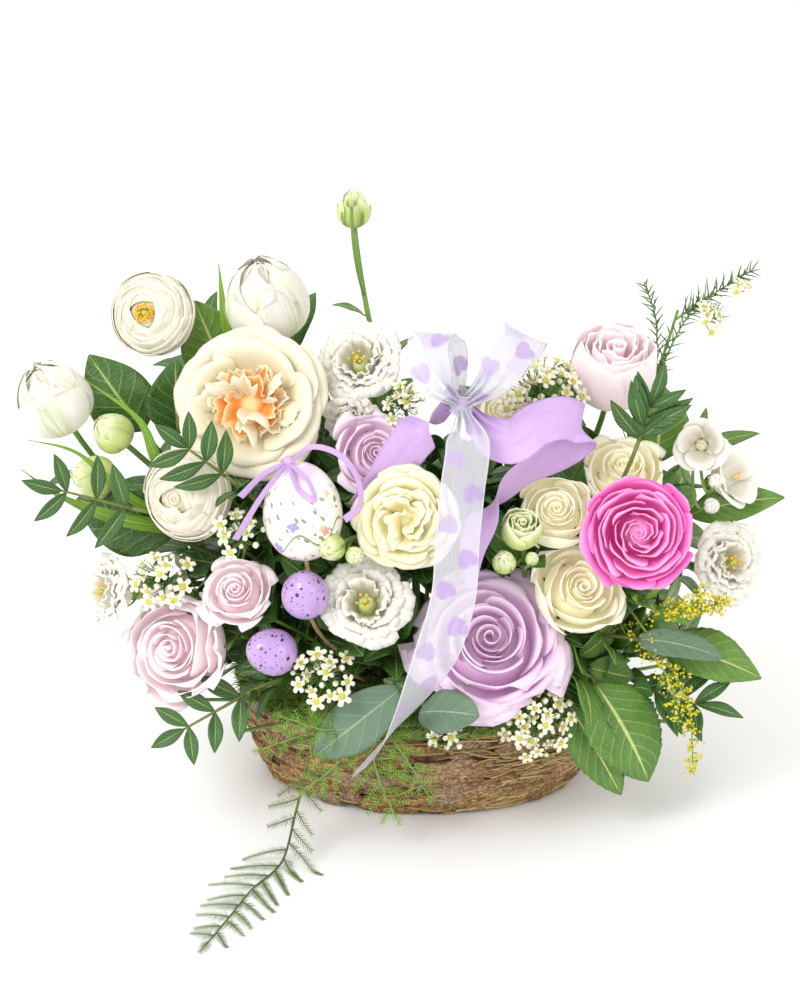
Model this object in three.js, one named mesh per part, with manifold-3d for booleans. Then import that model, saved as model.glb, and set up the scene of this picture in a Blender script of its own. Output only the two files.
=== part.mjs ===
// A spring flower arrangement in a low oval basket of bark and straw. Millimetres, +Z up,
// +X to the viewer's right, -Y towards the viewer. The origin is the middle of the flat face
// that the basket stands on.
//
// A block of wet foam stands in a plastic liner inside the basket. Every bloom, leafy stem,
// egg and ribbon is a body of its own whose stalk stands in a plain hole in that foam. A
// collar of moss hides the foam's foot and lies over the rim.

import * as THREE from "three";
import { mergeVertices } from "three/addons/utils/BufferGeometryUtils.js";
import Module from "manifold-3d";

const wasm = await Module();
wasm.setup();

// ---------------------------------------------------------------- driving sizes

const BASKET = { height: 60, baseLong: 90, baseWide: 56, rimLong: 112, rimWide: 74, wall: 7, floor: 5 };
const FOAM = { long: 62, wide: 34, top: 92, corner: 14 };
const LINER = { wall: 1, top: 54 };
const MOSS = { low: 56, high: 85, lip: 4 };
const AIR = 0.4; // air kept between two pieces
const HUB = [0, 0, 42]; // every stalk points at this place in the foam
const STALK_ENDS = [40, 18, 32]; // half axes of the egg-shaped core that no stalk reaches into
const RIBBON = { width: 25, wall: 0.8, narrow: 3.6 };
const PETAL_WALL = 0.9;
const LEAF_WALL = 0.8;
const GOLDEN_ANGLE = Math.PI * (3 - Math.sqrt(5));

const V = (x, y, z) => new THREE.Vector3(x, y, z);
const radians = (degrees) => (degrees * Math.PI) / 180;
const mix = (a, b, t) => a + (b - a) * t;

// ---------------------------------------------------------------- colours

const PAINTS = {
  bark: ["#8a6b45", 0.95],
  liner: ["#26301f", 0.5],
  foam: ["#3f6b3a", 0.95],
  moss: ["#4d6b22", 1.0],
  satin: ["#d3b6e0", 0.35],
  organza: ["#e6e3ee", 0.5],
  wood: ["#c9a877", 0.8],
  egg: ["#f1ebe6", 0.25],
  lilacEgg: ["#b98fce", 0.3],
  white: ["#f3efe6", 0.7],
  cream: ["#f1e7bd", 0.7],
  yellow: ["#f0e08a", 0.7],
  blush: ["#eed7d6", 0.7],
  lavender: ["#cf9fc4", 0.7],
  pink: ["#e052a4", 0.7],
  bud: ["#c5d67c", 0.7],
  leaf: ["#2f6016", 0.5],
  leafPale: ["#5d8f2b", 0.55],
  eucalyptus: ["#7f9a80", 0.8],
  fern: ["#5d9a2a", 0.8],
  wax: ["#efe9cd", 0.7],
  solidago: ["#d8b81c", 0.8],
};

function paint(name) {
  const [color, roughness] = PAINTS[name];
  return new THREE.MeshStandardMaterial({ color, roughness, metalness: 0, side: THREE.DoubleSide });
}

// ---------------------------------------------------------------- closed surfaces

function closedGeometry(points, triangles) {
  const geometry = new THREE.BufferGeometry();
  const numbers = new Float32Array(points.flatMap((p) => [p.x, p.y, p.z]));
  geometry.setAttribute("position", new THREE.BufferAttribute(numbers, 3));
  geometry.setIndex(triangles.flat());
  return geometry;
}

/**
 * A thin wall on both sides of the surface place(u, v), u from -1 to 1 and v from 0 to 1. Row j is
 * cut into columns[j] pieces, and a row of none is one point. The wall of the last row stands square
 * to the surface at lip before the end, where rounded corners haven't folded it yet.
 */
function sheet(columns, place, wall, lip = 0) {
  const step = 1e-3;
  const front = [];
  const back = [];
  const rows = columns.map((pieces, j) => {
    const v = j / (columns.length - 1);
    return Array.from({ length: pieces + 1 }, (_, i) => {
      const u = pieces ? -1 + (2 * i) / pieces : 0;
      const near = Math.min(v, 1 - lip);
      const across = place(u + step, near).sub(place(u - step, near));
      const along = place(u, Math.min(near + step, 1)).sub(place(u, Math.max(near - step, 0)));
      const half = across.cross(along).normalize().multiplyScalar(wall / 2);
      front.push(place(u, v).add(half));
      back.push(place(u, v).sub(half));
      return front.length - 1;
    });
  });
  const behind = front.length;
  const triangles = [];
  const both = (a, b, c) => triangles.push([a, b, c], [behind + a, behind + c, behind + b]);
  for (let j = 0; j + 1 < rows.length; j++) {
    const [low, high] = [rows[j], rows[j + 1]];
    let [i, k] = [0, 0];
    while (i + 1 < low.length || k + 1 < high.length) {
      const lowFirst = k + 1 >= high.length || (i + 1) / (low.length - 1) <= (k + 1) / (high.length - 1);
      if (i + 1 < low.length && lowFirst) both(low[i], low[++i], high[k]);
      else both(low[i], high[k + 1], high[k++]);
    }
  }
  const middle = rows.slice(1, -1);
  const right = middle.map((row) => row[row.length - 1]);
  const left = middle.map((row) => row[0]).reverse();
  const edge = [...rows[0], ...right, ...rows[rows.length - 1].slice().reverse(), ...left];
  edge.forEach((p, k) => {
    const q = edge[(k + 1) % edge.length];
    triangles.push([q, p, behind + p], [q, behind + p, behind + q]);
  });
  return closedGeometry([...front, ...back], triangles);
}

/** Columns for a blade that is pointed at its foot, and at its tip too. */
const pointed = (rows) => [0, ...Array(rows - 1).fill(2), 0];

/** A solid of rings round +Z: ring(angle, k) is a point of ring k, and the ends close on the axis. */
function turned(sides, rings, ring) {
  const points = [];
  for (let k = 0; k < rings; k++) {
    for (let i = 0; i < sides; i++) points.push(ring((2 * Math.PI * i) / sides, k));
  }
  const middleOf = (k) => {
    const sum = V(0, 0, 0);
    for (let i = 0; i < sides; i++) sum.add(points[k * sides + i]);
    return sum.divideScalar(sides);
  };
  const bottom = points.push(middleOf(0)) - 1;
  const top = points.push(middleOf(rings - 1)) - 1;
  const triangles = [];
  for (let i = 0; i < sides; i++) {
    const next = (i + 1) % sides;
    for (let k = 0; k < rings - 1; k++) {
      const [a, b] = [k * sides + i, k * sides + next];
      triangles.push([a, b, b + sides], [a, b + sides, a + sides]);
    }
    triangles.push([bottom, next, i]);
    triangles.push([top, (rings - 1) * sides + i, (rings - 1) * sides + next]);
  }
  return closedGeometry(points, triangles);
}

/** A solid of revolution from a list of [radius, height]. */
function turnedProfile(sides, profile, wobble = () => 1) {
  return turned(sides, profile.length, (angle, k) => {
    const [radius, height] = profile[k];
    const r = radius * wobble(angle, k);
    return V(r * Math.cos(angle), r * Math.sin(angle), height);
  });
}

function polygon(radius, sides) {
  const shape = new THREE.Shape();
  for (let i = 0; i < sides; i++) {
    const angle = (2 * Math.PI * i) / sides;
    const [x, y] = [radius * Math.cos(angle), radius * Math.sin(angle)];
    if (i) shape.lineTo(x, y);
    else shape.moveTo(x, y);
  }
  return shape;
}

/** A round stalk along a curve. */
function rod(curve, radius, steps = 3, sides = 3) {
  const settings = { steps, bevelEnabled: false, extrudePath: curve };
  const geometry = new THREE.ExtrudeGeometry(polygon(radius, sides), settings);
  geometry.userData.points = curve.getSpacedPoints(steps);
  return geometry;
}

/** A point on a rod's middle line, t from 0 at its start to 1 at its end. */
function along(geometry, t) {
  const { points } = geometry.userData;
  const place = t * (points.length - 1);
  const k = Math.min(Math.floor(place), points.length - 2);
  return points[k].clone().lerp(points[k + 1], place - k).toArray();
}

/** What was made last, a stalk, with side pieces that spring from it. */
const withSides = (parts, sides) => [...parts, ...sides(parts[parts.length - 1])];

/** A thin spike with three sides. */
function spike(from, to, radius) {
  const along = to.clone().sub(from).normalize();
  const side = Math.abs(along.z) < 0.9 ? V(0, 0, 1) : V(1, 0, 0);
  const a = side.cross(along).normalize().multiplyScalar(radius);
  const b = along.clone().cross(a);
  const feet = [0, 1, 2].map((k) => {
    const angle = (2 * Math.PI * k) / 3;
    return from.clone().addScaledVector(a, Math.cos(angle)).addScaledVector(b, Math.sin(angle));
  });
  return closedGeometry([...feet, to.clone()], [[0, 2, 1], [0, 1, 3], [1, 2, 3], [2, 0, 3]]);
}

// ---------------------------------------------------------------- joining and clearing

function bare(geometry) {
  const plain = geometry.clone();
  for (const name of Object.keys(plain.attributes)) {
    if (name !== "position") plain.deleteAttribute(name);
  }
  return mergeVertices(plain, 1e-4);
}

function trianglesOf(merged) {
  const kept = [];
  for (let i = 0; i < merged.index.count; i += 3) {
    const [a, b, c] = [0, 1, 2].map((k) => merged.index.getX(i + k));
    if (a !== b && b !== c && c !== a) kept.push([a, b, c]);
  }
  return kept;
}

function manifold(numbers, triangles) {
  const triVerts = new Uint32Array(triangles.flat());
  return new wasm.Manifold(new wasm.Mesh({ numProp: 3, vertProperties: numbers, triVerts }));
}

/** The geometry as a solid, with every face moved out by about swell. */
function solidOf(geometry, swell = 0) {
  const merged = bare(geometry);
  let triangles = trianglesOf(merged);
  const numbers = new Float32Array(merged.attributes.position.array);
  if (manifold(numbers, triangles).volume() < 0) triangles = triangles.map(([a, b, c]) => [a, c, b]);
  if (!swell) return manifold(numbers, triangles);
  const point = (i) => V(numbers[3 * i], numbers[3 * i + 1], numbers[3 * i + 2]);
  const normals = Array.from({ length: numbers.length / 3 }, () => []);
  for (const [a, b, c] of triangles) {
    const face = point(b).sub(point(a)).cross(point(c).sub(point(a))).normalize();
    for (const corner of [a, b, c]) {
      if (!normals[corner].some((n) => n.dot(face) > 0.95)) normals[corner].push(face);
    }
  }
  normals.forEach((faces, i) => {
    const out = faces.reduce((sum, n) => sum.add(n), V(0, 0, 0)).normalize();
    const slant = Math.max(0.25, Math.min(...faces.map((n) => n.dot(out))));
    const moved = point(i).addScaledVector(out, swell / slant);
    numbers.set([moved.x, moved.y, moved.z], 3 * i);
  });
  return manifold(numbers, triangles);
}

const fused = (geometries, swell = 0) =>
  wasm.Manifold.union(geometries.map((geometry) => solidOf(geometry, swell)));

const boxesMeet = (a, b) => [0, 1, 2].every((k) => a.min[k] < b.max[k] && b.min[k] < a.max[k]);

const arrangement = new THREE.Group();
arrangement.name = "flower_basket_arrangement";
const settled = [];

/** Adds a body to the arrangement. What would reach into a body that is already there is cut back. */
function settle(name, colour, geometries) {
  let body = fused(geometries);
  for (const other of settled) {
    if (!boxesMeet(body.boundingBox(), other.guard.boundingBox())) continue;
    body = body.subtract(other.guard);
  }
  const [whole] = body.decompose().sort((a, b) => b.volume() - a.volume());
  const { numProp, vertProperties, triVerts } = whole.getMesh();
  const positions = new Float32Array((vertProperties.length / numProp) * 3);
  for (let i = 0; i < positions.length / 3; i++) {
    positions.set(vertProperties.subarray(i * numProp, i * numProp + 3), i * 3);
  }
  const geometry = new THREE.BufferGeometry();
  geometry.setAttribute("position", new THREE.BufferAttribute(positions, 3));
  geometry.setIndex(new THREE.BufferAttribute(new Uint32Array(triVerts), 1));
  geometry.computeVertexNormals();
  const mesh = new THREE.Mesh(geometry, paint(colour));
  mesh.name = name;
  arrangement.add(mesh);
  settled.push({ name, guard: fused(geometries, AIR) });
}

// ---------------------------------------------------------------- stalks

/**
 * A stalk that leaves the foot of a head or leaf along -aim, and runs into the foam towards the hub.
 * sway moves its middle to one side, clear of its neighbours.
 */
function stalkTo(foot, aim, radius, { bend = 0.4, sway = [0, 0, 0], hub = HUB } = {}) {
  const way = foot.clone().sub(V(...hub)).normalize();
  const [a, b, c] = STALK_ENDS;
  const last = V(...hub).addScaledVector(way, 1 / Math.hypot(way.x / a, way.y / b, way.z / c));
  const length = foot.distanceTo(last);
  const first = foot.clone().addScaledVector(aim, 1.5);
  const course = (s) => new THREE.CubicBezierCurve3(
    first,
    foot.clone().addScaledVector(aim, -bend * length).addScaledVector(V(...s), 0.8),
    last.clone().addScaledVector(way, 0.4 * length).add(V(...s)),
    last,
  );
  return rod(course(sway), radius, length > 110 ? 3 : 2);
}

// ---------------------------------------------------------------- petals and heads

const bezier = ([r0, z0], [r1, z1], [r2, z2], v) => {
  const [a, b, c] = [(1 - v) * (1 - v), 2 * v * (1 - v), v * v];
  return [a * r0 + b * r1 + c * r2, a * z0 + b * z1 + c * z2];
};

/** How wide a petal is at v: narrow at its foot, widest at two thirds, rounded or pointed at its tip. */
function petalWidth(v, tip) {
  const rise = 0.35 + 0.65 * Math.sin((Math.PI / 2) * Math.min(1, v / 0.65));
  const fall = v < 0.65 ? 1 : Math.sqrt(1 - ((v - 0.65) / 0.35) ** 2 * (1 - tip * tip));
  return rise * fall;
}

/** One petal: a strip of a cup whose side is the curve foot, belly, lip in [radius, height]. */
function petal(size, turn, shape) {
  const { half, foot, belly, lip, lap = 0.06, ruffle = 0, waves = 1.5, tip = 0.5 } = shape;
  const place = (u, v) => {
    const [r, z] = bezier(foot, belly, lip, v * (1 - 0.12 * u * u * v));
    const angle = turn + u * radians(half) * petalWidth(v, tip);
    const radius = size * (r + lap * u * v);
    const height = size * (z + ruffle * Math.sin(waves * Math.PI * u + 3 * turn) * v * v);
    return V(radius * Math.cos(angle), radius * Math.sin(angle), height);
  };
  return sheet([0, half > 45 ? 2 : 1, size > 22 ? 2 : 1], place, PETAL_WALL, 0.15);
}

/** A ring of like petals, whose feet stand apart in the heart of the head. */
function whorl(size, count, shape) {
  const { start = 90 } = shape;
  return Array.from({ length: count }, (_, k) => petal(size, radians(start + (360 * k) / count), shape));
}

/**
 * The closed heart of a head, with its rings of small petals wrapped into one another. Its flat
 * sides face the way that the petals of the outer whorl come out.
 */
function heart(size, profile, sides = 5, wind = 0.06) {
  const wobble = (angle, k) => 1 + wind * Math.cos(2 * angle + 1.7 * k);
  const core = turnedProfile(sides, profile.map(([r, z]) => [r * size, z * size]), wobble);
  return core.rotateZ(Math.PI / 2 - Math.PI / sides);
}

/** Half the angle that each of count petals takes, just short of its neighbours. */
const share = (count) => 178 / count;

const HEADS = {
  rose: (size, { open = 1, inner = 0, outer = 5 } = {}) => {
    const full = inner ? 1 : 1.3;
    const core = [[0.12, -0.86], [0.44, -0.5], [0.5, 0.0], [0.34, 0.12], [0.22, 0.02], [0.1, 0.12]];
    return [
      heart(size, core.map(([r, z]) => [r * full, z]), outer),
      ...whorl(size, inner, {
        half: share(inner), start: 50, foot: [0.2, -0.26], belly: [0.84, -0.55], lip: [0.64, 0.12],
        tip: 0.6,
      }),
      ...whorl(size, outer, {
        half: share(outer), foot: [0.1, -0.64], belly: [1.06, -0.92],
        lip: [mix(0.9, 1.06, open), mix(0.05, -0.2, open)], tip: 0.55,
      }),
    ];
  },
  rosebud: (size, { inner = 4, outer = 2 } = {}) => [
    heart(size, [[0.2, -1.1], [0.62, -0.6], [0.6, 0.2], [0.3, 0.44], [0.12, 0.3]], inner),
    ...whorl(size, inner, {
      half: share(inner), foot: [0.2, -0.85], belly: [1.24, -0.8], lip: [0.74, 0.62], lap: 0.08,
      tip: 0.6,
    }),
    ...whorl(size, outer, {
      half: 42, start: 45, foot: [0.1, -1.0], belly: [1.6, -0.9], lip: [1.04, 0.45], tip: 0.5,
    }),
  ],
  ranunculus: (size, { eye = 0.12 } = {}) => [
    heart(
      size,
      [[0.25, -0.74], [0.88, -0.34], [0.9, -0.04], [0.68, 0.12], [0.6, 0.02], [0.38, 0.2], [eye, 0.1]],
      7, 0.03,
    ),
    ...whorl(size, 5, {
      half: share(5), foot: [0.24, -0.62], belly: [1.2, -0.92], lip: [1.03, 0.02], lap: 0.05, tip: 0.6,
    }),
  ],
  ranunculusOpen: (size, { inner = 3, outer = 6 } = {}) => [
    heart(size, [[0.18, -0.64], [0.46, -0.4], [0.48, -0.04], [0.34, 0.06], [0.24, -0.08]], outer),
    ...whorl(size, inner, {
      half: share(inner), start: 30, foot: [0.24, -0.2], belly: [0.82, -0.46], lip: [0.72, 0.08],
      tip: 0.6,
    }),
    ...whorl(size, outer, {
      half: share(outer), foot: [0.1, -0.52], belly: [0.98, -0.8], lip: [1.04, -0.08], lap: 0.05,
    }),
  ],
  lisianthus: (size, { deep = 1, inner = 0, outer = 5 } = {}) => [
    heart(size, [[0.1, -deep], [0.28, -0.62], [0.26, -0.1], [0.1, 0.04]], outer),
    ...whorl(size, inner, {
      half: share(inner), start: 60, foot: [0.08, -0.36], belly: [0.46, -0.5], lip: [0.6, 0.14],
      ruffle: 0.06,
    }),
    ...whorl(size, outer, {
      half: share(outer), foot: [0.06, -0.82], belly: [0.62, -0.94], lip: [1.04, -0.05], ruffle: 0.06,
      tip: 0.7,
    }),
  ],
  daffodil: (size, { middle = 4, outer = 6 } = {}) => [
    heart(size, [[0.06, -0.46], [0.24, -0.26], [0.3, 0.0], [0.36, 0.2], [0.2, 0.04]], outer, 0.12),
    ...whorl(size, middle, {
      half: 38, start: 20, foot: [0.08, -0.12], belly: [0.52, -0.3], lip: [0.7, 0.1], lap: 0.05,
    }),
    ...whorl(size, outer, {
      half: share(outer), foot: [0.06, -0.37], belly: [0.6, -0.54], lip: [1.02, -0.06], lap: 0.04,
      tip: 0.6,
    }),
  ],
  tulip: (size) => [
    heart(size, [[0.3, -1.1], [0.8, -0.64], [0.8, 0.2], [0.5, 0.8], [0.16, 0.95]], 3, 0.05),
    ...whorl(size, 3, { half: 56, foot: [0.1, -0.95], belly: [1.52, -0.85], lip: [0.74, 1.05], tip: 0.45 }),
  ],
  freesia: (size, { outer = 5 } = {}) => [
    heart(size, [[0.12, -1.3], [0.26, -0.6], [0.1, -0.3]], outer),
    ...whorl(size, outer, {
      half: share(outer), foot: [0.08, -0.86], belly: [0.5, -0.66], lip: [1.0, 0.02], lap: 0.05,
      tip: 0.65,
    }),
  ],
  bud: (size) => [heart(size, [[0.2, -1.0], [0.82, -0.4], [0.74, 0.4], [0.16, 1.05]])],
};

/** Turns and moves what was made round the origin: +Z goes to the facing direction. */
function standing(at, [azimuth, elevation], roll = 0) {
  const [a, e] = [radians(azimuth), radians(elevation)];
  const facing = V(Math.sin(a) * Math.cos(e), -Math.cos(a) * Math.cos(e), Math.sin(e));
  const right = V(Math.cos(a), Math.sin(a), 0);
  const matrix = new THREE.Matrix4().makeBasis(right, facing.clone().cross(right), facing);
  matrix.multiply(new THREE.Matrix4().makeRotationZ(radians(roll)));
  matrix.setPosition(V(...at));
  return { matrix, facing };
}

function head(kind, at, facing, size, { roll = 0, ...rest } = {}) {
  const { matrix } = standing(at, facing, roll);
  return HEADS[kind](size, rest).map((geometry) => geometry.applyMatrix4(matrix));
}

const FOOT = {
  rose: 0.84, rosebud: 1.1, ranunculus: 0.72, ranunculusOpen: 0.6, lisianthus: 1, daffodil: 0.4,
  tulip: 1.1, freesia: 1.3, bud: 1,
};

/** A head on its own stalk in the foam. */
function bloom(kind, at, facing, size, { stalk = 2, bend, sway, hub, ...rest } = {}) {
  const { facing: aim } = standing(at, facing);
  const depth = (kind === "lisianthus" && rest.deep) || FOOT[kind];
  const foot = V(...at).addScaledVector(aim, -depth * size);
  return [...head(kind, at, facing, size, rest), stalkTo(foot, aim, stalk, { bend, sway, hub })];
}

/** A small head on a side twig that springs from a point of another stalk. */
function sideHead(kind, at, facing, size, from, { twig = 1, ...rest } = {}) {
  const { facing: aim } = standing(at, facing);
  const foot = V(...at).addScaledVector(aim, -FOOT[kind] * size);
  const start = V(...from);
  const control = foot.clone().addScaledVector(aim, -0.5 * foot.distanceTo(start));
  const inside = foot.clone().addScaledVector(aim, 1);
  const curve = new THREE.QuadraticBezierCurve3(start, control, inside);
  return [...head(kind, at, facing, size, rest), rod(curve, twig, 2)];
}

// ---------------------------------------------------------------- leaves

/** How wide a leaf is at v, with its widest place at peak and its edge cut into teeth. */
function leafWidth(v, peak, teeth, cut) {
  const t = v < peak ? v / peak : 1 - (v - peak) / (1 - peak);
  const edge = Math.sin((Math.PI / 2) * t) ** 0.8;
  const tooth = teeth && v > 0 && v < 1 ? 1 - cut * (Math.round(v * teeth) % 2) : 1;
  return Math.max(0.06, edge * tooth);
}

/** A leaf blade from its foot to its tip, arched towards face, with its halves folded up. */
function blade(from, to, width, face, options = {}) {
  const { bow = 0.1, fold = 0.12, peak = 0.4, teeth = 0, cut = 0.1, rows = 4, wave = 0 } = options;
  const [foot, tip] = [V(...from), V(...to)];
  const length = foot.distanceTo(tip);
  const along = tip.clone().sub(foot).normalize();
  const across = along.clone().cross(V(...face)).normalize();
  const up = across.clone().cross(along);
  const place = (u, v) => {
    const half = 0.5 * width * leafWidth(v, peak, teeth, cut);
    const bowed = bow * length * 4 * v * (1 - v);
    const lift = bowed + half * (fold * Math.abs(u) + wave * u * Math.sin(7 * v));
    const point = foot.clone().addScaledVector(along, v * length);
    return point.addScaledVector(across, u * half).addScaledVector(up, lift);
  };
  return sheet(pointed(rows), place, LEAF_WALL);
}

/** A leaf with its own stalk in the foam. */
function leafOnStalk(from, to, width, face, options = {}) {
  const aim = V(...to).sub(V(...from)).normalize();
  return [blade(from, to, width, face, options), stalkTo(V(...from), aim, 1.3, options)];
}

/** A leaf whose foot lies on another leaf's stalk, at the point from. */
function leafOnTwig(start, from, to, width, face, options = {}) {
  const aim = V(...to).sub(V(...from)).normalize();
  const curve = new THREE.LineCurve3(V(...start), V(...from).addScaledVector(aim, 4));
  return [blade(from, to, width, face, options), rod(curve, 1, 1)];
}

/** Leaflets in pairs along a twig, with one at its end. */
function sprig(from, to, face, shape = {}) {
  const { pairs = 3, leaflet = 24, width = 9, spread = 50, start = 0.25, rows = 2 } = shape;
  const [foot, tip] = [V(...from), V(...to)];
  const along = tip.clone().sub(foot).normalize();
  const length = foot.distanceTo(tip);
  const across = along.clone().cross(V(...face)).normalize();
  const up = across.clone().cross(along);
  const parts = [rod(new THREE.LineCurve3(foot, tip), 1, 1)];
  const add = (root, way, size) => {
    const end = root.clone().addScaledVector(way, size);
    parts.push(blade(
      root.toArray(), end.toArray(), width * (size / leaflet), up.toArray(),
      { rows, fold: 0.3, peak: 0.5 },
    ));
  };
  for (let k = 0; k < pairs; k++) {
    const t = mix(start, 0.92, pairs > 1 ? k / (pairs - 1) : 0);
    const root = foot.clone().addScaledVector(along, length * t);
    for (const side of [-1, 1]) {
      const angle = radians(spread + 4 * side * ((k % 2) - 0.5));
      const way = along.clone().multiplyScalar(Math.cos(angle));
      way.addScaledVector(across, side * Math.sin(angle));
      add(root, way.addScaledVector(up, 0.15).normalize(), leaflet * (1 - 0.08 * k));
    }
  }
  add(tip.clone().addScaledVector(along, -1), along, leaflet * 0.8);
  return parts;
}

/** A sprig on its own stalk in the foam. */
function sprigOnStalk(from, to, face, options) {
  const aim = V(...to).sub(V(...from)).normalize();
  return [...sprig(from, to, face, options), stalkTo(V(...from), aim, 1.3, options)];
}

/** A long narrow leaf along a curve of points, tapering to its end. */
function strap(points, width, face, rows = 6) {
  const curve = new THREE.CatmullRomCurve3(points.map((p) => V(...p)));
  const place = (u, v) => {
    const across = curve.getTangent(Math.min(v, 1)).cross(V(...face)).normalize();
    const swell = 0.55 + 0.45 * Math.sin(Math.PI * Math.min(1, v * 1.4));
    const half = 0.5 * width * Math.max(0.08, (1 - v ** 3) * swell);
    const lift = V(...face).normalize().multiplyScalar(0.25 * half * u * u);
    return curve.getPoint(Math.min(v, 1)).addScaledVector(across, u * half).add(lift);
  };
  return sheet([1, ...Array(rows - 1).fill(2), 0], place, LEAF_WALL);
}

// ---------------------------------------------------------------- fine sprays

/** Joins two rings of points, given as indices, into a band of triangles. */
function band(lower, upper) {
  const triangles = [];
  let [i, j] = [0, 0];
  while (i < lower.length || j < upper.length) {
    const [a, b] = [lower[i % lower.length], upper[j % upper.length]];
    if (j >= upper.length || (i < lower.length && (i + 1) / lower.length <= (j + 1) / upper.length)) {
      triangles.push([a, lower[(i + 1) % lower.length], b]);
      i++;
    } else {
      triangles.push([a, upper[(j + 1) % upper.length], b]);
      j++;
    }
  }
  return triangles;
}

/** A small dished flower with five lobes, on a thin twig of its own from root to place. */
function waxFlower(root, place, size) {
  const way = place.clone().sub(root).normalize();
  const beside = Math.abs(way.z) < 0.9 ? V(0, 0, 1) : V(1, 0, 0);
  const side = beside.cross(way).normalize();
  const up = way.clone().cross(side);
  const points = [];
  const ring = (count, radius, middle, depth = () => 0) => {
    const start = points.length;
    for (let i = 0; i < count; i++) {
      const angle = (2 * Math.PI * i) / count;
      const point = middle.clone().addScaledVector(side, Math.cos(angle) * radius(i));
      points.push(point.addScaledVector(up, Math.sin(angle) * radius(i)).addScaledVector(way, depth(i)));
    }
    return Array.from({ length: count }, (_, i) => start + i);
  };
  const foot = ring(3, () => 0.3, root);
  const neck = ring(3, () => 0.7, place.clone().addScaledVector(way, -0.6 * size));
  const rim = ring(10, (i) => size * (i % 2 ? 0.55 : 1), place, (i) => size * 0.14 * (i % 2 ? -1 : 1));
  const eye = points.push(place.clone().addScaledVector(way, -0.1 * size)) - 1;
  const triangles = [[foot[0], foot[2], foot[1]], ...band(foot, neck), ...band(neck, rim)];
  rim.forEach((p, i) => triangles.push([p, rim[(i + 1) % rim.length], eye]));
  return closedGeometry(points, triangles);
}

/** Small flowers and needles on twigs that leave one stem at different heights. */
function cluster(at, facing, spread, count, { flower = 6.5, needles = 3, needle = 14 } = {}) {
  const { matrix } = standing(at, facing);
  const stem = (t) => V(0, 0, mix(-1.1, -0.15, t) * spread);
  const parts = [rod(new THREE.LineCurve3(stem(0), stem(1.05)), 0.9, 1)];
  for (let k = 0; k < count; k++) {
    const angle = GOLDEN_ANGLE * k;
    const r = spread * Math.sqrt((k + 0.5) / count);
    const height = 0.15 * spread * Math.cos(2.1 * k) - (0.35 * r * r) / spread;
    const place = V(r * Math.cos(angle), r * Math.sin(angle), height);
    parts.push(waxFlower(stem(1 - (k + 0.3) / count), place, flower * (1 - 0.12 * (k % 3))));
  }
  for (let k = 0; k < needles; k++) {
    const angle = GOLDEN_ANGLE * (k + 0.5) + 1;
    const way = V(Math.cos(angle), Math.sin(angle), 0.3 + 0.3 * Math.sin(5 * k)).normalize();
    const root = stem((k + 0.6) / needles);
    parts.push(spike(root, root.clone().addScaledVector(way, 0.5 * spread + needle), 0.45));
  }
  return parts.map((geometry) => geometry.applyMatrix4(matrix));
}

/** The foot of a cluster's stem, in the arrangement. */
function clusterFoot(at, facing, spread) {
  const { matrix, facing: aim } = standing(at, facing);
  return { foot: V(0, 0, -1.1 * spread).applyMatrix4(matrix), aim };
}

/** A cluster on its own stalk in the foam. */
function clusterOnStalk(at, facing, spread, count, options = {}) {
  const { foot, aim } = clusterFoot(at, facing, spread);
  return [...cluster(at, facing, spread, count, options), stalkTo(foot, aim, 1.3, options)];
}

/** A cluster on a twig from a point of another stalk. */
function clusterOnTwig(start, at, facing, spread, count, options = {}) {
  const { foot, aim } = clusterFoot(at, facing, spread);
  const control = foot.clone().addScaledVector(aim, -0.4 * foot.distanceTo(V(...start)));
  const inside = foot.clone().addScaledVector(aim, 1.5);
  const curve = new THREE.QuadraticBezierCurve3(V(...start), control, inside);
  return [...cluster(at, facing, spread, count, options), rod(curve, 0.9, 2)];
}

/** Needles all round a twig. */
function needledTwig(points, count, length, { reach = 0.6, radius = 0.8, start = 0.15 } = {}) {
  const curve = new THREE.CatmullRomCurve3(points.map((p) => V(...p)));
  const parts = [rod(curve, radius, 4)];
  for (let k = 0; k < count; k++) {
    const t = mix(start, 0.97, k / (count - 1));
    const along = curve.getTangent(t);
    const side = along.clone().cross(V(0, -1, 0.3)).normalize();
    const up = along.clone().cross(side);
    const angle = GOLDEN_ANGLE * k;
    const out = side.multiplyScalar(Math.cos(angle)).addScaledVector(up, Math.sin(angle));
    const way = along.clone().multiplyScalar(reach).addScaledVector(out, 1 - reach * 0.5).normalize();
    const root = curve.getPoint(t);
    parts.push(spike(root, root.clone().addScaledVector(way, length * (1 - 0.4 * t)), 0.45));
  }
  return parts;
}

/** A fern's side branch: a flat blade whose edges are cut into needles. */
function frondlet(foot, tip, width, face, teeth) {
  const along = tip.clone().sub(foot);
  const across = along.clone().cross(face).normalize();
  const at = (t, side) => foot.clone().addScaledVector(along, t).addScaledVector(across, side);
  const edge = (side) => {
    const points = [];
    for (let k = 0; k < teeth; k++) {
      const t = (k + 0.5) / teeth;
      const reach = 0.5 * width * Math.sin(Math.PI * Math.min(1, 0.25 + 0.7 * t));
      points.push(at(Math.min(0.97, t + 0.28 / teeth), side * reach));
      points.push(at(Math.min(0.98, t + 0.36 / teeth), side * 0.5));
    }
    return points;
  };
  const rim = [at(0, 0.7), ...edge(1), tip.clone(), ...edge(-1).reverse(), at(0, -0.7)];
  return flatBody(rim, face.clone().normalize().multiplyScalar(LEAF_WALL / 2));
}

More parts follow.
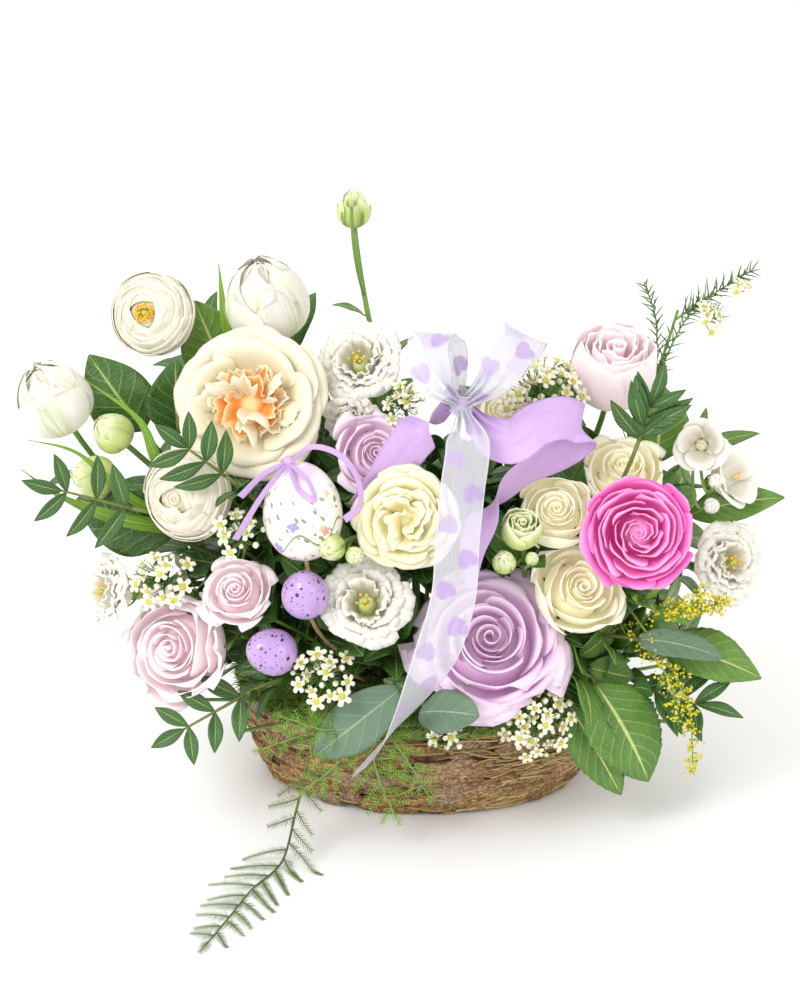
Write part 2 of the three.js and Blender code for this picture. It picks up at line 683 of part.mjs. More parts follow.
/** A flat body between an outline moved up by lift and the same outline moved down. */
function flatBody(rim, lift) {
  const centre = rim.reduce((sum, p) => sum.add(p), V(0, 0, 0)).divideScalar(rim.length);
  const x = rim[Math.floor(rim.length / 2)].clone().sub(centre).normalize();
  const y = lift.clone().normalize().cross(x);
  const flat = rim.map((p) => p.clone().sub(centre)).map((d) => new THREE.Vector2(d.dot(x), d.dot(y)));
  const order = [...rim.keys()];
  if (THREE.ShapeUtils.isClockWise(flat)) order.reverse();
  const loop = order.map((k) => rim[k]);
  const faces = THREE.ShapeUtils.triangulateShape(order.map((k) => flat[k]), []);
  const count = loop.length;
  const points = [...loop.map((p) => p.clone().add(lift)), ...loop.map((p) => p.clone().sub(lift))];
  const triangles = faces.flatMap(([a, b, c]) => [[a, b, c], [count + a, count + c, count + b]]);
  for (let k = 0; k < count; k++) {
    const next = (k + 1) % count;
    triangles.push([next, k, count + k], [next, count + k, count + next]);
  }
  return closedGeometry(points, triangles);
}

/** Feathery side branches of a frond, left and right in turn, between two places on its curve. */
function branchlets(curve, face, [first, last], count, options = {}) {
  const { reach = 36, width = 9, teeth = 2, lean = 45, radius = 0.8 } = options;
  const normal = V(...face).normalize();
  const parts = [];
  for (let k = 0; k < count; k++) {
    const t = mix(first, last, count > 1 ? k / (count - 1) : 0);
    const ahead = curve.getTangent(t);
    const across = ahead.clone().cross(normal).normalize();
    const end = k === count - 1 && last > 0.9;
    const angle = end ? 0 : radians(lean) * (k % 2 ? 1 : -1);
    const way = ahead.clone().multiplyScalar(Math.cos(angle)).addScaledVector(across, Math.sin(angle));
    const foot = curve.getPoint(t).addScaledVector(way, -0.3 * radius);
    const length = reach * (1 - 0.62 * ((t - first) / (1.02 - first))) * (1 - 0.08 * ((k * 7) % 3));
    parts.push(frondlet(
      foot, foot.clone().addScaledVector(way, length), width * (1 - 0.3 * t), normal, teeth,
    ));
  }
  return parts;
}

const courseOf = (points) => new THREE.CatmullRomCurve3(points.map((p) => V(...p)), false, "centripetal");

// ---------------------------------------------------------------- basket and filling

/** A point on an oval ring of the arrangement. */
const oval = (long, wide, height, angle) => V(long * Math.cos(angle), wide * Math.sin(angle), height);

/** A closed wall round the Z axis from a profile of [long, wide, height, relief]. */
function ovalRing(sides, profile, relief = () => 0, closed = false) {
  const points = [];
  profile.forEach(([long, wide, height, rough = 0], k) => {
    for (let i = 0; i < sides; i++) {
      const angle = (2 * Math.PI * i) / sides;
      const out = rough * relief(angle, k, height);
      points.push(oval(long + out, wide + out, height, angle));
    }
  });
  const count = profile.length;
  const triangles = [];
  const rings = closed ? count : count - 1;
  for (let k = 0; k < rings; k++) {
    const up = (k + 1) % count;
    for (let i = 0; i < sides; i++) {
      const next = (i + 1) % sides;
      const [a, b, c, d] = [k * sides + i, k * sides + next, up * sides + next, up * sides + i];
      triangles.push([a, b, c], [a, c, d]);
    }
  }
  if (!closed) {
    const bottom = points.push(V(0, 0, profile[0][2])) - 1;
    const inside = points.push(V(0, 0, profile[count - 1][2])) - 1;
    for (let i = 0; i < sides; i++) {
      const next = (i + 1) % sides;
      triangles.push([bottom, next, i]);
      triangles.push([inside, (count - 1) * sides + i, (count - 1) * sides + next]);
    }
  }
  return closedGeometry(points, triangles);
}

/** The basket's half length and half width at a height, moved in by inset. */
function basketAt(height, inset = 0) {
  const t = Math.sqrt(Math.max(0, height) / BASKET.height);
  const long = mix(BASKET.baseLong, BASKET.rimLong, t) - inset;
  const wide = mix(BASKET.baseWide, BASKET.rimWide, t) - inset;
  return [long, wide, height];
}

const barkRelief = (angle, k) =>
  Math.sin(7 * angle + 2.3 * k) + 0.7 * Math.sin(13 * angle - 1.1 * k) + (k % 2 ? 1.2 : -0.8);

function basket() {
  const { height, wall, floor } = BASKET;
  const outside = [0, 10, 22, 34, 47, height].map((z, k) => [...basketAt(z), k ? 1 : 0]);
  const inside = [height, 40, 20, floor].map((z) => basketAt(z, wall));
  return [ovalRing(26, [...outside, ...inside], barkRelief)];
}

function liner() {
  const gap = BASKET.wall + 1.2;
  const [low, high] = [BASKET.floor + 0.3, LINER.top];
  const outside = [low, 16, high].map((z) => basketAt(z, gap));
  const inside = [high, 16, low + LINER.wall].map((z) => basketAt(z, gap + LINER.wall));
  return [ovalRing(14, [...outside, ...inside])];
}

function foam() {
  const { long, wide, top, corner } = FOAM;
  const low = BASKET.floor + 0.3 + LINER.wall + 0.3;
  const shape = new THREE.Shape();
  shape.moveTo(-long + corner, -wide);
  shape.lineTo(long - corner, -wide).lineTo(long, -wide + corner);
  shape.lineTo(long, wide - corner).lineTo(long - corner, wide);
  shape.lineTo(-long + corner, wide).lineTo(-long, wide - corner);
  shape.lineTo(-long, -wide + corner);
  const block = new THREE.ExtrudeGeometry(shape, { depth: top - low, bevelEnabled: false });
  return [block.translate(0, 0, low)];
}

const mossRelief = (angle, k) =>
  2.2 * Math.sin(9 * angle + 1.9 * k) + 1.4 * Math.sin(17 * angle - 2.3 * k) + Math.sin(29 * angle + k);

/** The collar of moss: a mound from just past the basket's rim up to the foam. */
function moss() {
  const rim = BASKET.height + AIR;
  const [rimLong, rimWide] = [BASKET.rimLong, BASKET.rimWide];
  const inset = BASKET.wall + LINER.wall + 5;
  const [innerLong, innerWide] = [FOAM.long + 9, FOAM.wide + 14];
  const ring = [
    [rimLong + MOSS.lip, rimWide + MOSS.lip, rim + 2.5, 0.4],
    [rimLong + MOSS.lip - 2, rimWide + MOSS.lip - 2, rim + 8, 0.9],
    [mix(rimLong, innerLong, 0.5), mix(rimWide, innerWide, 0.5), rim + 18, 1],
    [innerLong + 3, innerWide + 3, MOSS.high, 0.7],
    [innerLong, innerWide, MOSS.low, 0],
    [rimLong - inset, rimWide - inset, MOSS.low, 0],
    [rimLong - inset, rimWide - inset, rim + 2.5, 0],
  ];
  return [ovalRing(22, ring, mossRelief, true)];
}

// ---------------------------------------------------------------- eggs and ribbons

/** An egg round +Z, long from end to end, with its blunt end down. */
function egg(radius, length, sides = 12, rings = 9) {
  const profile = Array.from({ length: rings }, (_, k) => {
    const t = mix(0.06, 0.94, k / (rings - 1));
    const angle = Math.PI * t;
    const taper = 1 + 0.13 * Math.cos(angle);
    return [radius * Math.sin(angle) * taper, (-length / 2) * Math.cos(angle)];
  });
  return turnedProfile(sides, profile);
}

/**
 * A flat ribbon along points [x, y, z] with the way across it at each. It is gathered narrow where
 * it meets the knot, and taper draws its end in to a point.
 */
function ribbon(route, width, { rows = 16, taper = 0, gathered = [0, 0] } = {}) {
  const line = new THREE.CatmullRomCurve3(route.map(([p]) => V(...p)), false, "centripetal");
  const knots = route.length - 1;
  const narrow = (t) => {
    const [first, last] = gathered;
    const start = first ? Math.min(1, 0.28 + t / first) : 1;
    const end = last ? Math.min(1, 0.28 + (1 - t) / last) : 1;
    return Math.min(start, end) * (1 - taper * Math.max(0, (t - 0.8) / 0.2));
  };
  const place = (u, v) => {
    const t = Math.min(Math.max(v, 0), 1);
    const k = Math.min(Math.floor(t * knots), knots - 1);
    const across = V(...route[k][1]).normalize().lerp(V(...route[k + 1][1]).normalize(), t * knots - k);
    const along = line.getTangent(t);
    across.addScaledVector(along, -across.dot(along)).normalize();
    return line.getPoint(t).addScaledVector(across, 0.5 * u * width * narrow(t));
  };
  return sheet(Array(rows + 1).fill(1), place, RIBBON.wall);
}

const KNOT = [20, -66, 271];
const SATIN_KNOT = [20, -56, 267];

const SATIN_TAIL = [
  [[17, -57, 268], [0.5, 0, 0.86]],
  [[2, -66, 260], [0.75, 0, 0.66]],
  [[-12, -68, 243], [0.87, 0.1, 0.5]],
  [[-24, -68, 222], [0.9, 0.1, 0.42]],
  [[-34, -66, 205], [0.93, 0.1, 0.34]],
];
const SATIN_LOOP = [
  [[22, -57, 266], [0.3, 0.2, 0.93]],
  [[33, -62, 253], [0.35, 0.3, 0.88]],
  [[48, -66, 247], [0.2, 0.5, 0.84]],
  [[62, -62, 256], [-0.3, 0.35, 0.88]],
  [[78, -54, 257], [-0.25, 0.2, 0.94]],
  [[89, -46, 248], [0.25, 0.15, 0.95]],
  [[80, -46, 236], [0.5, 0.1, 0.86]],
  [[60, -56, 227], [0.45, 0.1, 0.88]],
  [[38, -74, 214], [0.45, 0.1, 0.88]],
  [[27, -90, 196], [0.8, 0.2, 0.55]],
  [[25, -100, 172], [0.98, 0.1, 0.1]],
];
const ORGANZA_LEFT = [
  [[18, -69, 272], [0.8, 0.3, 0.5]],
  [[6, -76, 286], [0.85, -0.2, 0.5]],
  [[0, -72, 301], [0.95, -0.3, 0.1]],
  [[3, -58, 310], [0.95, -0.3, 0]],
  [[9, -49, 300], [0.95, -0.3, -0.1]],
  [[15, -56, 285], [0.85, -0.4, -0.2]],
  [[19, -66, 273], [0.8, -0.5, -0.2]],
];
const ORGANZA_RIGHT = [
  [[22, -69, 272], [0.6, -0.4, -0.6]],
  [[35, -76, 286], [0.7, -0.3, -0.6]],
  [[44, -72, 300], [0.8, -0.2, -0.5]],
  [[54, -58, 309], [0.85, -0.1, -0.4]],
  [[55, -47, 300], [0.9, 0, -0.3]],
  [[39, -54, 285], [0.85, 0.2, -0.3]],
  [[23, -66, 273], [0.8, 0.2, -0.3]],
];
const ORGANZA_TAIL = [
  [[20, -70, 269], [1, 0, -0.1]],
  [[23, -80, 252], [0.98, 0, -0.2]],
  [[20, -92, 230], [1, 0, 0.1]],
  [[17, -106, 204], [1, 0, 0.1]],
  [[15, -120, 178], [1, 0, 0.15]],
  [[8, -130, 154], [0.95, 0.1, 0.3]],
  [[-3, -133, 128], [0.9, 0.1, 0.4]],
  [[-16, -131, 102], [0.75, 0.4, 0.4]],
  [[-30, -128, 80], [0.45, 0.7, 0.4]],
  [[-42, -120, 62], [0.3, 0.8, 0.3]],
];

function knotBead(at, long, wide, tilt = 0) {
  const bead = turnedProfile(6, [[0.6, -1], [1, -0.4], [1, 0.4], [0.6, 1]]);
  return bead.scale(wide, wide * 0.7, long).rotateY(tilt).translate(...at);
}

const EGG_AT = [-70, -84, 213];
const EGG_FACING = [-6, 76];
const EGG = { radius: 22.5, length: 62 };
const EGG_BOW = [-77, -92, 246];
const EGG_BOW_TAILS = [
  [[-78, -93, 246], [-90, -96, 241], [-104, -97, 227]],
  [[-78, -94, 245], [-90, -101, 232], [-107, -104, 204]],
  [[-76, -93, 246], [-64, -94, 256], [-48, -92, 250], [-38, -90, 233], [-38, -92, 219], [-46, -97, 213]],
  [[-76, -95, 246], [-66, -104, 240], [-62, -112, 232], [-70, -110, 236], [-76, -97, 245]],
];

function eggBow() {
  const ribbons = EGG_BOW_TAILS.map((points) => {
    const across = [0.25, 0.55, 0.8];
    return ribbon(points.map((p) => [p, across]), RIBBON.narrow, { rows: points.length > 3 ? 5 : 2 });
  });
  return [knotBead(EGG_BOW, 3.2, 3.6), ...ribbons];
}

/** An egg held on a wooden pick: the pick stands in the foam and stops in the egg's blunt end. */
function eggOnPick(at, facing, radius, length, sides = 9, rings = 6) {
  const { matrix, facing: aim } = standing(at, facing);
  const foot = V(...at).addScaledVector(aim, -0.46 * length);
  return [egg(radius, length, sides, rings).applyMatrix4(matrix), stalkTo(foot, aim, 1.2)];
}

// ---------------------------------------------------------------- the arrangement

settle("basket", "bark", basket());
settle("liner", "liner", liner());

settle("painted_egg", "egg", eggOnPick(EGG_AT, EGG_FACING, EGG.radius, EGG.length, 10, 8));
settle("egg_bow", "satin", eggBow());
settle("speckled_egg_upper", "lilacEgg", eggOnPick([-69, -95, 166], [-10, 60], 13.5, 30));
settle("speckled_egg_lower", "lilacEgg", eggOnPick([-89, -95, 129], [-60, 25], 13.5, 31));

settle("organza_ribbon", "organza", [
  ribbon(ORGANZA_LEFT, RIBBON.width, { rows: 9, gathered: [0.3, 0.3] }),
  ribbon(ORGANZA_RIGHT, RIBBON.width, { rows: 9, gathered: [0.3, 0.3] }),
  ribbon(ORGANZA_TAIL, RIBBON.width, { rows: 12, taper: 0.85, gathered: [0.1, 0] }),
  knotBead(KNOT, 6, 7.5),
]);
settle("satin_ribbon", "satin", [
  ribbon(SATIN_TAIL, RIBBON.width, { rows: 6, gathered: [0.3, 0] }),
  ribbon(SATIN_LOOP, RIBBON.width, { rows: 16, taper: 0.8, gathered: [0.15, 0] }),
  knotBead(SATIN_KNOT, 6, 7),
]);
settle("bow_pick", "wood", [stalkTo(V(20, -50, 262), V(0, -0.6, 0.8), 1.3)]);

// Blooms: kind, middle, [azimuth, elevation] that it faces, radius.
const BLOOMS = [
  ["rose_lavender", "lavender", "rose", [37, -82, 131], [2, 42], 43, { stalk: 2.6, inner: 4 }],
  ["rose_blush_left", "blush", "rose", [-149, -66, 116], [-28, 18], 33, { open: 0.6, inner: 3 }],
  ["rose_blush_small", "blush", "rose", [-110, -72, 157], [-16, 48], 21, { open: 0.8 }],
  ["lisianthus_front", "white", "lisianthus", [-35, -92, 160], [-4, 36], 27, { inner: 3 }],
  ["daffodil_yellow", "yellow", "daffodil", [-12, -84, 207], [-4, 20], 30, { outer: 5, middle: 3 }],
  ["ranunculus_pink", "pink", "ranunculusOpen", [122, -76, 195], [8, 22], 34, {}],
  ["rose_cream_low", "cream", "rose", [90, -70, 158], [24, 38], 27, {
    open: 0.3, inner: 3, outer: 4, sway: [-8, -14, 0],
  }],
  ["rose_cream_mid", "cream", "rose", [75, -58, 202], [-6, 50], 22, { open: 0 }],
  ["ranunculus_cream", "cream", "ranunculus", [-143, -55, 208], [-22, 14], 27, { eye: 0.1 }],
  ["daffodil_cream", "cream", "daffodil", [-102, -28, 256], [-6, 26], 45, {}],
  ["lisianthus_left", "white", "lisianthus", [-191, -45, 143], [-76, 14], 24, {
    deep: 1.5, sway: [0, 19, 18],
  }],
  ["lisianthus_right", "white", "lisianthus", [181, -42, 161], [34, 24], 26, { deep: 1.2 }],
  ["rose_lilac", "lavender", "rose", [-29, -36, 228], [16, 30], 23, { open: 0.6 }],
  ["rose_cream_back", "cream", "rose", [116, -28, 216], [0, 62], 24, { open: 0.4, outer: 4 }],
  ["rose_cream_top", "cream", "rose", [44, -22, 249], [10, 52], 16, { open: 0, outer: 4, roll: 20 }],
  ["rose_blush_top", "blush", "rosebud", [111, 4, 268], [12, 66], 25, {}],
  ["ranunculus_eyed", "white", "ranunculus", [-163, 8, 298], [-12, 22], 25, { eye: 0.2 }],
  ["tulip_left", "white", "tulip", [-219, -5, 250], [-58, 62], 22, {}],
  ["tulip_top", "white", "tulip", [-94, 22, 302], [-35, 74], 25, { roll: 20 }],
];
for (const [name, colour, kind, at, facing, size, options] of BLOOMS) {
  settle(name, colour, bloom(kind, at, facing, size, options));
}

settle("lisianthus_top", "white", withSides(
  bloom("lisianthus", [-40, 0, 273], [-14, 42], 27),
  (stalk) => sideHead("lisianthus", [-44, -16, 240], [-4, -8], 17, along(stalk, 0.3), { outer: 4 }),
));
settle("lisianthus_tall_bud", "bud", withSides(
  bloom("bud", [-42, 30, 355], [-8, 84], 12, { stalk: 1.8, sway: [10, 10, 0], hub: [18, 10, 42] }),
  (stalk) => sideHead("bud", [-43, 12, 366], [0, 84], 5, along(stalk, 0.15)),
));
settle("lisianthus_bud_pair", "bud", withSides(
  bloom("bud", [-54, -100, 197], [-30, 12], 9, { stalk: 1.3, sway: [0, 38, 0] }),
  (stalk) => sideHead("bud", [-40, -108, 196], [20, 20], 6, along(stalk, 0.1)),
));
settle("lisianthus_bud_spray", "bud", withSides(
  bloom("rosebud", [54, -80, 200], [8, 60], 11, { stalk: 1.6, inner: 3, outer: 0, sway: [23, 13, 0] }),
  (stalk) => [
    ...sideHead("bud", [44, -90, 184], [-4, 50], 8, along(stalk, 0.12)),
    ...sideHead("bud", [60, -90, 186], [20, 50], 4.5, along(stalk, 0.16)),
  ],
));
settle("tulip_buds", "bud", withSides(bloom("tulip", [-184, -16, 233], [-60, 48], 12), (stalk) => [
  ...sideHead("tulip", [-196, -22, 207], [-80, 20], 13, along(stalk, 0.26), { twig: 1.8 }),
  strap([along(stalk, 0.34), [-156, -24, 216], [-166, -30, 246], [-196, -28, 270]], 7, [0, -1, 0.3], 4),
  strap([along(stalk, 0.4), [-180, -40, 188], [-212, -44, 204], [-234, -44, 221]], 8, [0, -1, 0.6], 4),
]));
settle("freesia", "white", withSides(
  bloom("freesia", [160, -28, 229], [-10, 20], 16, { stalk: 1.4, outer: 4 }),
  (stalk) => [
    ...sideHead("freesia", [184, -20, 207], [52, 30], 20, along(stalk, 0.24), { twig: 1.2, outer: 4 }),
    ...sideHead("bud", [168, -44, 214], [20, 60], 5, along(stalk, 0.1)),
    ...sideHead("bud", [166, -48, 200], [20, 40], 5.5, along(stalk, 0.16)),
  ],
));

// Foliage.
const TOWARDS = [0, -1, 0.35];
settle("salal_left_high", "leaf", withSides(
  leafOnStalk([-168, 12, 222], [-198, 8, 272], 40, TOWARDS, { teeth: 6, rows: 6, bow: 0.06 }),
  (stalk) => leafOnTwig(along(stalk, 0.16), [-148, 12, 220], [-146, -6, 274], 38, TOWARDS, {
    teeth: 6, rows: 6, bow: 0.05,
  }),
));
settle("salal_left_low", "leaf", leafOnStalk(
  [-150, -22, 168], [-206, -20, 192], 42, TOWARDS, { teeth: 6, rows: 6 },
));
settle("salal_top", "leafPale", withSides(
  leafOnStalk([-118, 26, 250], [-136, 24, 300], 40, TOWARDS, { rows: 5, bow: 0.05, sway: [33, 19, 0] }),
  (stalk) => [strap([along(stalk, 0.1), [-118, 22, 290], [-121, 20, 324]], 9, [0, -1, 0.2], 4)],
));
settle("salal_right_low", "leaf", withSides(
  leafOnStalk([100, -68, 94], [132, -86, 38], 50, [0.3, -0.8, 0.6], { teeth: 8, rows: 8, bow: 0.08 }),
  (stalk) => leafOnTwig(
    along(stalk, 0.3), [84, -74, 84], [116, -88, 30], 30, [0.1, -0.9, 0.3], { teeth: 6, rows: 6 },
  ),
));
settle("salal_right", "leafPale", leafOnStalk(
  [138, -48, 110], [198, -66, 96], 34, [0, -0.6, 0.8], { teeth: 6, rows: 6 },
));
settle("salal_right_high", "leafPale", withSides(
  leafOnStalk([158, 0, 172], [214, -10, 188], 24, [0, -0.7, 0.7], { rows: 5 }),
  (stalk) => leafOnTwig(
    along(stalk, 0.25), [138, 0, 206], [139, 0, 256], 38, TOWARDS, { rows: 5, bow: 0.03 },
  ),
));
settle("salal_back", "leaf", withSides(
  leafOnStalk([-70, 48, 190], [-100, 62, 262], 46, [0, 1, 0.3], { teeth: 6, rows: 6 }),
  (stalk) => leafOnTwig(
    along(stalk, 0.35), [-96, 66, 150], [-150, 76, 176], 46, [0, 1, 0.4], { teeth: 6, rows: 6 },
  ),
));
settle("salal_back_right", "leaf", withSides(
  leafOnStalk([66, 48, 180], [92, 58, 250], 46, [0, 1, 0.3], { teeth: 6, rows: 6 }),
  (stalk) => leafOnTwig(
    along(stalk, 0.35), [96, 62, 142], [156, 70, 168], 46, [0, 1, 0.4], { teeth: 6, rows: 6 },
  ),
));
settle("pistachio_left", "leaf", sprigOnStalk([-170, -40, 194], [-210, -54, 212], [0, -1, 0.3], {
  pairs: 2, leaflet: 30, width: 11, spread: 70, sway: [5, 3, 6],
}));
settle("pistachio_mid", "leaf", sprigOnStalk([-114, -58, 222], [-136, -66, 244], [0, -1, 0.2], {
  pairs: 2, leaflet: 30, width: 10, spread: 55,
}));
settle("pistachio_right", "leaf", sprigOnStalk([122, -44, 238], [128, -46, 262], [0, -1, 0.2], {
  pairs: 2, leaflet: 34, width: 11, spread: 34, sway: [-5, -7, 0],
}));
settle("pistachio_low_left", "leaf", sprigOnStalk([-104, -72, 90], [-141, -88, 72], [0, -0.8, 0.6], {
  pairs: 2, leaflet: 27, width: 11, spread: 62,
}));
settle("pistachio_low_right", "leaf", sprigOnStalk([132, -66, 88], [160, -76, 84], [0, -0.6, 0.8], {
  pairs: 2, leaflet: 34, width: 12, spread: 55,
}));
settle("eucalyptus_front", "eucalyptus", withSides(
  leafOnStalk([-14, -92, 104], [-64, -104, 66], 31, [0.2, -0.8, 0.6], { rows: 5, bow: 0.08, fold: 0.05 }),
  (stalk) => leafOnTwig(
    along(stalk, 0.16), [-4, -104, 94], [30, -126, 104], 26, [0, -0.7, 0.7], { rows: 5, fold: 0.05 },
  ),
));
settle("eucalyptus_right", "eucalyptus", leafOnStalk(
  [124, -70, 124], [172, -86, 120], 19, [0, -0.6, 0.8], { rows: 5 },
));

settle("wax_left", "wax", withSides(
  clusterOnStalk([-156, -62, 162], [-20, 40], 18, 5, { sway: [11, 0, 11] }),
  (stalk) => clusterOnTwig(along(stalk, 0.3), [-106, -76, 195], [-5, 40], 14, 3, { needles: 2 }),
));
settle("wax_mid", "wax", clusterOnStalk([-14, -26, 256], [-10, 40], 12, 3, { needles: 3 }));
settle("wax_top", "wax", clusterOnStalk([66, -24, 266], [0, 50], 22, 7));
settle("wax_right_tall", "wax", withSides(
  [stalkTo(V(148, 20, 294), V(0.35, 0, 0.94), 1.2, { sway: [14, 6, -14], hub: [18, 10, 42] })],
  (stalk) => [
    ...needledTwig([along(stalk, 0.02), [166, 14, 306], [190, 6, 326]], 8, 22),
    ...needledTwig([along(stalk, 0.14), [136, 24, 290], [128, 22, 312]], 3, 18),
    ...clusterOnTwig(along(stalk, 0.06), [168, 2, 298], [40, 40], 8, 2, { needles: 0 }),
  ],
));
settle("wax_front_left", "wax", clusterOnStalk([-60, -104, 120], [-6, 40], 18, 5));
settle("wax_front_right", "wax", withSides(
  clusterOnStalk([66, -100, 84], [6, 20], 22, 5),
  (stalk) => clusterOnTwig(along(stalk, 0.2), [12, -102, 77], [-10, 30], 10, 2, { needles: 2 }),
));
settle("solidago", "solidago", withSides(
  [stalkTo(V(136, -70, 142), V(0.6, -0.4, 0.3), 1.2, { sway: [0, 27, 27] })],
  (stalk) => [
    ...needledTwig([along(stalk, 0.02), [154, -78, 148], [174, -80, 154]], 9, 9, { reach: 0.4 }),
    ...needledTwig([along(stalk, 0.16), [150, -92, 100], [157, -98, 50]], 8, 8, { reach: 0.4 }),
  ],
));

const TRAILING = courseOf([
  [-56, -84, 88], [-66, -100, 70], [-76, -108, 30], [-84, -120, 4], [-100, -146, 1.7],
  [-112, -176, 1.7], [-123, -203, 1.7],
]);
settle("fern_trailing", "fern", [
  stalkTo(TRAILING.getPoint(0.02), TRAILING.getTangent(0), 1.1, { sway: [8, 0, 0] }),
  rod(TRAILING, 0.8, 9),
  ...branchlets(TRAILING, [-0.3, -0.9, 0.3], [0.3, 0.3], 1, { reach: 32, width: 10 }),
  ...branchlets(TRAILING, [0, 0, 1], [0.6, 0.97], 7, { reach: 46, width: 12 }),
]);
const FRONT_FERN = courseOf([[-30, -86, 92], [-32, -100, 72], [-26, -104, 46], [-18, -104, 26]]);
settle("fern_front", "fern", [
  stalkTo(FRONT_FERN.getPoint(0.02), FRONT_FERN.getTangent(0), 1.1),
  rod(FRONT_FERN, 0.8, 4),
  ...branchlets(FRONT_FERN, [0, -1, 0.3], [0.3, 0.97], 4, { reach: 34, width: 10 }),
]);

settle("moss", "moss", moss());
settle("foam", "foam", foam());

export default arrangement;
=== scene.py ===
"""A spring flower arrangement in a low oval basket of bark and straw, dressed over its fixed model.

Every surface is worked out in millimetres, in the model's frame, and put into its mesh in metres.
Blooms, leaves, sprays, ribbons, eggs, basket and moss each have an operator in the sidebar.
"""

import math
import bpy
import numpy as np
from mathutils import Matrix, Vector
from bpy.props import FloatProperty, FloatVectorProperty, IntProperty, PointerProperty


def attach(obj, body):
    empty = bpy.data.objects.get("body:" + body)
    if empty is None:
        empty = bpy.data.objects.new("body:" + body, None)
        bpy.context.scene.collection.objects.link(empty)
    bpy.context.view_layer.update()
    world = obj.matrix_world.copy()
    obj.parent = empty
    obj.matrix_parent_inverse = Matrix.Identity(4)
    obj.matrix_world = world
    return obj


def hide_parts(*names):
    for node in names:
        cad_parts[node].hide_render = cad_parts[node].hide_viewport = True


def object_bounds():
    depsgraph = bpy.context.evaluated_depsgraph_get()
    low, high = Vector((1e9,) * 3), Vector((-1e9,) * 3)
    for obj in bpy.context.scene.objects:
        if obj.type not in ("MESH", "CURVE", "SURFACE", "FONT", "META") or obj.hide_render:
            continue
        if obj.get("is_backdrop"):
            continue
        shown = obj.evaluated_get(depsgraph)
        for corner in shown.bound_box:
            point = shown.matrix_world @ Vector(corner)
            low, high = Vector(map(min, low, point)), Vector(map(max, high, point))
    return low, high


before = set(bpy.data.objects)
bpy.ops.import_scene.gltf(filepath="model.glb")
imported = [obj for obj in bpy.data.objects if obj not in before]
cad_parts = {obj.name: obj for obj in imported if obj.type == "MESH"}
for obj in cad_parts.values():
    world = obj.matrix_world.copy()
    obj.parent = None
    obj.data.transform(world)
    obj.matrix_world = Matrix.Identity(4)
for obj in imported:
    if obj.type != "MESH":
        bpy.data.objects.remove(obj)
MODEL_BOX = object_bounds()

bl_info = {
    "name": "Flower basket arrangement",
    "version": (1, 0, 0),
    "blender": (4, 5, 0),
    "location": "3D View > Sidebar > Flower basket",
    "description": "Dresses a flower basket's blooms, foliage, ribbons, eggs, moss and bark",
    "category": "Object",
}

MM = 0.001
TAU = 2 * math.pi
GOLDEN_ANGLE = math.pi * (3 - math.sqrt(5))
HUB = (0, 0, 42)  # every stalk points at this place in the foam
STALK_ENDS = (40, 18, 32)  # half axes of the egg-shaped core that no stalk reaches into
RIM = {"base": (90, 56), "rim": (112, 74), "height": 60}  # half length and half width of the basket


def linear(code):
    """A colour code such as #d3b6e0 as scene-linear red, green and blue."""
    parts = [int(code[k : k + 2], 16) / 255 for k in (1, 3, 5)]
    return tuple(c / 12.92 if c <= 0.04045 else ((c + 0.055) / 1.055) ** 2.4 for c in parts)


def colour_property(name, description, code):
    return FloatVectorProperty(
        name=name, description=description, default=linear(code), subtype="COLOR", min=0, max=1
    )


def length_property(name, description, default, high):
    return FloatProperty(
        name=name, description=description, default=default, min=0, max=high, subtype="DISTANCE",
        unit="LENGTH",
    )


def count_property(name, description, default, high):
    return IntProperty(name=name, description=description, default=default, min=0, max=high)


class ArrangementSizes(bpy.types.PropertyGroup):
    """Sizes and counts that a florist would change."""

    petal_wall: length_property("Petal thickness", "Thickness of a petal", 0.00035, 0.002)
    leaf_wall: length_property("Leaf thickness", "Thickness of a leaf", 0.0005, 0.002)
    ribbon_width: length_property("Ribbon width", "Width of the satin and organza ribbons", 0.025, 0.06)
    ribbon_wall: length_property("Ribbon thickness", "Thickness of the ribbons", 0.0003, 0.001)
    moss_strands: count_property("Moss strands", "Strands in the moss collar", 5200, 9000)
    straw_strands: count_property("Straw strands", "Straws bound on the basket", 300, 900)
    bark_chips: count_property("Bark chips", "Bark chips on the basket wall", 330, 900)


class ArrangementColours(bpy.types.PropertyGroup):
    """The main colours of the petals, leaves and ribbons."""

    white: colour_property("White petals", "Body of a white petal", "#e6e2d5")
    cream: colour_property("Cream petals", "Body of a cream petal", "#f1ebcc")
    yellow: colour_property("Yellow petals", "Body of a pale yellow petal", "#ece4ac")
    blush: colour_property("Blush petals", "Body of a blush petal", "#eed9de")
    lavender: colour_property("Lavender petals", "Body of a lavender petal", "#dfbcdb")
    pink: colour_property("Pink petals", "Body of a pink petal", "#e867b8")
    bud: colour_property("Green buds", "Body of a bud's petal", "#c0cf7c")
    leaf: colour_property("Dark leaves", "Upper side of a dark leaf", "#2c5a16")
    leaf_pale: colour_property("Pale leaves", "Upper side of a pale leaf", "#457520")
    eucalyptus: colour_property("Eucalyptus", "Waxy grey-green leaves", "#5d7862")
    satin: colour_property("Satin", "Satin ribbon", "#c9a6dc")
    organza: colour_property("Organza", "Sheer ribbon", "#e0dfe8")
    hearts: colour_property("Hearts", "Hearts woven into the sheer ribbon", "#b795d6")


def sizes():
    return bpy.context.scene.arrangement_sizes


def colours():
    return bpy.context.scene.arrangement_colours


# ---------------------------------------------------------------- vectors and curves


def unit(a):
    return a / np.maximum(np.linalg.norm(a, axis=-1, keepdims=True), 1e-9)


def mix(a, b, t):
    return a + (b - a) * t


def line(start, end, count):
    """Even steps from start to end."""
    return np.stack([mix(start, end, t) for t in np.linspace(0, 1, count)])


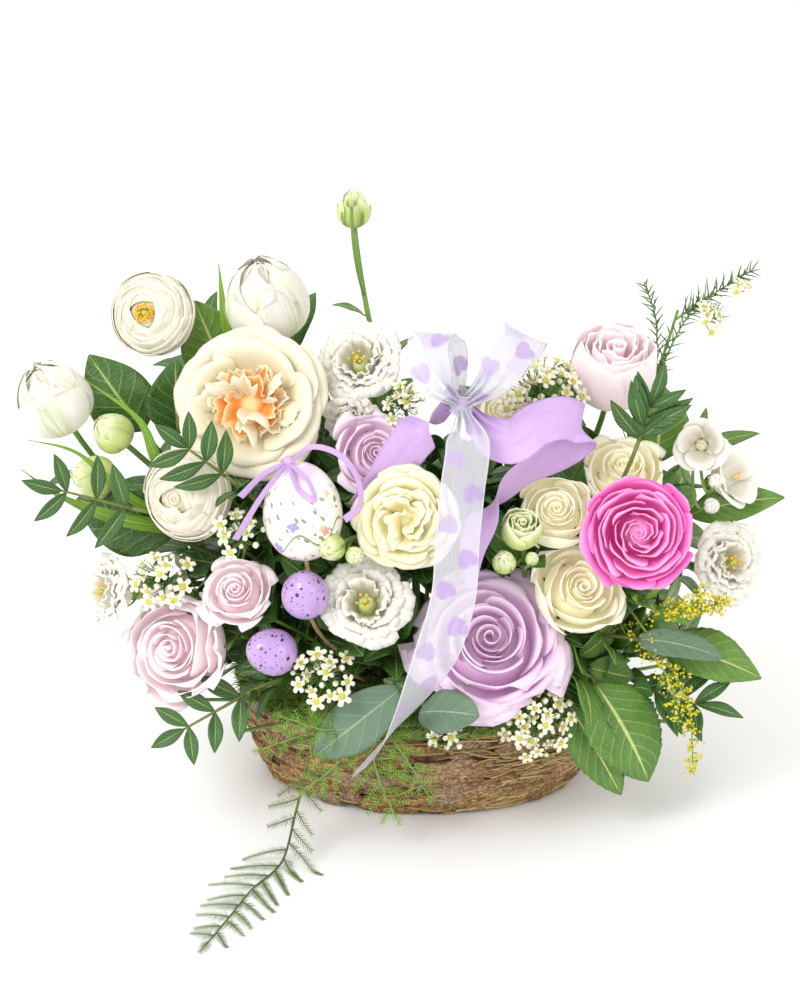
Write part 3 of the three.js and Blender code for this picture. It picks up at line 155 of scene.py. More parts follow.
def square_to(ways):
    """For each way a direction square to it, level where the way isn't steep."""
    return unit(np.cross(ways, np.where(np.abs(ways[:, 2:]) > 0.8, [[1.0, 0, 0]], [[0, 0, 1.0]])))


def rise(t, low, high):
    """0 below low, 1 above high, and a smooth step between."""
    s = np.clip((t - low) / (high - low), 0, 1)
    return s * s * (3 - 2 * s)


def standing(at, facing, roll=0):
    """The basis and the origin that turn +Z to the facing [azimuth, elevation] and move it to at."""
    a, e, q = (math.radians(x) for x in (*facing, roll))
    aim = np.array([math.sin(a) * math.cos(e), -math.cos(a) * math.cos(e), math.sin(e)])
    right = np.array([math.cos(a), math.sin(a), 0.0])
    spin = np.array([[math.cos(q), -math.sin(q), 0], [math.sin(q), math.cos(q), 0], [0, 0, 1]])
    return np.stack([right, np.cross(aim, right), aim], axis=1) @ spin, np.array(at, float)


def course(points, count):
    """A smooth path through points: a cubic between each two, its slope there set by the square root
    of the distances to the neighbours, taken at count even steps of that measure."""
    p = np.array(points, float)
    gaps = np.sqrt(np.linalg.norm(np.diff(p, axis=0), axis=1)) + 1e-9
    t = np.concatenate([[0], np.cumsum(gaps)])
    steps = np.diff(p, axis=0) / gaps[:, None]
    slope = np.empty_like(p)
    slope[0], slope[-1] = steps[0], steps[-1]
    if len(p) > 2:
        over = (p[2:] - p[:-2]) / (gaps[1:] + gaps[:-1])[:, None]
        slope[1:-1] = steps[:-1] - over + steps[1:]
    s = np.linspace(0, t[-1], count)
    k = np.clip(np.searchsorted(t, s, side="right") - 1, 0, len(gaps) - 1)
    g = gaps[k][:, None]
    x = ((s - t[k]) / gaps[k])[:, None]
    return (
        (2 * x**3 - 3 * x**2 + 1) * p[k] + (x**3 - 2 * x**2 + x) * g * slope[k]
        + (3 * x**2 - 2 * x**3) * p[k + 1] + (x**3 - x**2) * g * slope[k + 1]
    )


def stalk_path(foot, aim, bend=0.4, sway=(0, 0, 0), hub=HUB, count=24):
    """A stalk's middle line: a cubic that leaves the foot against aim and runs into the foam
    towards the hub, its middle moved by sway."""
    foot, aim, sway, hub = (np.array(x, float) for x in (foot, aim, sway, hub))
    way = unit(foot - hub)
    last = hub + way / np.linalg.norm(way / np.array(STALK_ENDS))
    length = np.linalg.norm(foot - last)
    a, b = foot + 1.5 * aim, foot - bend * length * aim + 0.8 * sway
    c, d = last + 0.4 * length * way + sway, last
    t = np.linspace(0, 1, count)[:, None]
    return a * (1 - t) ** 3 + 3 * b * t * (1 - t) ** 2 + 3 * c * t * t * (1 - t) + d * t**3


def along(path, t):
    place = t * (len(path) - 1)
    k = min(int(place), len(path) - 2)
    return mix(path[k], path[k + 1], place - k)


def twig_path(start, foot, aim, reach=0.5, count=10):
    """A side twig: a parabola from a point on a stalk to a foot, which it meets along aim."""
    start, foot = np.array(start, float), np.array(foot, float)
    control = foot - reach * np.linalg.norm(foot - start) * np.array(aim)
    t = np.linspace(0, 1, count)[:, None]
    return start * (1 - t) ** 2 + 2 * control * t * (1 - t) + (foot + 1.2 * np.array(aim)) * t**2


# ---------------------------------------------------------------- meshes


class Pile:
    """Points and faces in millimetres, gathered into one mesh. Each point has a place on its own
    petal or leaf (uv), a tone from 0 to 1 that is drawn for each, and a layer from 0 at the heart
    of a head to 1 at its outside."""

    def __init__(self):
        self.blocks, self.faces, self.count = [], [], 0

    def add(self, points, uv, tone, layer, faces):
        points = points.reshape(-1, 3)
        n = len(points)
        spread = [np.broadcast_to(np.asarray(x, float), n) for x in (tone, layer)]
        self.blocks.append((points, uv.reshape(-1, 2), *spread))
        self.faces += [(corners + self.count, finish, smooth) for corners, finish, smooth in faces]
        self.count += n

    def sheets(self, middle, wall, finish=0, tone=0.5, layer=0.5, uv=None):
        """Thin closed walls round grids of middle points (k, rows, columns, 3): each point is moved
        half the wall along the grid's normal to both sides, and a rim joins the two."""
        k, m, n = middle.shape[:3]
        normal = unit(np.cross(np.gradient(middle, axis=2), np.gradient(middle, axis=1)))
        half = 0.5 * wall * normal
        points = np.stack([middle + half, middle - half], axis=1)
        if uv is None:
            uv = np.stack(np.meshgrid(np.linspace(0, 1, n), np.linspace(0, 1, m)), axis=-1)
        uv = np.broadcast_to(uv, (k, 2, m, n, 2))
        index = np.arange(m * n).reshape(m, n)
        a, b, c, d = index[:-1, :-1], index[:-1, 1:], index[1:, 1:], index[1:, :-1]
        front = np.stack([a, b, c, d], axis=-1).reshape(-1, 4)
        edge = np.concatenate([index[0, :-1], index[:-1, -1], index[-1, :0:-1], index[:0:-1, 0]])
        after = np.roll(edge, -1)
        rim = np.stack([after, edge, edge + m * n, after + m * n], axis=-1)
        start = (2 * m * n * np.arange(k))[:, None, None]
        both = np.concatenate([front, front[:, ::-1] + m * n])
        each = lambda x: np.broadcast_to(np.reshape(np.asarray(x, float), (-1, 1)), (k, 2 * m * n)).ravel()
        self.add(
            points, uv, each(tone), each(layer),
            [((both + start).reshape(-1, 4), finish, True), ((rim + start).reshape(-1, 4), finish, False)],
        )

    def rings(self, points, finish=0, tone=0.5, layer=0.5):
        """Closed bodies (k, rings, sides, 3) whose rings run round their path, with both ends shut."""
        k, m, s = points.shape[:3]
        index = np.arange(m * s).reshape(m, s)
        after = np.roll(index, -1, axis=1)
        side = np.stack([index[:-1], after[:-1], after[1:], index[1:]], axis=-1).reshape(-1, 4)
        ends = np.stack([index[0, ::-1], index[-1]])
        start = (m * s * np.arange(k))[:, None, None]
        uv = np.stack(np.meshgrid(np.arange(s) / s, np.linspace(0, 1, m)), axis=-1)
        each = lambda x: np.broadcast_to(np.reshape(np.asarray(x, float), (-1, 1)), (k, m * s)).ravel()
        self.add(
            points, np.broadcast_to(uv, (k, m, s, 2)), each(tone), each(layer),
            [((side + start).reshape(-1, 4), finish, True), ((ends + start).reshape(-1, s), finish, True)],
        )

    def tubes(self, path, radius, sides=6, finish=0, tone=0.5, layer=0.5):
        """Round rods: a circle of the radius carried along each path (k, points, 3), square to it."""
        path = np.asarray(path, float)
        path = path[None] if path.ndim == 2 else path
        tangent = unit(np.gradient(path, axis=1))
        steep = np.abs(unit(path[:, -1] - path[:, 0])[:, 2:]) > 0.8
        beside = np.where(steep, np.array([[1.0, 0, 0]]), np.array([[0, 0, 1.0]]))[:, None]
        side = unit(np.cross(beside, tangent))
        up = np.cross(tangent, side)
        angle = (TAU / sides * np.arange(sides))[:, None]
        circle = np.cos(angle) * side[:, :, None] + np.sin(angle) * up[:, :, None]
        radius = np.broadcast_to(radius, path.shape[:2])[..., None, None]
        self.rings(path[:, :, None] + radius * circle, finish, tone, layer)

    def spikes(self, root, tip, radius, finish=0, tone=0.5, layer=0.5, sag=0.0):
        """Needles with three sides that taper from root to tip, bent by sag in the middle."""
        t = np.array([0.0, 0.55, 1.0])[None, :, None]
        path = root[:, None] * (1 - t) + tip[:, None] * t
        path = path + sag * 4 * t * (1 - t) * np.array([0, 0, 1.0])
        taper = np.asarray(radius).reshape(-1, 1) * np.array([[1.0, 0.8, 0.12]])
        self.tubes(path, taper, 3, finish, tone, layer)


def make_piece(name, pile, finishes, nodes=()):
    """An object from a pile, with its finishes, that rides on the one body of the arrangement."""
    points, uv, tone, layer = (np.concatenate(x) for x in zip(*pile.blocks))
    mesh = bpy.data.meshes.new(name)
    corners = np.concatenate([c.ravel() for c, _, _ in pile.faces]).astype(np.int32)
    totals = np.concatenate([np.full(len(c), c.shape[1]) for c, _, _ in pile.faces])
    mesh.vertices.add(len(points))
    mesh.vertices.foreach_set("co", (points * MM).astype(np.float32).ravel())
    mesh.loops.add(len(corners))
    mesh.loops.foreach_set("vertex_index", corners)
    mesh.polygons.add(len(totals))
    starts = np.concatenate([[0], np.cumsum(totals)[:-1]]).astype(np.int32)
    mesh.polygons.foreach_set("loop_start", starts)
    finish = np.concatenate([np.full(len(c), f) for c, f, _ in pile.faces]).astype(np.int32)
    smooth = np.concatenate([np.full(len(c), s) for c, _, s in pile.faces])
    mesh.polygons.foreach_set("material_index", finish)
    mesh.polygons.foreach_set("use_smooth", smooth)
    mesh.update(calc_edges=True)
    for label, values in (("tone", tone), ("layer", layer)):
        mesh.attributes.new(label, "FLOAT", "POINT").data.foreach_set("value", values.astype(np.float32))
    chart = mesh.uv_layers.new(name="chart")
    chart.data.foreach_set("uv", uv[corners].astype(np.float32).ravel())
    for finish in finishes:
        mesh.materials.append(finish)
    piece = bpy.data.objects.new(f"{name}_look" if name in nodes else name, mesh)
    bpy.context.scene.collection.objects.link(piece)
    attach(piece, "root")
    if nodes:
        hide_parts(*nodes)
    return piece


# ---------------------------------------------------------------- finishes


class Value:
    """A number or colour that one node hands to another. Sums and products of values add nodes."""

    def __init__(self, finish, socket):
        self.finish, self.socket = finish, socket

    def math(self, operation, *others):
        return self.finish.node("Math", {"operation": operation}, self, *others)

    def __add__(self, other):
        return self.math("ADD", other)

    def __sub__(self, other):
        return self.math("SUBTRACT", other)

    def __rsub__(self, other):
        return self.finish.node("Math", {"operation": "SUBTRACT"}, other, self)

    def __mul__(self, other):
        return self.math("MULTIPLY", other)

    __radd__ = __add__
    __rmul__ = __mul__

    def from_middle(self):
        """How far it is from a half."""
        return (self - 0.5).math("ABSOLUTE")

    def rise(self, low, high):
        """0 below low, 1 above high, and a smooth step between."""
        return self.finish.node("MapRange", {"interpolation_type": "SMOOTHSTEP"}, self, low, high, 0, 1)


class Finish:
    """A material under construction: one shader whose constants are set when it starts."""

    def __init__(self, name, **constants):
        self.material = bpy.data.materials.new(name)
        self.material.use_nodes = True
        self.tree = self.material.node_tree
        self.tree.nodes.clear()
        self.shader = self.tree.nodes.new("ShaderNodeBsdfPrincipled")
        output = self.tree.nodes.new("ShaderNodeOutputMaterial")
        self.tree.links.new(self.shader.outputs[0], output.inputs[0])
        for label, value in constants.items():
            self.set(label.replace("_", " "), value)

    def plug(self, socket, value):
        """Links a value to a socket, or sets a number, a colour or a colour code there."""
        if isinstance(value, str):
            value = linear(value)
        if isinstance(value, Value):
            self.tree.links.new(value.socket, socket)
        elif hasattr(value, "__len__") and len(socket.default_value) == 4 and len(value) == 3:
            socket.default_value = (*value, 1)
        else:
            socket.default_value = value

    def node(self, kind, settings=None, *values, out=0, **named):
        node = self.tree.nodes.new(f"ShaderNode{kind}")
        for label, value in (settings or {}).items():
            setattr(node, label, value)
        for slot, value in enumerate(values):
            if value is not None:
                self.plug(node.inputs[slot], value)
        for label, value in named.items():
            self.plug(node.inputs[label.replace("_", " ")], value)
        return Value(self, node.outputs[out])

    def mix(self, a, b, factor):
        blank = [None] * 5
        return self.node("Mix", {"data_type": "RGBA", "clamp_factor": True}, factor, *blank, a, b, out=2)

    def split(self, vector):
        split = self.tree.nodes.new("ShaderNodeSeparateXYZ")
        self.plug(split.inputs[0], vector)
        return [Value(self, o) for o in split.outputs]

    def chart(self):
        """The place on the petal, leaf or ribbon: across it and along it."""
        return self.split(self.node("UVMap", {"uv_map": "chart"}))[:2]

    def place(self):
        """The point on the object, in metres."""
        return self.node("TexCoord", out=3)

    def attribute(self, label):
        return self.node("Attribute", {"attribute_name": label}, out=2)

    def vector(self, x, y, z=0.0):
        return self.node("CombineXYZ", None, x, y, z)

    def noise(self, vector, scale=1.0, detail=2.0, rough=0.5):
        return self.node("TexNoise", Vector=vector, Scale=scale, Detail=detail, Roughness=rough)

    def grain(self, x, y, z, detail):
        """Noise that is stretched by what each way is multiplied by."""
        return self.noise(self.vector(x, y, z), 1.0, detail)

    def cells(self, vector, scale=1.0, feature="F1", out=0):
        return self.node("TexVoronoi", {"feature": feature}, Vector=vector, Scale=scale, out=out)

    def set(self, label, value):
        self.plug(self.shader.inputs[label], value)

    def done(self, colour, height, distance, strength=0.5):
        """The material, with its base colour and with a bump of the height."""
        self.set("Base Color", colour)
        self.set("Normal", self.node("Bump", Height=height, Distance=distance, Strength=strength))
        return self.material


FINISHES = {}


def made_once(builder):
    """Makes each finish of a builder once, under its name."""

    def made(name, *args, **named):
        if name not in FINISHES:
            FINISHES[name] = builder(name, *args, **named)
        return FINISHES[name]

    return made


def tinted(base, code, t=0.5):
    """A colour part of the way from base to a colour code."""
    return tuple(mix(a, b, t) for a, b in zip(base, linear(code)))


def shaded(colour, share):
    return tuple(min(1, share * c) for c in colour)


@made_once
def petal_finish(name, body, edge, heart, foot, fibre=0.12, streak=None, edge_from=0.62, painted_glow=0.1):
    """Petal: body colour, deeper towards the heart of the head, another tint at its foot and along
    its lip, with fine fibres that run from foot to tip and soft blotches of tone. Each petal also emits
    its own colour, by the amount given: a painted glow that lifts the shade between petals, in place of
    the light that petals pass on to one another."""
    f = Finish(
        name, Roughness=0.55, Subsurface_Weight=0.3, Subsurface_Scale=0.002, Sheen_Weight=0.15,
        Sheen_Roughness=0.5, Subsurface_Radius=(1.0, 0.85, 0.7), Specular_IOR_Level=0.35,
        Emission_Strength=painted_glow,
    )
    u, v = f.chart()
    tone, layer = f.attribute("tone"), f.attribute("layer")
    fibres = f.grain(u * 34, v * 2.4, tone * 31, 3)
    blotch = f.grain(u * 3, v * 3, tone * 57, 2)
    colour = f.mix(heart, body, layer.rise(0.0, 0.75))
    colour = f.mix(colour, edge, v.rise(edge_from, 0.97) * (blotch * 0.7 + 0.45))
    colour = f.mix(foot, colour, v.rise(0.02, 0.38))
    shade = (fibres - 0.5) * fibre * 2 + (blotch - 0.5) * 0.16 + (tone - 0.5) * 0.1
    colour = f.mix(colour, shaded(heart, 0.62), shade.math("MAXIMUM", 0.0))
    if streak:
        middle = 1 - u.from_middle().rise(0.02, 0.22)
        colour = f.mix(colour, streak, middle * (1 - v.rise(0.55, 0.95)) * fibres.rise(0.35, 0.65) * 0.75)
    # Painted light: each petal emits its own colour, which lifts the shade in the gaps between petals.
    f.set("Emission Color", colour)
    return f.done(colour, fibres * 0.7 + blotch, 0.0004)


def petals_of(kind):
    """The finish of one colour of petal. Its tints are worked out from the body colour."""
    c = colours()
    table = {  # body, lip, heart, foot, more
        "white": (c.white, "#efece2", "#efe7c6", "#e0e4b0", {"painted_glow": 0.055}),
        "ivory": (tinted(c.white, "#cfc5a6"), "#e9e3cf", "#ecdba0", "#dfe0a8", {"painted_glow": 0.02, "fibre": 0.16}),
        "white_tulip": (
            c.white, "#e8e4d6", "#e8e2c0", "#c9d588", {"streak": "#a9bd6a", "fibre": 0.2, "painted_glow": 0.03},
        ),
        "cream": (c.cream, "#f7f4e0", "#f0e3ac", "#dfe2a6", {}),
        "daffodil": (
            tinted(c.cream, "#e9e0c0", 0.8), "#efe8d0", "#f6dda6", "#f0d79a", {"fibre": 0.18, "painted_glow": 0.04},
        ),
        "trumpet": (linear("#f6a950"), "#fbd9a4", "#ee8427", "#e98a30", {"fibre": 0.2}),
        "yellow": (c.yellow, "#f7f5d8", "#ecd9a0", "#bccb6c", {"fibre": 0.18, "painted_glow": 0.05}),
        "blush": (c.blush, "#f8eeee", "#d9a5bd", "#e0d5b8", {}),
        "lavender": (c.lavender, "#efdaec", "#a8629f", "#d2abc9", {"fibre": 0.14}),
        "lilac": (tinted(c.lavender, "#ecd3e2", 0.6), "#f4e4ee", "#c184b0", "#dcc0cc", {"fibre": 0.14}),
        "pink": (c.pink, "#f7b2de", "#c41e8a", "#d04a9c", {"fibre": 0.18, "edge_from": 0.72}),
        "bud": (c.bud, "#f1f3d0", "#a9c154", "#7ea03a", {"fibre": 0.2, "streak": "#7fa043", "painted_glow": 0.04}),
    }
    body, edge, heart, foot, more = table[kind]
    heart, foot = tinted(body, heart, 0.6), tinted(body, foot, 0.7)
    return petal_finish(f"petals_{kind}", tuple(body), edge, heart, foot, **more)


@made_once
def leaf_finish(name, dark, light, vein, gloss=0.35, ribs=9, net=0.5, coat=0.0):
    """Leaf: a pale midrib, side ribs that slant to the edge, a net of fine veins between them,
    and mottled green."""
    f = Finish(name, Coat_Weight=coat, Coat_Roughness=0.25, Subsurface_Weight=0.06, Subsurface_Scale=0.002)
    u, v = f.chart()
    tone = f.attribute("tone")
    side = u.from_middle() * 2
    slant = v * ribs - side * ribs * 0.28
    rib = slant.math("FRACT").from_middle() * 2
    ribbing = rib.rise(0.82, 1.0) * (1 - side * 0.5)
    midrib = 1 - side.rise(0.015, 0.075)
    netting = 1 - f.cells(f.vector(u * 9, v * 26, tone * 7), feature="DISTANCE_TO_EDGE").rise(0.0, 0.14)
    mottle = f.grain(u * 2.5, v * 4, tone * 63, 3)
    colour = f.mix(dark, light, (mottle - 0.3) * 0.9 + (tone - 0.5) * 0.5)
    colour = f.mix(colour, vein, midrib * 0.75 + ribbing * 0.35 + netting * 0.1 * net)
    f.set("Roughness", mottle * 0.22 + (gloss - 0.1))
    relief = rib * 0.5 - midrib * 0.8 - ribbing * 0.5 - netting * 0.35 * net + mottle * 0.5
    return f.done(colour, relief, 0.0009, 0.6)


def leaves_of(kind):
    """The finish of one kind of leaf. The dark and light greens are worked out from the settings."""
    c = colours()
    leaf, pale, grey = (tuple(x) for x in (c.leaf, c.leaf_pale, c.eucalyptus))
    table = {  # dark, light, vein, gloss, ribs, net, coat
        "salal": (leaf, tinted(leaf, "#4f8a2a", 0.6), "#b9cf7c", 0.3, 6, 1.0, 0.3),
        "salal_pale": (pale, tinted(pale, "#86b545", 0.6), "#d3e08a", 0.38, 8, 0.5, 0.15),
        "rose_leaf": (tinted(leaf, "#33681c"), tinted(leaf, "#5f9a35", 0.7), "#a9c76c", 0.42, 9),
        "lime_leaf": ("#6fa02c", "#a3cb4c", "#d9e88f", 0.45, 5, 0.3),
        "pistachio": (tinted(leaf, "#2a5f2b"), tinted(leaf, "#4a8238", 0.6), "#c2d486", 0.36, 7, 0.5, 0.15),
        "eucalyptus": (grey, tinted(grey, "#8ba58a", 0.6), "#9fb593", 0.62, 5, 0.4),
        "sepal": ("#6f9a3a", "#9dbf5c", "#c4d888", 0.5, 3, 0.2),
    }
    return leaf_finish(f"leaf_{kind}", *table[kind])


@made_once
def stem_finish(name, green, flush):
    """Stem: green with long fibres, flushed with a second colour in patches."""
    f = Finish(name, Roughness=0.5)
    x, y, z = f.split(f.place())
    grain = f.grain(x * 900, y * 900, z * 90, 3)
    patch = f.noise(f.place(), 28.0, 2)
    colour = f.mix(green, flush, patch.rise(0.45, 0.75) * 0.7)
    return f.done(f.mix(colour, shaded(linear(green), 0.5), grain.rise(0.5, 0.8) * 0.5), grain, 0.0003)


def stems_of(kind="green"):
    table = {
        "green": ("#6f9440", "#8fae57"), "dark": ("#4d5f24", "#7a5a36"), "fern": ("#5a6b2a", "#3f3a1e"),
        "red": ("#6d7a35", "#8a4a3a"),
    }
    return stem_finish(f"stem_{kind}", *table[kind])


@made_once
def needle_finish(name, root, tip):
    """Needles and strands: each has its own tone between two colours, paler to its tip."""
    f = Finish(name, Roughness=0.6)
    _, v = f.chart()
    grain = f.noise(f.place(), 320.0, 2)
    paler = f.attribute("tone") * 0.75 + v * 0.35 + (grain - 0.5) * 0.5
    return f.done(f.mix(root, tip, paler), grain, 0.0002)


def needles_of(kind):
    table = {
        "wax": ("#2f5420", "#5c8a38"), "fern": ("#42642f", "#8cb067"), "fern_bright": ("#4c8f22", "#abd44c"),
        "solidago": ("#3f7a22", "#7fae3a"), "moss": ("#3a5a16", "#a3c045"),
        "moss_brown": ("#4a3a1c", "#8f7a46"),
    }
    return needle_finish(f"needle_{kind}", *table[kind])


@made_once
def grain_finish(name, body, speck):
    """Small round things: a body colour with fine darker dots."""
    f = Finish(name, Roughness=0.45, Subsurface_Weight=0.1, Subsurface_Scale=0.001)
    spots = f.cells(f.place(), 260.0)
    colour = f.mix(body, shaded(linear(body), 1.25), f.noise(f.place(), 60.0, 2))
    return f.done(f.mix(colour, speck, (1 - spots.rise(0.18, 0.4)) * 0.6), spots, 0.0003)


def grains_of(kind):
    table = {
        "stamen": ("#f0b62a", "#c98412"), "pistil": ("#a9b84e", "#6f8a2e"),
        "solidago": ("#cbbf25", "#87952a"), "wax_petal": ("#efe9d2", "#dccfa0"),
        "wax_eye": ("#b9b84e", "#b5703f"), "wax_bud": ("#f1ecd2", "#b9c07a"),
    }
    return grain_finish(f"grain_{kind}", *table[kind])


# ---------------------------------------------------------------- rows, and what leaves keep clear of


def row_of(table, name, seed):
    """The row of a table that has the name, and the row's own random numbers."""
    index = next(i for i, row in enumerate(table) if row[0] == name)
    return table[index], np.random.default_rng(seed + index)


ROUND_THINGS = []  # (middle, radius) of heads, eggs and knots, which no leaf may cross


def keep_clear(at, radius):
    ROUND_THINGS.append((np.array(at, float), float(radius)))


def is_clear(points, spare=0.0):
    """Which of the sets of points (k, n, 3) stay out of every round thing and inside the model's box."""
    middles = np.array([m for m, _ in ROUND_THINGS])
    radii = np.array([r for _, r in ROUND_THINGS])
    gap = np.linalg.norm(points[:, :, None] - middles, axis=-1) - radii - spare
    low, high = (np.array(corner) / MM for corner in MODEL_BOX)
    inside = ((points > low + 2) & (points < high - 2)).all(axis=(1, 2))
    return (gap > 0).all(axis=(1, 2)) & inside


# ---------------------------------------------------------------- petals


def petal_width(v, tip):
    """How wide a petal is at v: narrow at its foot, widest at two thirds, and rounded or pointed at
    its tip."""
    up = 0.35 + 0.65 * np.sin(math.pi / 2 * np.minimum(1, v / 0.65))
    late = np.maximum(0, (v - 0.65) / 0.35)
    return up * np.sqrt(1 - late**2 * (1 - tip * tip))


def cup(*places):
    """A petal's side from its foot to its lip: a bezier over places of [radius, height]."""
    p = np.array(places, float)
    n = len(p) - 1
    weight = lambda t, k: math.comb(n, k) * t**k * (1 - t) ** (n - k)
    return lambda t: tuple(sum(p[k, i] * weight(t, k) for k in range(n + 1)) for i in (0, 1))


def dome(radius, low, high, middle=0.0, squash=1.0):
    """A petal's side that follows a ball: from the angle low off the top to the angle high at its lip."""
    turn = lambda t: np.radians(mix(low, high, t))
    return lambda t: (radius * np.sin(turn(t)), middle + squash * radius * np.cos(turn(t)))


def whorl(rand, count, side, half=None, start=90.0, lap=0.06, ruffle=0.0, waves=1.5, tip=0.5, curl=0.0,
          roll=0.0, skew=0.0, loose=1.0, grid=(12, 11), over=1.45, rounding=0.12):
    """count petals round +Z, in units of the head's size. side gives a petal's radius and height
    from foot to lip, and it spans half degrees on each side of its middle. lap lifts one edge over
    the next petal, ruffle waves it square to its side, more towards its lip, curl rolls the lip
    outwards, roll turns its corners back and skew tilts its lip."""
    half = over * 178.0 / count if half is None else half
    draw = loose * np.clip(rand.normal(size=(8, count, 1, 1)), -2, 2)
    turn = math.radians(start) + TAU / count * np.arange(count)[:, None, None] + 0.045 * draw[0]
    v = np.linspace(0, 1, grid[0])[None, :, None]
    u = np.linspace(-1, 1, grid[1])[None, None, :]
    t = v * (1 - rounding * u * u * v + skew * draw[7] * u)
    (r, z), (ahead, above) = side(t), side(t + 0.01)
    dr, dz = ahead - r, above - z
    r = r * (1 + 0.02 * draw[1] * v)
    z = z + 0.022 * draw[2] * v * v
    long = np.sqrt(dr * dr + dz * dz) + 1e-6
    phase = 3 * turn + 1.3 * draw[3]
    wave = np.sin(waves * math.pi * u + phase) + 0.5 * np.sin(2.7 * waves * math.pi * u + 2 * draw[4])
    wave = ruffle * v**2 * wave + 0.014 * loose * v * np.sin(2.2 * u + 3 * v + 3 * draw[5])
    late = np.clip((v - 0.6) / 0.4, 0, 1)
    outward = wave + curl * late**2 + roll * np.abs(u) ** 3 * v**2
    r = r + outward * dz / long
    z = z - outward * dr / long - 0.35 * curl * late**3
    angle = turn + u * math.radians(half) * petal_width(v, tip) * (1 + 0.05 * draw[6])
    radius = np.maximum(0.01, r + lap * u * v)
    return np.stack([radius * np.cos(angle), radius * np.sin(angle), z + 0 * angle], axis=-1)


def spiral(turns, inner, outer, low, high, grid):
    """A rolled petal at the heart of a rose: a wall whose radius grows with the angle from inner to
    outer, leaning in to its top edge, which dips and rises as it winds."""
    v = np.linspace(0, 1, grid[0])[:, None]
    u = np.linspace(0, 1, grid[1])[None, :]
    angle = u * turns * TAU
    radius = mix(inner, outer, u) * (1.0 + 0.16 * np.sin(math.pi * np.minimum(1, 1.1 * v))) * mix(0.9, 1.0, v)
    z = mix(low, high - 0.12 * u + 0.04 * np.sin(angle * 1.37) * u, v)
    radius = radius + 0.05 * u * np.maximum(0, v - 0.75) * 4
    return np.stack([radius * np.cos(angle), radius * np.sin(angle), z + 0 * angle], axis=-1)[None]


def turned(profile, sides=16, wind=0.0):
    """A closed body of revolution from a profile of [radius, height], its rings a little oval."""
    p = np.array(profile, float)
    angle = TAU / sides * np.arange(sides)[None, :]
    r = p[:, :1] * (1 + wind * np.cos(2 * angle + 1.7 * np.arange(len(p))[:, None]))
    return np.stack([r * np.cos(angle), r * np.sin(angle), p[:, 1:] + 0 * angle], axis=-1)[None]


class Head:
    """Grids of a head in its own frame, in units of its size, until it is put in its place."""

    def __init__(self, rand, size):
        self.rand, self.size, self.parts = rand, size, []

    def petals(self, grids, layer, finish=0):
        self.parts.append(("sheets", grids, layer, finish))

    def whorl(self, layer, count, side, finish=0, **shape):
        self.petals(whorl(self.rand, count, side, **shape), layer, finish)

    def body(self, profile, sides, layer, finish=0):
        self.parts.append(("rings", turned(profile, sides), layer, finish))

    def threads(self, count, inner, outer, height, radius=0.016, grain=0.035):
        """Threads that stand in a ring with a grain of pollen on each."""
        angle = TAU * (np.arange(count) + 0.4 * self.rand.random(count)) / count
        spread = mix(inner, outer, self.rand.random(count))
        close = 0.4 * spread
        root = np.stack([close * np.cos(angle), close * np.sin(angle), np.full(count, -0.25)], axis=-1)
        high = height * (0.8 + 0.4 * self.rand.random(count))
        tip = np.stack([spread * np.cos(angle), spread * np.sin(angle), high], axis=-1)
        self.parts.append(("spikes", (root, tip, radius), 0.2, 1))
        ball = turned([[0.1, -1], [0.85, -0.5], [0.85, 0.5], [0.1, 1]], 5) * grain
        self.parts.append(("rings", ball + tip[:, None, None], 0.1, 1))

    def settle(self, pile, at, facing, roll=0):
        basis, origin = standing(at, facing, roll)
        put = lambda p: origin + (p * self.size) @ basis.T
        wall = sizes().petal_wall / MM
        for kind, grid, layer, finish in self.parts:
            if kind == "sheets":
                pile.sheets(put(grid), wall, finish, self.rand.random(len(grid)), layer)
            elif kind == "rings":
                pile.rings(put(grid), finish, self.rand.random(len(grid)), layer)
            else:
                root, tip, radius = grid
                tones = self.rand.random(len(root))
                pile.spikes(put(root), put(tip), np.full(len(root), radius * self.size), finish, tones, layer)


def rose_head(head, open=1.0, rings=3):
    """A rose: a rolled heart, then rings of cupped petals. A closed rose is a goblet whose lips
    lean in; in an open one the outer petals rise, turn over and lie out, pointed at their tips."""
    head.petals(spiral(2.0, 0.03, 0.19, -0.5, 0.22, (7, 50)), 0.0)
    head.body([[0.1, -0.84], [0.5, -0.64], [0.6, -0.36], [0.46, -0.16], [0.1, -0.14]], 16, 0.5)
    for k in range(3):
        r = mix(0.25, 0.44, k / 2)
        side = cup([0.1, -0.6], [1.4 * r, -0.4], [0.92 * r, 0.05], [1.02 * r, 0.21 - 0.02 * k])
        head.whorl(0.2 * k, 3, side, start=73.0 * k, tip=0.82, lap=0.05, curl=0.03 + 0.02 * k, over=1.12,
                   loose=0.7, grid=(13, 15), skew=0.04)
    for k in range(rings):
        t = (k + 1) / rings
        r = mix(0.5, mix(0.95, 1.06, open), t)
        flat = open * t**0.7
        side = cup(
            [0.14, -0.68], [r * mix(1.35, 1.0, flat), -0.66],
            [r * mix(1.08, 0.7, flat), mix(-0.1, 0.16, flat)],
            [r * mix(0.84, 1.0, flat), mix(0.22, mix(0.06, -0.16, open), t)],
        )
        count = 3 if k == 0 else 5 if head.size > 30 else 4
        head.whorl(mix(0.6, 1, t), count, side, start=31 + 67.0 * k, half=212 / count + 7, lap=0.09,
                   tip=mix(0.65, 0.16, flat), curl=mix(0.05, 0.09, flat), roll=mix(0.03, 0.2, flat),
                   ruffle=0.016, waves=1.0, rounding=mix(0.2, 0.3, flat), skew=0.06, loose=1.4, grid=(19, 17))


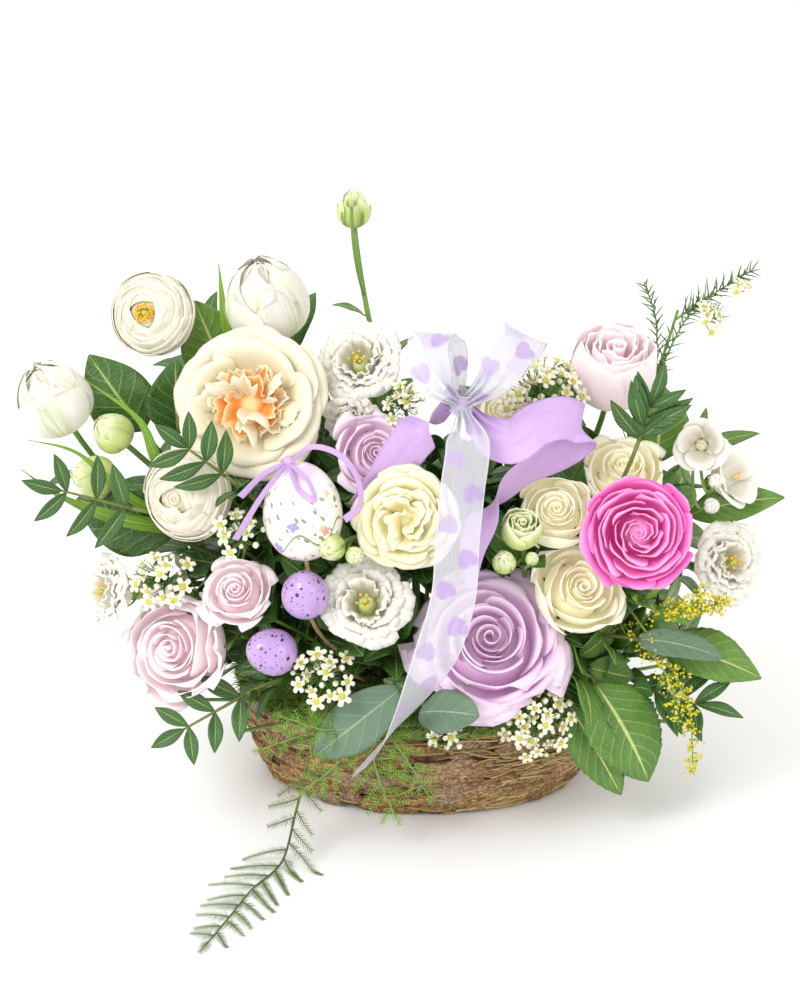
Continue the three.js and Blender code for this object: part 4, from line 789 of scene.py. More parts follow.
def rosebud_head(head):
    """A tall rosebud: cups that close over one another, with a loose frilly top."""
    head.body([[0.15, -1.1], [0.6, -0.8], [0.5, -0.2], [0.1, 0.1]], 12, 0.3)
    head.petals(spiral(1.6, 0.04, 0.24, -0.3, 0.7, (7, 40)), 0.2)
    for k in range(4):
        t = k / 3
        r = mix(0.4, 0.9, t)
        belly, lip = [mix(0.9, 1.12, t) * r, mix(0.3, 0.2, t)], [mix(0.95, 0.8, t) * r, mix(0.74, 0.56, t)]
        side = cup([0.2, -0.98], [1.5 * r, -0.98], belly, lip)
        head.whorl(mix(0.3, 1, t), 3, side, start=67.0 * k, tip=0.85, lap=0.07, curl=mix(0.04, 0.1, t),
                   ruffle=0.05, waves=1.6, over=1.2, skew=0.05, grid=(17, 17))


def ranunculus_head(head, eye=0.1):
    """A ranunculus: thin petals laid over a ball. The innermost stand round the eye, and the lips
    of the rest lie close together down its side, each petal tilted a little its own way."""
    head.body([[0.2, -0.74], [0.7, -0.66], [0.87, -0.48], [0.84, -0.26], [0.66, -0.06], [0.2, 0.02]], 20, 1)
    lips = [12 + 45 * eye, 19 + 45 * eye, 32, 40, 46, 52, 58, 64, 71, 80]
    for k, lip in enumerate(lips):
        t = k / (len(lips) - 1)
        side = dome(mix(0.78, 1.0, t**0.8), 150, lip, middle=-0.5, squash=mix(0.98, 0.66, t))
        head.whorl(0.3 + 0.7 * t, 3 if k < 5 else 4, side, start=51.0 * k, tip=0.93, lap=0.014, ruffle=0.006,
                   waves=1.2, curl=0.006 + 0.008 * t**3, over=1.18, loose=0.8, grid=(17, 15), rounding=0.06,
                   skew=0.05)
    head.body([[0.05, -0.3], [0.4, -0.26], [0.42, 0.02], [0.3, 0.12], [0.04, 0.14]], 16, 0.3)
    if eye > 0.15:
        head.body([[0.02, -0.1], [0.12, 0.02], [0.12, 0.14], [0.08, 0.2], [0.02, 0.22]], 10, 0.2, 2)
        head.threads(70, 0.1, 0.25, 0.24)
    else:
        head.petals(spiral(2.6, 0.02, 0.25, -0.1, 0.26, (5, 50)), 0.5)


def pink_ranunculus_head(head):
    """A full open ranunculus: a knot of small petals, then broad wavy ones that stand and turn out."""
    rings = 7
    head.body([[0.15, -0.62], [0.5, -0.5], [0.4, -0.3], [0.1, -0.1]], 12, 0.2)
    head.petals(spiral(1.6, 0.02, 0.12, -0.3, 0.02, (5, 28)), 0.0)
    for k in range(rings):
        t = k / (rings - 1)
        r = mix(0.17, 1.04, t**1.1)
        side = cup([0.1, -0.5], [r * mix(1.3, 1.02, t), -0.46], [r * mix(1.0, 0.76, t), mix(-0.05, 0.2, t)],
                   [r, 0.02 + 0.12 * math.sin(2.6 * t) - 0.2 * t**3])
        head.whorl(t, 3 if k < 4 else 4, side, start=47.0 * k, tip=0.85, lap=0.06, ruffle=mix(0.02, 0.035, t),
                   waves=1.2, curl=0.03 + 0.06 * t, over=1.22, skew=0.08, grid=(17, 17), rounding=0.14)


def lisianthus_head(head, deep=1.0, full=3):
    """A lisianthus: broad petals with a crimped lip on a long trumpet, round a green heart."""
    head.body([[0.06, -deep], [0.16, -deep * 0.85], [0.22, -0.62], [0.16, -0.3], [0.05, -0.2]], 10, 0.1, 3)
    rings = 1 + full
    for k in range(rings):
        t = (k + 1) / rings
        r = mix(0.2, 1.03, t**0.8)
        side = cup([0.06, -0.8], [mix(0.34, 0.8, t), -0.6], [mix(0.2, 0.5, t), mix(0.05, 0.12, t)],
                   [r, mix(0.22, -0.1, t)])
        head.whorl(mix(0.4, 1, t), 4 if k < 2 else 5, side, start=45.0 * k, tip=0.88, lap=0.06, ruffle=0.05,
                   waves=3.0, curl=mix(0.02, 0.07, t), over=1.18, skew=0.06, grid=(17, 27), rounding=0.08)
    head.body([[0.03, -0.4], [0.07, -0.25], [0.05, -0.02], [0.08, 0.05], [0.03, 0.09]], 8, 0.2, 2)
    head.threads(6, 0.1, 0.18, 0.06, radius=0.014, grain=0.04)


def daffodil_head(head, full=False):
    """A double daffodil: broad waved outer petals, then a loose heart of standing folded petals,
    with shreds of its crown between them. A full one has more folds and no crown."""
    head.body([[0.05, -0.44], [0.2, -0.34], [0.2, -0.16], [0.05, -0.1]], 10, 0.2, 1)
    outer = [(5, 1.04, -0.12), (5, 0.98, -0.02), (4, 0.84, 0.08)] + ([(4, 0.66, 0.14)] if full else [])
    for k, (count, r, height) in enumerate(outer):
        side = cup([0.06, -0.37], [0.66 * r, -0.42 + 0.06 * k], [0.74 * r, 0.0 + 0.1 * k], [r, height])
        head.whorl(1 - 0.1 * k, count, side, start=33.0 * k + 12, tip=0.72, lap=0.06, ruffle=0.03, waves=1.1,
                   curl=0.05, over=1.25, skew=0.07, grid=(17, 17), rounding=0.14)
    crown = [(6, 0.42, 0.08), (5, 0.4, 0.14), (3, 0.3, 0.16)] if not full else []
    for k, (count, r, height) in enumerate(crown):
        side = cup([0.04, -0.2], [0.9 * r, -0.2], [r, height])
        head.whorl(0.3, count, side, min(k, 1), half=0.95 * 180 / count, start=40.0 * k, tip=0.92,
                   ruffle=0.045, waves=1.8, curl=0.03, grid=(9, 13), loose=1.6)
    folds = [(3, 0.36, 0.3, 26), (2, 0.2, 0.34, 50), (2, 0.6, 0.14, 20)]
    if full:
        folds = [(4, 0.5, 0.26, 52), (3, 0.34, 0.3, 62), (2, 0.2, 0.32, 80)]
    for k, (count, r, height, half) in enumerate(folds):
        side = cup([0.03, -0.2], [0.7 * r, -0.16], [0.9 * r, 0.4 * height], [r, height])
        head.whorl(0.75 - 0.15 * k, count, side, half=half, start=25 + 70.0 * k, tip=0.75, lap=0.1,
                   ruffle=0.045, waves=1.3, curl=0.06, roll=0.1, grid=(13, 13), loose=1.6)


def tulip_head(head, full=True):
    """A tulip: rounded petals that close to an egg, the outer ones standing off a little."""
    head.body([[0.2, -1.1], [0.74, -0.76], [0.84, -0.2], [0.74, 0.3], [0.46, 0.68], [0.06, 0.92]], 20, 0.9)
    rows = [(0.06, 1.04, 1.42), (0.12, 0.98, 1.47)]
    if full:
        rows = [(0.04, 1.0, 1.4), (0.1, 1.12, 1.44), (0.24, 1.0, 1.48)]
    for k, (r, top, wide) in enumerate(rows):
        side = cup([0.1, -0.98], [0.9 * wide, -1.0], [0.84 * wide, 0.4 * top], [r, top])
        head.whorl(0.6 + 0.2 * k, 3, side, start=90 + 60.0 * k, tip=0.3, lap=0.02, half=66 + 3 * k,
                   ruffle=0.012, waves=1.1, curl=0.01 + 0.02 * k, skew=0.04, grid=(21, 17), rounding=0.2)


def freesia_head(head):
    """A freesia: six rounded petals on a slim tube."""
    head.body([[0.08, -1.3], [0.13, -1.1], [0.2, -0.8], [0.2, -0.6], [0.05, -0.5]], 10, 0.9)
    for k in range(2):
        side = cup([0.08, -0.86], [0.6, -0.8], [0.6 - 0.1 * k, -0.1], [1.02 - 0.16 * k, 0.02 + 0.12 * k])
        head.whorl(1 - 0.3 * k, 3, side, start=90 + 60.0 * k, tip=0.75, half=58, lap=0.05, curl=0.08,
                   ruffle=0.02, grid=(17, 15))
    head.threads(3, 0.06, 0.12, 0.0, radius=0.02, grain=0.05)


def bud_head(head):
    """A closed bud: petals wrapped round one another to a blunt point."""
    head.body([[0.2, -1.0], [0.7, -0.5], [0.68, 0.2], [0.3, 0.8], [0.05, 0.95]], 12, 0.4)
    for k in range(2):
        side = cup([0.2, -0.98], [1.4, -0.5], [0.14 + 0.1 * k, 1.02 - 0.12 * k])
        head.whorl(0.6 + 0.4 * k, 3, side, start=60.0 * k, tip=0.3, half=66, lap=0.06, loose=0.5,
                   grid=(10, 10))


# ---------------------------------------------------------------- leaves

LEAF_FLOOR = 78  # no leaf on a stalk reaches lower, in mm


def lay_blades(pile, rand, start, end, width, face, finish=0, bow=0.1, fold=0.12, peak=0.4, teeth=0, cut=0.0,
               wave=0.04, grid=(13, 7), blunt=0.8):
    """Leaf blades from foot to tip: half the width follows a sine that peaks at peak, cut into
    teeth; the middle line bows towards face, the halves fold up and their edges wave."""
    start, end, face = (np.atleast_2d(np.asarray(x, float)) for x in (start, end, face))
    k = max(len(start), len(end))
    start, end, face = (np.broadcast_to(x, (k, 3)) for x in (start, end, face))
    length = np.linalg.norm(end - start, axis=1)[:, None, None]
    ahead = unit(end - start)
    across = unit(np.cross(ahead, face))
    v = np.linspace(0, 1, grid[0])[None, :, None]
    u = np.linspace(-1, 1, grid[1])[None, None, :]
    t = np.where(v < peak, v / peak, 1 - (v - peak) / (1 - peak))
    shape = np.maximum(0.03, np.sin(math.pi / 2 * np.clip(t, 0, 1)) ** blunt)
    if teeth:
        shape = shape * (1 - cut * (v * teeth % 1.0))
    half = 0.5 * np.reshape(width, (-1, 1, 1)) * shape
    phase = TAU * rand.random((k, 1, 1))
    lift = bow * length * 4 * v * (1 - v) + fold * half * np.abs(u)
    lift = lift + wave * half * 2 * u * u * np.sin(9 * v + phase + u)
    spread = lambda scale, way: scale[..., None] * way[:, None, None]
    middle = start[:, None, None] + spread(length * v + 0 * u, ahead) + spread(u * half, across)
    middle = middle + spread(lift, np.cross(across, ahead))
    pile.sheets(middle, sizes().leaf_wall / MM, finish, rand.random(k), 0.5)


# long narrow leaves: place on the stalk, the path from there, width, face
STRAPS = {
    "tulip_buds": [
        (0.34, [(-156, -24, 216), (-166, -30, 246), (-196, -28, 270)], 8, (0, -1, 0.3)),
        (0.4, [(-180, -40, 188), (-212, -44, 204), (-234, -44, 221)], 9, (0, -1, 0.6)),
        (0.45, [(-172, -30, 196), (-204, -30, 226), (-232, -26, 232)], 6, (0, -1, 0.6)),
    ],
    "salal_top": [(0.1, [(-118, 22, 290), (-121, 20, 324)], 10, (0, -1, 0.2))],
}


def lay_straps(pile, rand, name, stalk, finish):
    """Long narrow leaves, each a width carried along a path, tapering to its end, a little folded."""
    for place, points, width, face in STRAPS.get(name, ()):
        path = course([along(stalk, place), *points], 26)
        v = np.linspace(0, 1, len(path))[:, None]
        u = np.linspace(-1, 1, 5)[None, :]
        across = unit(np.cross(np.gradient(path, axis=0), np.array(face, float)))[:, None]
        taper = (1 - v**3) * (0.55 + 0.45 * np.sin(math.pi * np.minimum(1, 1.4 * v)))
        half = 0.5 * width * np.maximum(0.06, taper)
        up = unit(np.array(face, float))
        middle = path[:, None] + (u * half)[..., None] * across + (0.25 * half * u * u)[..., None] * up
        pile.sheets(middle[None], sizes().leaf_wall / MM, finish, rand.random(1), 0.5)


def stalk_leaves(pile, rand, path, count, length, width, finish=0, span=(0.06, 0.62), **shape):
    """Leaves that spring from a stalk all round it and lean towards its head. Of six candidates for
    each, those that would cross a bloom, leave the model's box or reach into the moss are dropped."""
    total = count * 6
    t = mix(span[0], span[1], rand.random(total))
    place = t * (len(path) - 1)
    k = np.minimum(place.astype(int), len(path) - 2)
    root = mix(path[k], path[k + 1], (place - k)[:, None])
    ahead = unit(path[k] - path[k + 1])
    angle = GOLDEN_ANGLE * np.arange(total) + rand.random(total)
    side = square_to(ahead)
    out = np.cos(angle)[:, None] * side + np.sin(angle)[:, None] * np.cross(ahead, side)
    way = unit(0.75 * ahead * (0.6 + 0.8 * rand.random((total, 1))) + out + [0, 0, 0.12])
    size = length * (0.72 + 0.5 * rand.random(total))
    tip = root + way * size[:, None]
    petiole = root + way * (0.14 * size)[:, None]
    face = unit(ahead - 0.7 * out + [0, -0.15, 0.5])
    samples = petiole[:, None] + (tip - petiole)[:, None] * np.linspace(0.15, 1, 6)[None, :, None]
    good = is_clear(samples, 0.32 * width) & (samples[:, :, 2].min(axis=1) > LEAF_FLOOR)
    keep = np.flatnonzero(good)[:count]
    if len(keep):
        stems = np.linspace(0, 1.25, 4)[None, :, None] * (petiole[keep] - root[keep])[:, None]
        pile.tubes(root[keep][:, None] + stems, 0.55, 5, 0)
        wide = width * size[keep] / length
        lay_blades(pile, rand, petiole[keep], tip[keep], wide, face[keep], finish, **shape)


# ---------------------------------------------------------------- blooms

# name, colour, kind, middle, [azimuth, elevation], size, options of the head and of its stalk
BLOOMS = [
    ("rose_lavender", "lavender", "rose", [37, -82, 131], [2, 42], 43, {"stalk": 2.6}),
    ("rose_blush_left", "blush", "rose", [-149, -66, 116], [-28, 18], 33, {"open": 0.45}),
    ("rose_blush_small", "blush", "rose", [-110, -72, 157], [-16, 48], 21, {"open": 0.7, "rings": 2}),
    ("lisianthus_front", "white", "lisianthus", [-35, -92, 160], [-4, 36], 27, {}),
    ("daffodil_yellow", "yellow", "daffodil", [-12, -84, 207], [-4, 20], 30, {"full": True}),
    ("ranunculus_pink", "pink", "ranunculusOpen", [122, -76, 195], [8, 22], 34, {}),
    ("rose_cream_low", "cream", "rose", [90, -70, 158], [24, 38], 27,
     {"open": 0.35, "rings": 2, "sway": (-8, -14, 0)}),
    ("rose_cream_mid", "cream", "rose", [75, -58, 202], [-6, 50], 22, {"open": 0.1, "rings": 2}),
    ("ranunculus_cream", "ivory", "ranunculus", [-143, -55, 208], [-22, 14], 27, {}),
    ("daffodil_cream", "daffodil", "daffodil", [-102, -28, 256], [-6, 26], 45, {}),
    ("lisianthus_left", "white", "lisianthus", [-191, -45, 143], [-58, 16], 24,
     {"deep": 1.5, "sway": (0, 19, 18)}),
    ("lisianthus_right", "white", "lisianthus", [181, -42, 161], [34, 24], 26, {"deep": 1.2, "full": 4}),
    ("rose_lilac", "lilac", "rose", [-29, -36, 228], [16, 30], 23, {"open": 0.6, "rings": 2}),
    ("rose_cream_back", "cream", "rose", [116, -28, 216], [0, 62], 24, {"open": 0.5, "rings": 2}),
    ("rose_cream_top", "cream", "rose", [44, -22, 249], [10, 52], 16, {"open": 0, "rings": 2, "roll": 20}),
    ("rose_blush_top", "blush", "rosebud", [111, 4, 268], [12, 66], 25, {}),
    ("ranunculus_eyed", "ivory", "ranunculus", [-163, 8, 298], [-12, 22], 25, {"eye": 0.2}),
    ("tulip_left", "white_tulip", "tulip", [-219, -5, 250], [-58, 62], 22, {}),
    ("tulip_top", "white_tulip", "tulip", [-94, 22, 302], [-35, 74], 25, {"roll": 20}),
    ("lisianthus_top", "white", "lisianthus", [-40, 0, 273], [-14, 42], 27, {"full": 4}),
    ("lisianthus_tall_bud", "bud", "bud", [-42, 30, 355], [-8, 84], 12,
     {"stalk": 1.8, "sway": (10, 10, 0), "hub": (18, 10, 42)}),
    ("lisianthus_bud_pair", "bud", "bud", [-54, -100, 197], [-30, 12], 9, {"stalk": 1.3, "sway": (0, 38, 0)}),
    ("lisianthus_bud_spray", "bud", "rosebud", [54, -80, 200], [8, 60], 11,
     {"stalk": 1.6, "sway": (23, 13, 0)}),
    ("tulip_buds", "bud", "tulip", [-184, -16, 233], [-60, 48], 12, {"full": False}),
    ("freesia", "white", "freesia", [160, -28, 229], [-10, 20], 16, {"stalk": 1.4}),
]

# side heads: kind, middle, facing, size, place on the bloom's stalk, thickness of the twig
SIDE_HEADS = {
    "lisianthus_top": [("lisianthus", [-44, -16, 240], [-4, -8], 17, 0.3, 1.0)],
    "lisianthus_tall_bud": [("bud", [-43, 12, 366], [0, 84], 5, 0.15, 1.0)],
    "lisianthus_bud_pair": [("bud", [-40, -108, 196], [20, 20], 6, 0.1, 1.0)],
    "lisianthus_bud_spray": [
        ("bud", [44, -90, 184], [-4, 50], 8, 0.12, 1.0), ("bud", [60, -90, 186], [20, 50], 4.5, 0.16, 1.0),
    ],
    "tulip_buds": [("tulip", [-196, -22, 207], [-80, 20], 13, 0.26, 1.8)],
    "freesia": [
        ("freesia", [184, -20, 207], [52, 30], 20, 0.24, 1.2),
        ("bud", [168, -44, 214], [20, 60], 5, 0.1, 1.0), ("bud", [166, -48, 200], [20, 40], 5.5, 0.16, 1.0),
    ],
}
SERRATED = {"teeth": 9, "cut": 0.08, "grid": (19, 7)}
# kind: head, depth of its foot, sepals (depth of their foot, reach and height of their tips), and the
# leaves on its stalk (finish, count, length, width, shape). Depths and sepals are in head sizes.
KINDS = {
    "rose": (rose_head, 0.84, (0.82, 0.62, -0.42), ("rose_leaf", 10, 40, 22, SERRATED)),
    "rosebud": (rosebud_head, 1.1, (1.06, 0.9, -0.3), ("rose_leaf", 10, 40, 22, SERRATED)),
    "ranunculus": (ranunculus_head, 0.72, (0.66, 0.7, -0.5), ("rose_leaf", 8, 38, 18, {})),
    "ranunculusOpen": (pink_ranunculus_head, 0.6, (0.66, 0.7, -0.5), ("rose_leaf", 8, 40, 20, {})),
    "lisianthus": (lisianthus_head, 1, (0.98, 0.34, -0.35), ("salal_pale", 8, 38, 17, {"blunt": 0.9})),
    "daffodil": (daffodil_head, 0.4, None, ("rose_leaf", 8, 44, 20, {})),
    "tulip": (tulip_head, 1.1, None, ("rose_leaf", 5, 48, 20, {"peak": 0.5})),
    "freesia": (freesia_head, 1.3, (1.25, 0.2, -0.7), ("salal_pale", 5, 40, 10, {})),
    "bud": (bud_head, 1, (1.0, 0.85, 0.1), ("salal_pale", 4, 26, 9, {})),
}
SHARED_SLOTS = {"ivory": "white", "white_tulip": "white", "daffodil": "cream", "lilac": "lavender"}


def foot_of(kind, at, facing, size, deep=None):
    """Where a head's stalk begins, and the way that the head faces."""
    basis, origin = standing(at, facing)
    return origin - (deep or KINDS[kind][1]) * size * basis[:, 2], basis[:, 2]


def bear_head(heads, greens, rand, kind, at, facing, size, roll=0, **shape):
    """Adds a head to the pile of heads and, to the greens, its calyx: five narrow blades from its
    foot, laid along its side, and a knot where they meet."""
    shape_head, _, sepals, _ = KINDS[kind]
    head = Head(rand, size)
    shape_head(head, **shape)
    head.settle(heads, at, facing, roll)
    if sepals:
        depth, reach, height = sepals
        basis, origin = standing(at, facing)
        put = lambda p: origin + (p * size) @ basis.T
        angle = TAU * (np.arange(5) + 0.3) / 5
        out = np.stack([np.cos(angle), np.sin(angle), 0 * angle], axis=-1)
        root, tip = put(out * 0.1 + [0, 0, -depth]), put(out * reach + [0, 0, height])
        face = -(out @ basis.T)
        lay_blades(greens, rand, root, tip, 0.26 * size, face, 1, bow=-0.22, fold=0.2, grid=(8, 5))
        knot = [(0.05, -0.02), (0.14, 0), (0.2, 0.1), (0.12, 0.22), (0.04, 0.26)]
        greens.rings(put(turned([(r, z - depth) for r, z in knot], 8)), 0)


def build_bloom(name):
    """A bloom: its heads as one piece that stands for the model's node, and its stalk, sepals and
    leaves as a second."""
    (_, colour, kind, at, facing, size, options), rand = row_of(BLOOMS, name, 100)
    shape = dict(options)
    stalk, sway, hub = shape.pop("stalk", 2), shape.pop("sway", (0, 0, 0)), shape.pop("hub", HUB)
    path = stalk_path(*foot_of(kind, at, facing, size, options.get("deep")), sway=sway, hub=hub)
    heads, greens = Pile(), Pile()
    greens.tubes(path, stalk * np.linspace(0.9, 1.0, len(path)), 10)
    bear_head(heads, greens, rand, kind, at, facing, size, **shape)
    for side_kind, at, facing, size, place, twig in SIDE_HEADS.get(name, ()):
        greens.tubes(twig_path(along(path, place), *foot_of(side_kind, at, facing, size)), twig, 8)
        more = {"full": False} if side_kind == "tulip" else {}
        bear_head(heads, greens, rand, side_kind, at, facing, size, **more)
    lay_straps(greens, rand, name, path, 3)
    leaf, count, length, width, more = KINDS[kind][3]
    stalk_leaves(greens, rand, path, count, length, width, 2, span=(0.08, 0.6), **more)
    heart = grains_of("stamen")
    if kind == "daffodil":
        heart = petals_of("trumpet" if name == "daffodil_cream" else colour)
    slot = "bud" if colour == "bud" else f"{SHARED_SLOTS.get(colour, colour)}_petals"
    make_piece(name, heads, [petals_of(colour), heart, grains_of("pistil"), petals_of("bud")], [name])
    green = [stems_of(), leaves_of("sepal"), leaves_of(leaf), leaves_of("lime_leaf")]
    make_piece(f"{name}_greens", greens, green)


SPRIG_TRIES, SPRIGS, SPRIG_GAP = 900, 56, 15  # ways tried, sprigs kept, and mm between their ends
SPRIG_REACH = 0.84, 158  # a sprig's end: a share of the way to the nearest bloom, and mm at most
LOW_SPRIGS = 17  # sprigs along the back of the rim


def build_filler():
    """Leafy sprigs between the blooms. Each stands in the foam, ends a little under the blooms that
    lie nearest its direction and is left out where its stalk would cross one. A row of low ones
    follows the back of the rim."""
    rand = np.random.default_rng(420)
    middles = np.array([row[3] for row in BLOOMS], float) - HUB
    reach = np.linalg.norm(middles, axis=1)
    turn = TAU * rand.random(SPRIG_TRIES)
    high = np.radians(mix(6, 80, rand.random(SPRIG_TRIES) ** 0.9))
    ways = np.stack([np.cos(high) * np.cos(turn), np.cos(high) * np.sin(turn), np.sin(high)], axis=-1)
    nearest = np.argmax(ways @ (middles / reach[:, None]).T, axis=1)
    pile = Pile()
    kept = []
    share, most = SPRIG_REACH
    for way, far in zip(ways, np.minimum(share * reach[nearest], most)):
        end = np.array(HUB) + way * [1, 0.8, 1] * far
        path = stalk_path(end, unit(way))
        apart = all(np.linalg.norm(end - other) > SPRIG_GAP for other in kept)
        if len(kept) < SPRIGS and apart and is_clear(path[None, :16], 3)[0]:
            kept.append(end)
            pile.tubes(path, 1.1, 6)
            stalk_leaves(pile, rand, path, 7, 36, 17, 2 + len(kept) % 2, span=(0.0, 0.5), grid=(11, 5))
    for k in range(LOW_SPRIGS):
        turn = math.radians(8 + 164 * k / (LOW_SPRIGS - 1) + rand.uniform(-3, 3))
        out = rand.uniform(0.8, 1.0)
        end = [116 * out * math.cos(turn), 58 * out * math.sin(turn), 96 + 20 * rand.random()]
        path = stalk_path(end, unit(np.array([math.cos(turn), math.sin(turn), 0.7])))
        pile.tubes(path, 1.1, 6)
        stalk_leaves(pile, rand, path, 6, 27, 14, 2 + k % 2, span=(0.0, 0.5), grid=(11, 5))
    finishes = [stems_of(), leaves_of("sepal"), leaves_of("rose_leaf"), leaves_of("salal")]
    make_piece("filler_leaves", pile, finishes)


# ---------------------------------------------------------------- leafy stems

TOWARDS = (0, -1, 0.35)

# name, finish, slot, stalk options, leaves (place on the stalk, foot, tip, width, face, shape)
SALAL = [
    ("salal_left_high", "salal", "leaf", {}, [
        (None, (-168, 12, 222), (-198, 8, 272), 40, TOWARDS, {"bow": 0.06}),
        (0.16, (-148, 12, 220), (-146, -6, 274), 38, TOWARDS, {"bow": 0.05}),
    ]),
    ("salal_left_low", "salal", "leaf", {}, [(None, (-150, -22, 168), (-206, -20, 192), 42, TOWARDS, {})]),
    ("salal_top", "salal_pale", "pale_leaf", {"sway": (33, 19, 0)}, [
        (None, (-118, 26, 250), (-136, 24, 300), 40, TOWARDS, {"bow": 0.05}),
    ]),
    ("salal_right_low", "salal_pale", "leaf", {}, [
        (None, (100, -68, 94), (132, -86, 38), 50, (0.3, -0.8, 0.6),
         {"bow": 0.08, "teeth": 17, "cut": 0.07, "grid": (52, 9)}),
        (0.3, (84, -74, 84), (116, -88, 30), 30, (0.1, -0.9, 0.3),
         {"teeth": 13, "cut": 0.07, "grid": (40, 7)}),
    ]),
    ("salal_right", "salal_pale", "pale_leaf", {}, [
        (None, (138, -48, 110), (198, -66, 96), 34, (0, -0.6, 0.8),
         {"teeth": 12, "cut": 0.05, "grid": (37, 9)}),
    ]),
    ("salal_right_high", "salal_pale", "pale_leaf", {}, [
        (None, (158, 0, 172), (214, -10, 188), 24, (0, -0.7, 0.7), {}),
        (0.25, (138, 0, 206), (139, 0, 256), 38, TOWARDS, {"bow": 0.03}),
    ]),
    ("salal_back", "salal", "leaf", {}, [
        (None, (-70, 48, 190), (-100, 62, 262), 46, (0, 1, 0.3), {}),
        (0.35, (-96, 66, 150), (-150, 76, 176), 46, (0, 1, 0.4), {}),
    ]),
    ("salal_back_right", "salal", "leaf", {}, [
        (None, (66, 48, 180), (92, 58, 250), 46, (0, 1, 0.3), {}),
        (0.35, (96, 62, 142), (156, 70, 168), 46, (0, 1, 0.4), {}),
    ]),
    ("eucalyptus_front", "eucalyptus", "eucalyptus", {}, [
        (None, (-14, -92, 104), (-64, -104, 66), 31, (0.2, -0.8, 0.6),
         {"bow": 0.12, "blunt": 0.6, "wave": 0.08, "peak": 0.5}),
        (0.16, (-4, -104, 94), (30, -126, 104), 26, (0, -0.7, 0.7), {"blunt": 0.55, "peak": 0.55}),
    ]),
    ("eucalyptus_right", "eucalyptus", "eucalyptus", {}, [
        (None, (124, -70, 124), (172, -86, 120), 19, (0, -0.6, 0.8), {"blunt": 0.6}),
    ]),
]


def build_salal(name):
    """Broad leaves on one stalk, the first at its end and the others on twigs."""
    (_, leaf, slot, stalk, leaves), rand = row_of(SALAL, name, 300)
    pile = Pile()
    for place, start, end, width, face, shape in leaves:
        aim = unit(np.subtract(end, start).astype(float))
        if place is None:
            path = stalk_path(start, aim, **stalk)
            pile.tubes(path, 1.3, 8)
        else:
            pile.tubes(line(along(path, place), np.array(start) + 4 * aim, 5), 1.0, 7)
        lay_blades(pile, rand, start, end, width, face, 1, **{"grid": (22, 11), "wave": 0.06, **shape})
    if leaf != "eucalyptus":
        stalk_leaves(pile, rand, path, 10, 46, 26, 1, span=(0.1, 0.65), grid=(15, 7), wave=0.06)
    lay_straps(pile, rand, name, path, 2)
    make_piece(name, pile, [stems_of("dark"), leaves_of(leaf), leaves_of("lime_leaf")], [name])


# name, foot, tip, face, pairs, leaflet length, width, spread, stalk options
PISTACHIO = [
    ("pistachio_left", (-170, -40, 194), (-210, -54, 212), (0, -1, 0.3), 3, 30, 10, 62, {"sway": (5, 3, 6)}),
    ("pistachio_mid", (-114, -58, 222), (-136, -66, 244), (0, -1, 0.2), 3, 30, 10, 52, {}),
    ("pistachio_right", (122, -44, 238), (128, -46, 262), (0, -1, 0.2), 4, 34, 10, 40, {"sway": (-4, -7, 0)}),
    ("pistachio_low_left", (-104, -72, 90), (-142, -84, 72), (0, -0.8, 0.6), 3, 27, 10, 58, {}),
    ("pistachio_low_right", (132, -66, 88), (160, -76, 84), (0, -0.6, 0.8), 4, 34, 11, 52, {}),
]


def build_pistachio(name):
    """A sprig: narrow leaflets in pairs along a twig, with one at its end."""
    (_, start, end, face, pairs, length, width, spread, stalk), rand = row_of(PISTACHIO, name, 400)
    pile = Pile()
    start, end = np.array(start, float), np.array(end, float)
    ahead = unit(end - start)
    across = unit(np.cross(ahead, np.array(face, float)))
    up = np.cross(across, ahead)
    path = stalk_path(start, ahead, **stalk)
    pile.tubes(path, 1.3, 7)
    pile.tubes(line(start, end, 6), np.linspace(1.1, 0.7, 6), 7)
    k = np.repeat(np.arange(pairs), 2)
    side = np.tile([-1.0, 1.0], pairs)
    root = start + ahead * (np.linalg.norm(end - start) * mix(0.12, 0.92, k / (pairs - 1)))[:, None]
    angle = np.radians(spread + 5 * side * ((k % 2) - 0.5) + 4 * rand.normal(size=len(k)))
    way = ahead * np.cos(angle)[:, None] + across * (side * np.sin(angle))[:, None]
    way = unit(way + 0.15 * up + 0.06 * rand.normal(size=(len(k), 3)))
    size = length * (1 - 0.07 * k) * (0.92 + 0.12 * rand.random(len(k)))
    root, way = np.concatenate([root, [end - ahead]]), np.concatenate([way, [ahead]])
    size = np.append(size, 0.85 * length)
    face = up[None] + 0.15 * rand.normal(size=(len(size), 3))
    lay_blades(pile, rand, root, root + way * size[:, None], width * size / length, face, 1, fold=0.3,
               peak=0.5, bow=0.05, grid=(12, 7), blunt=0.9)
    stalk_leaves(pile, rand, path, 6, 28, 10, 1, span=(0.05, 0.4), grid=(10, 5))
    make_piece(name, pile, [stems_of("red"), leaves_of("pistachio")], [name])


# ---------------------------------------------------------------- fine sprays

# rows of a wax flower's rim and eye: radius, height, and how far the five lobes reach into it
WAX_PETALS = [
    (0.16, -0.62, 0), (0.3, -0.24, 0), (1.0, 0.14, 1), (0.95, 0.2, 1), (0.55, 0.04, 0.8), (0.3, -0.04, 0),
    (0.06, -0.04, 0),
]
WAX_EYE = [(0.33, -0.08, 0), (0.35, 0.02, 0), (0.24, 0.1, 0), (0.05, 0.08, 0)]
# side profiles of a wax flower's bud and of a goldenrod floret
WAX_BUD = [(0.12, -1), (0.75, -0.55), (1, 0.1), (0.7, 0.75), (0.15, 1)]
FLORET = [(0.15, -1), (0.8, -0.5), (1, 0.3), (0.5, 1), (0.1, 0.8)]


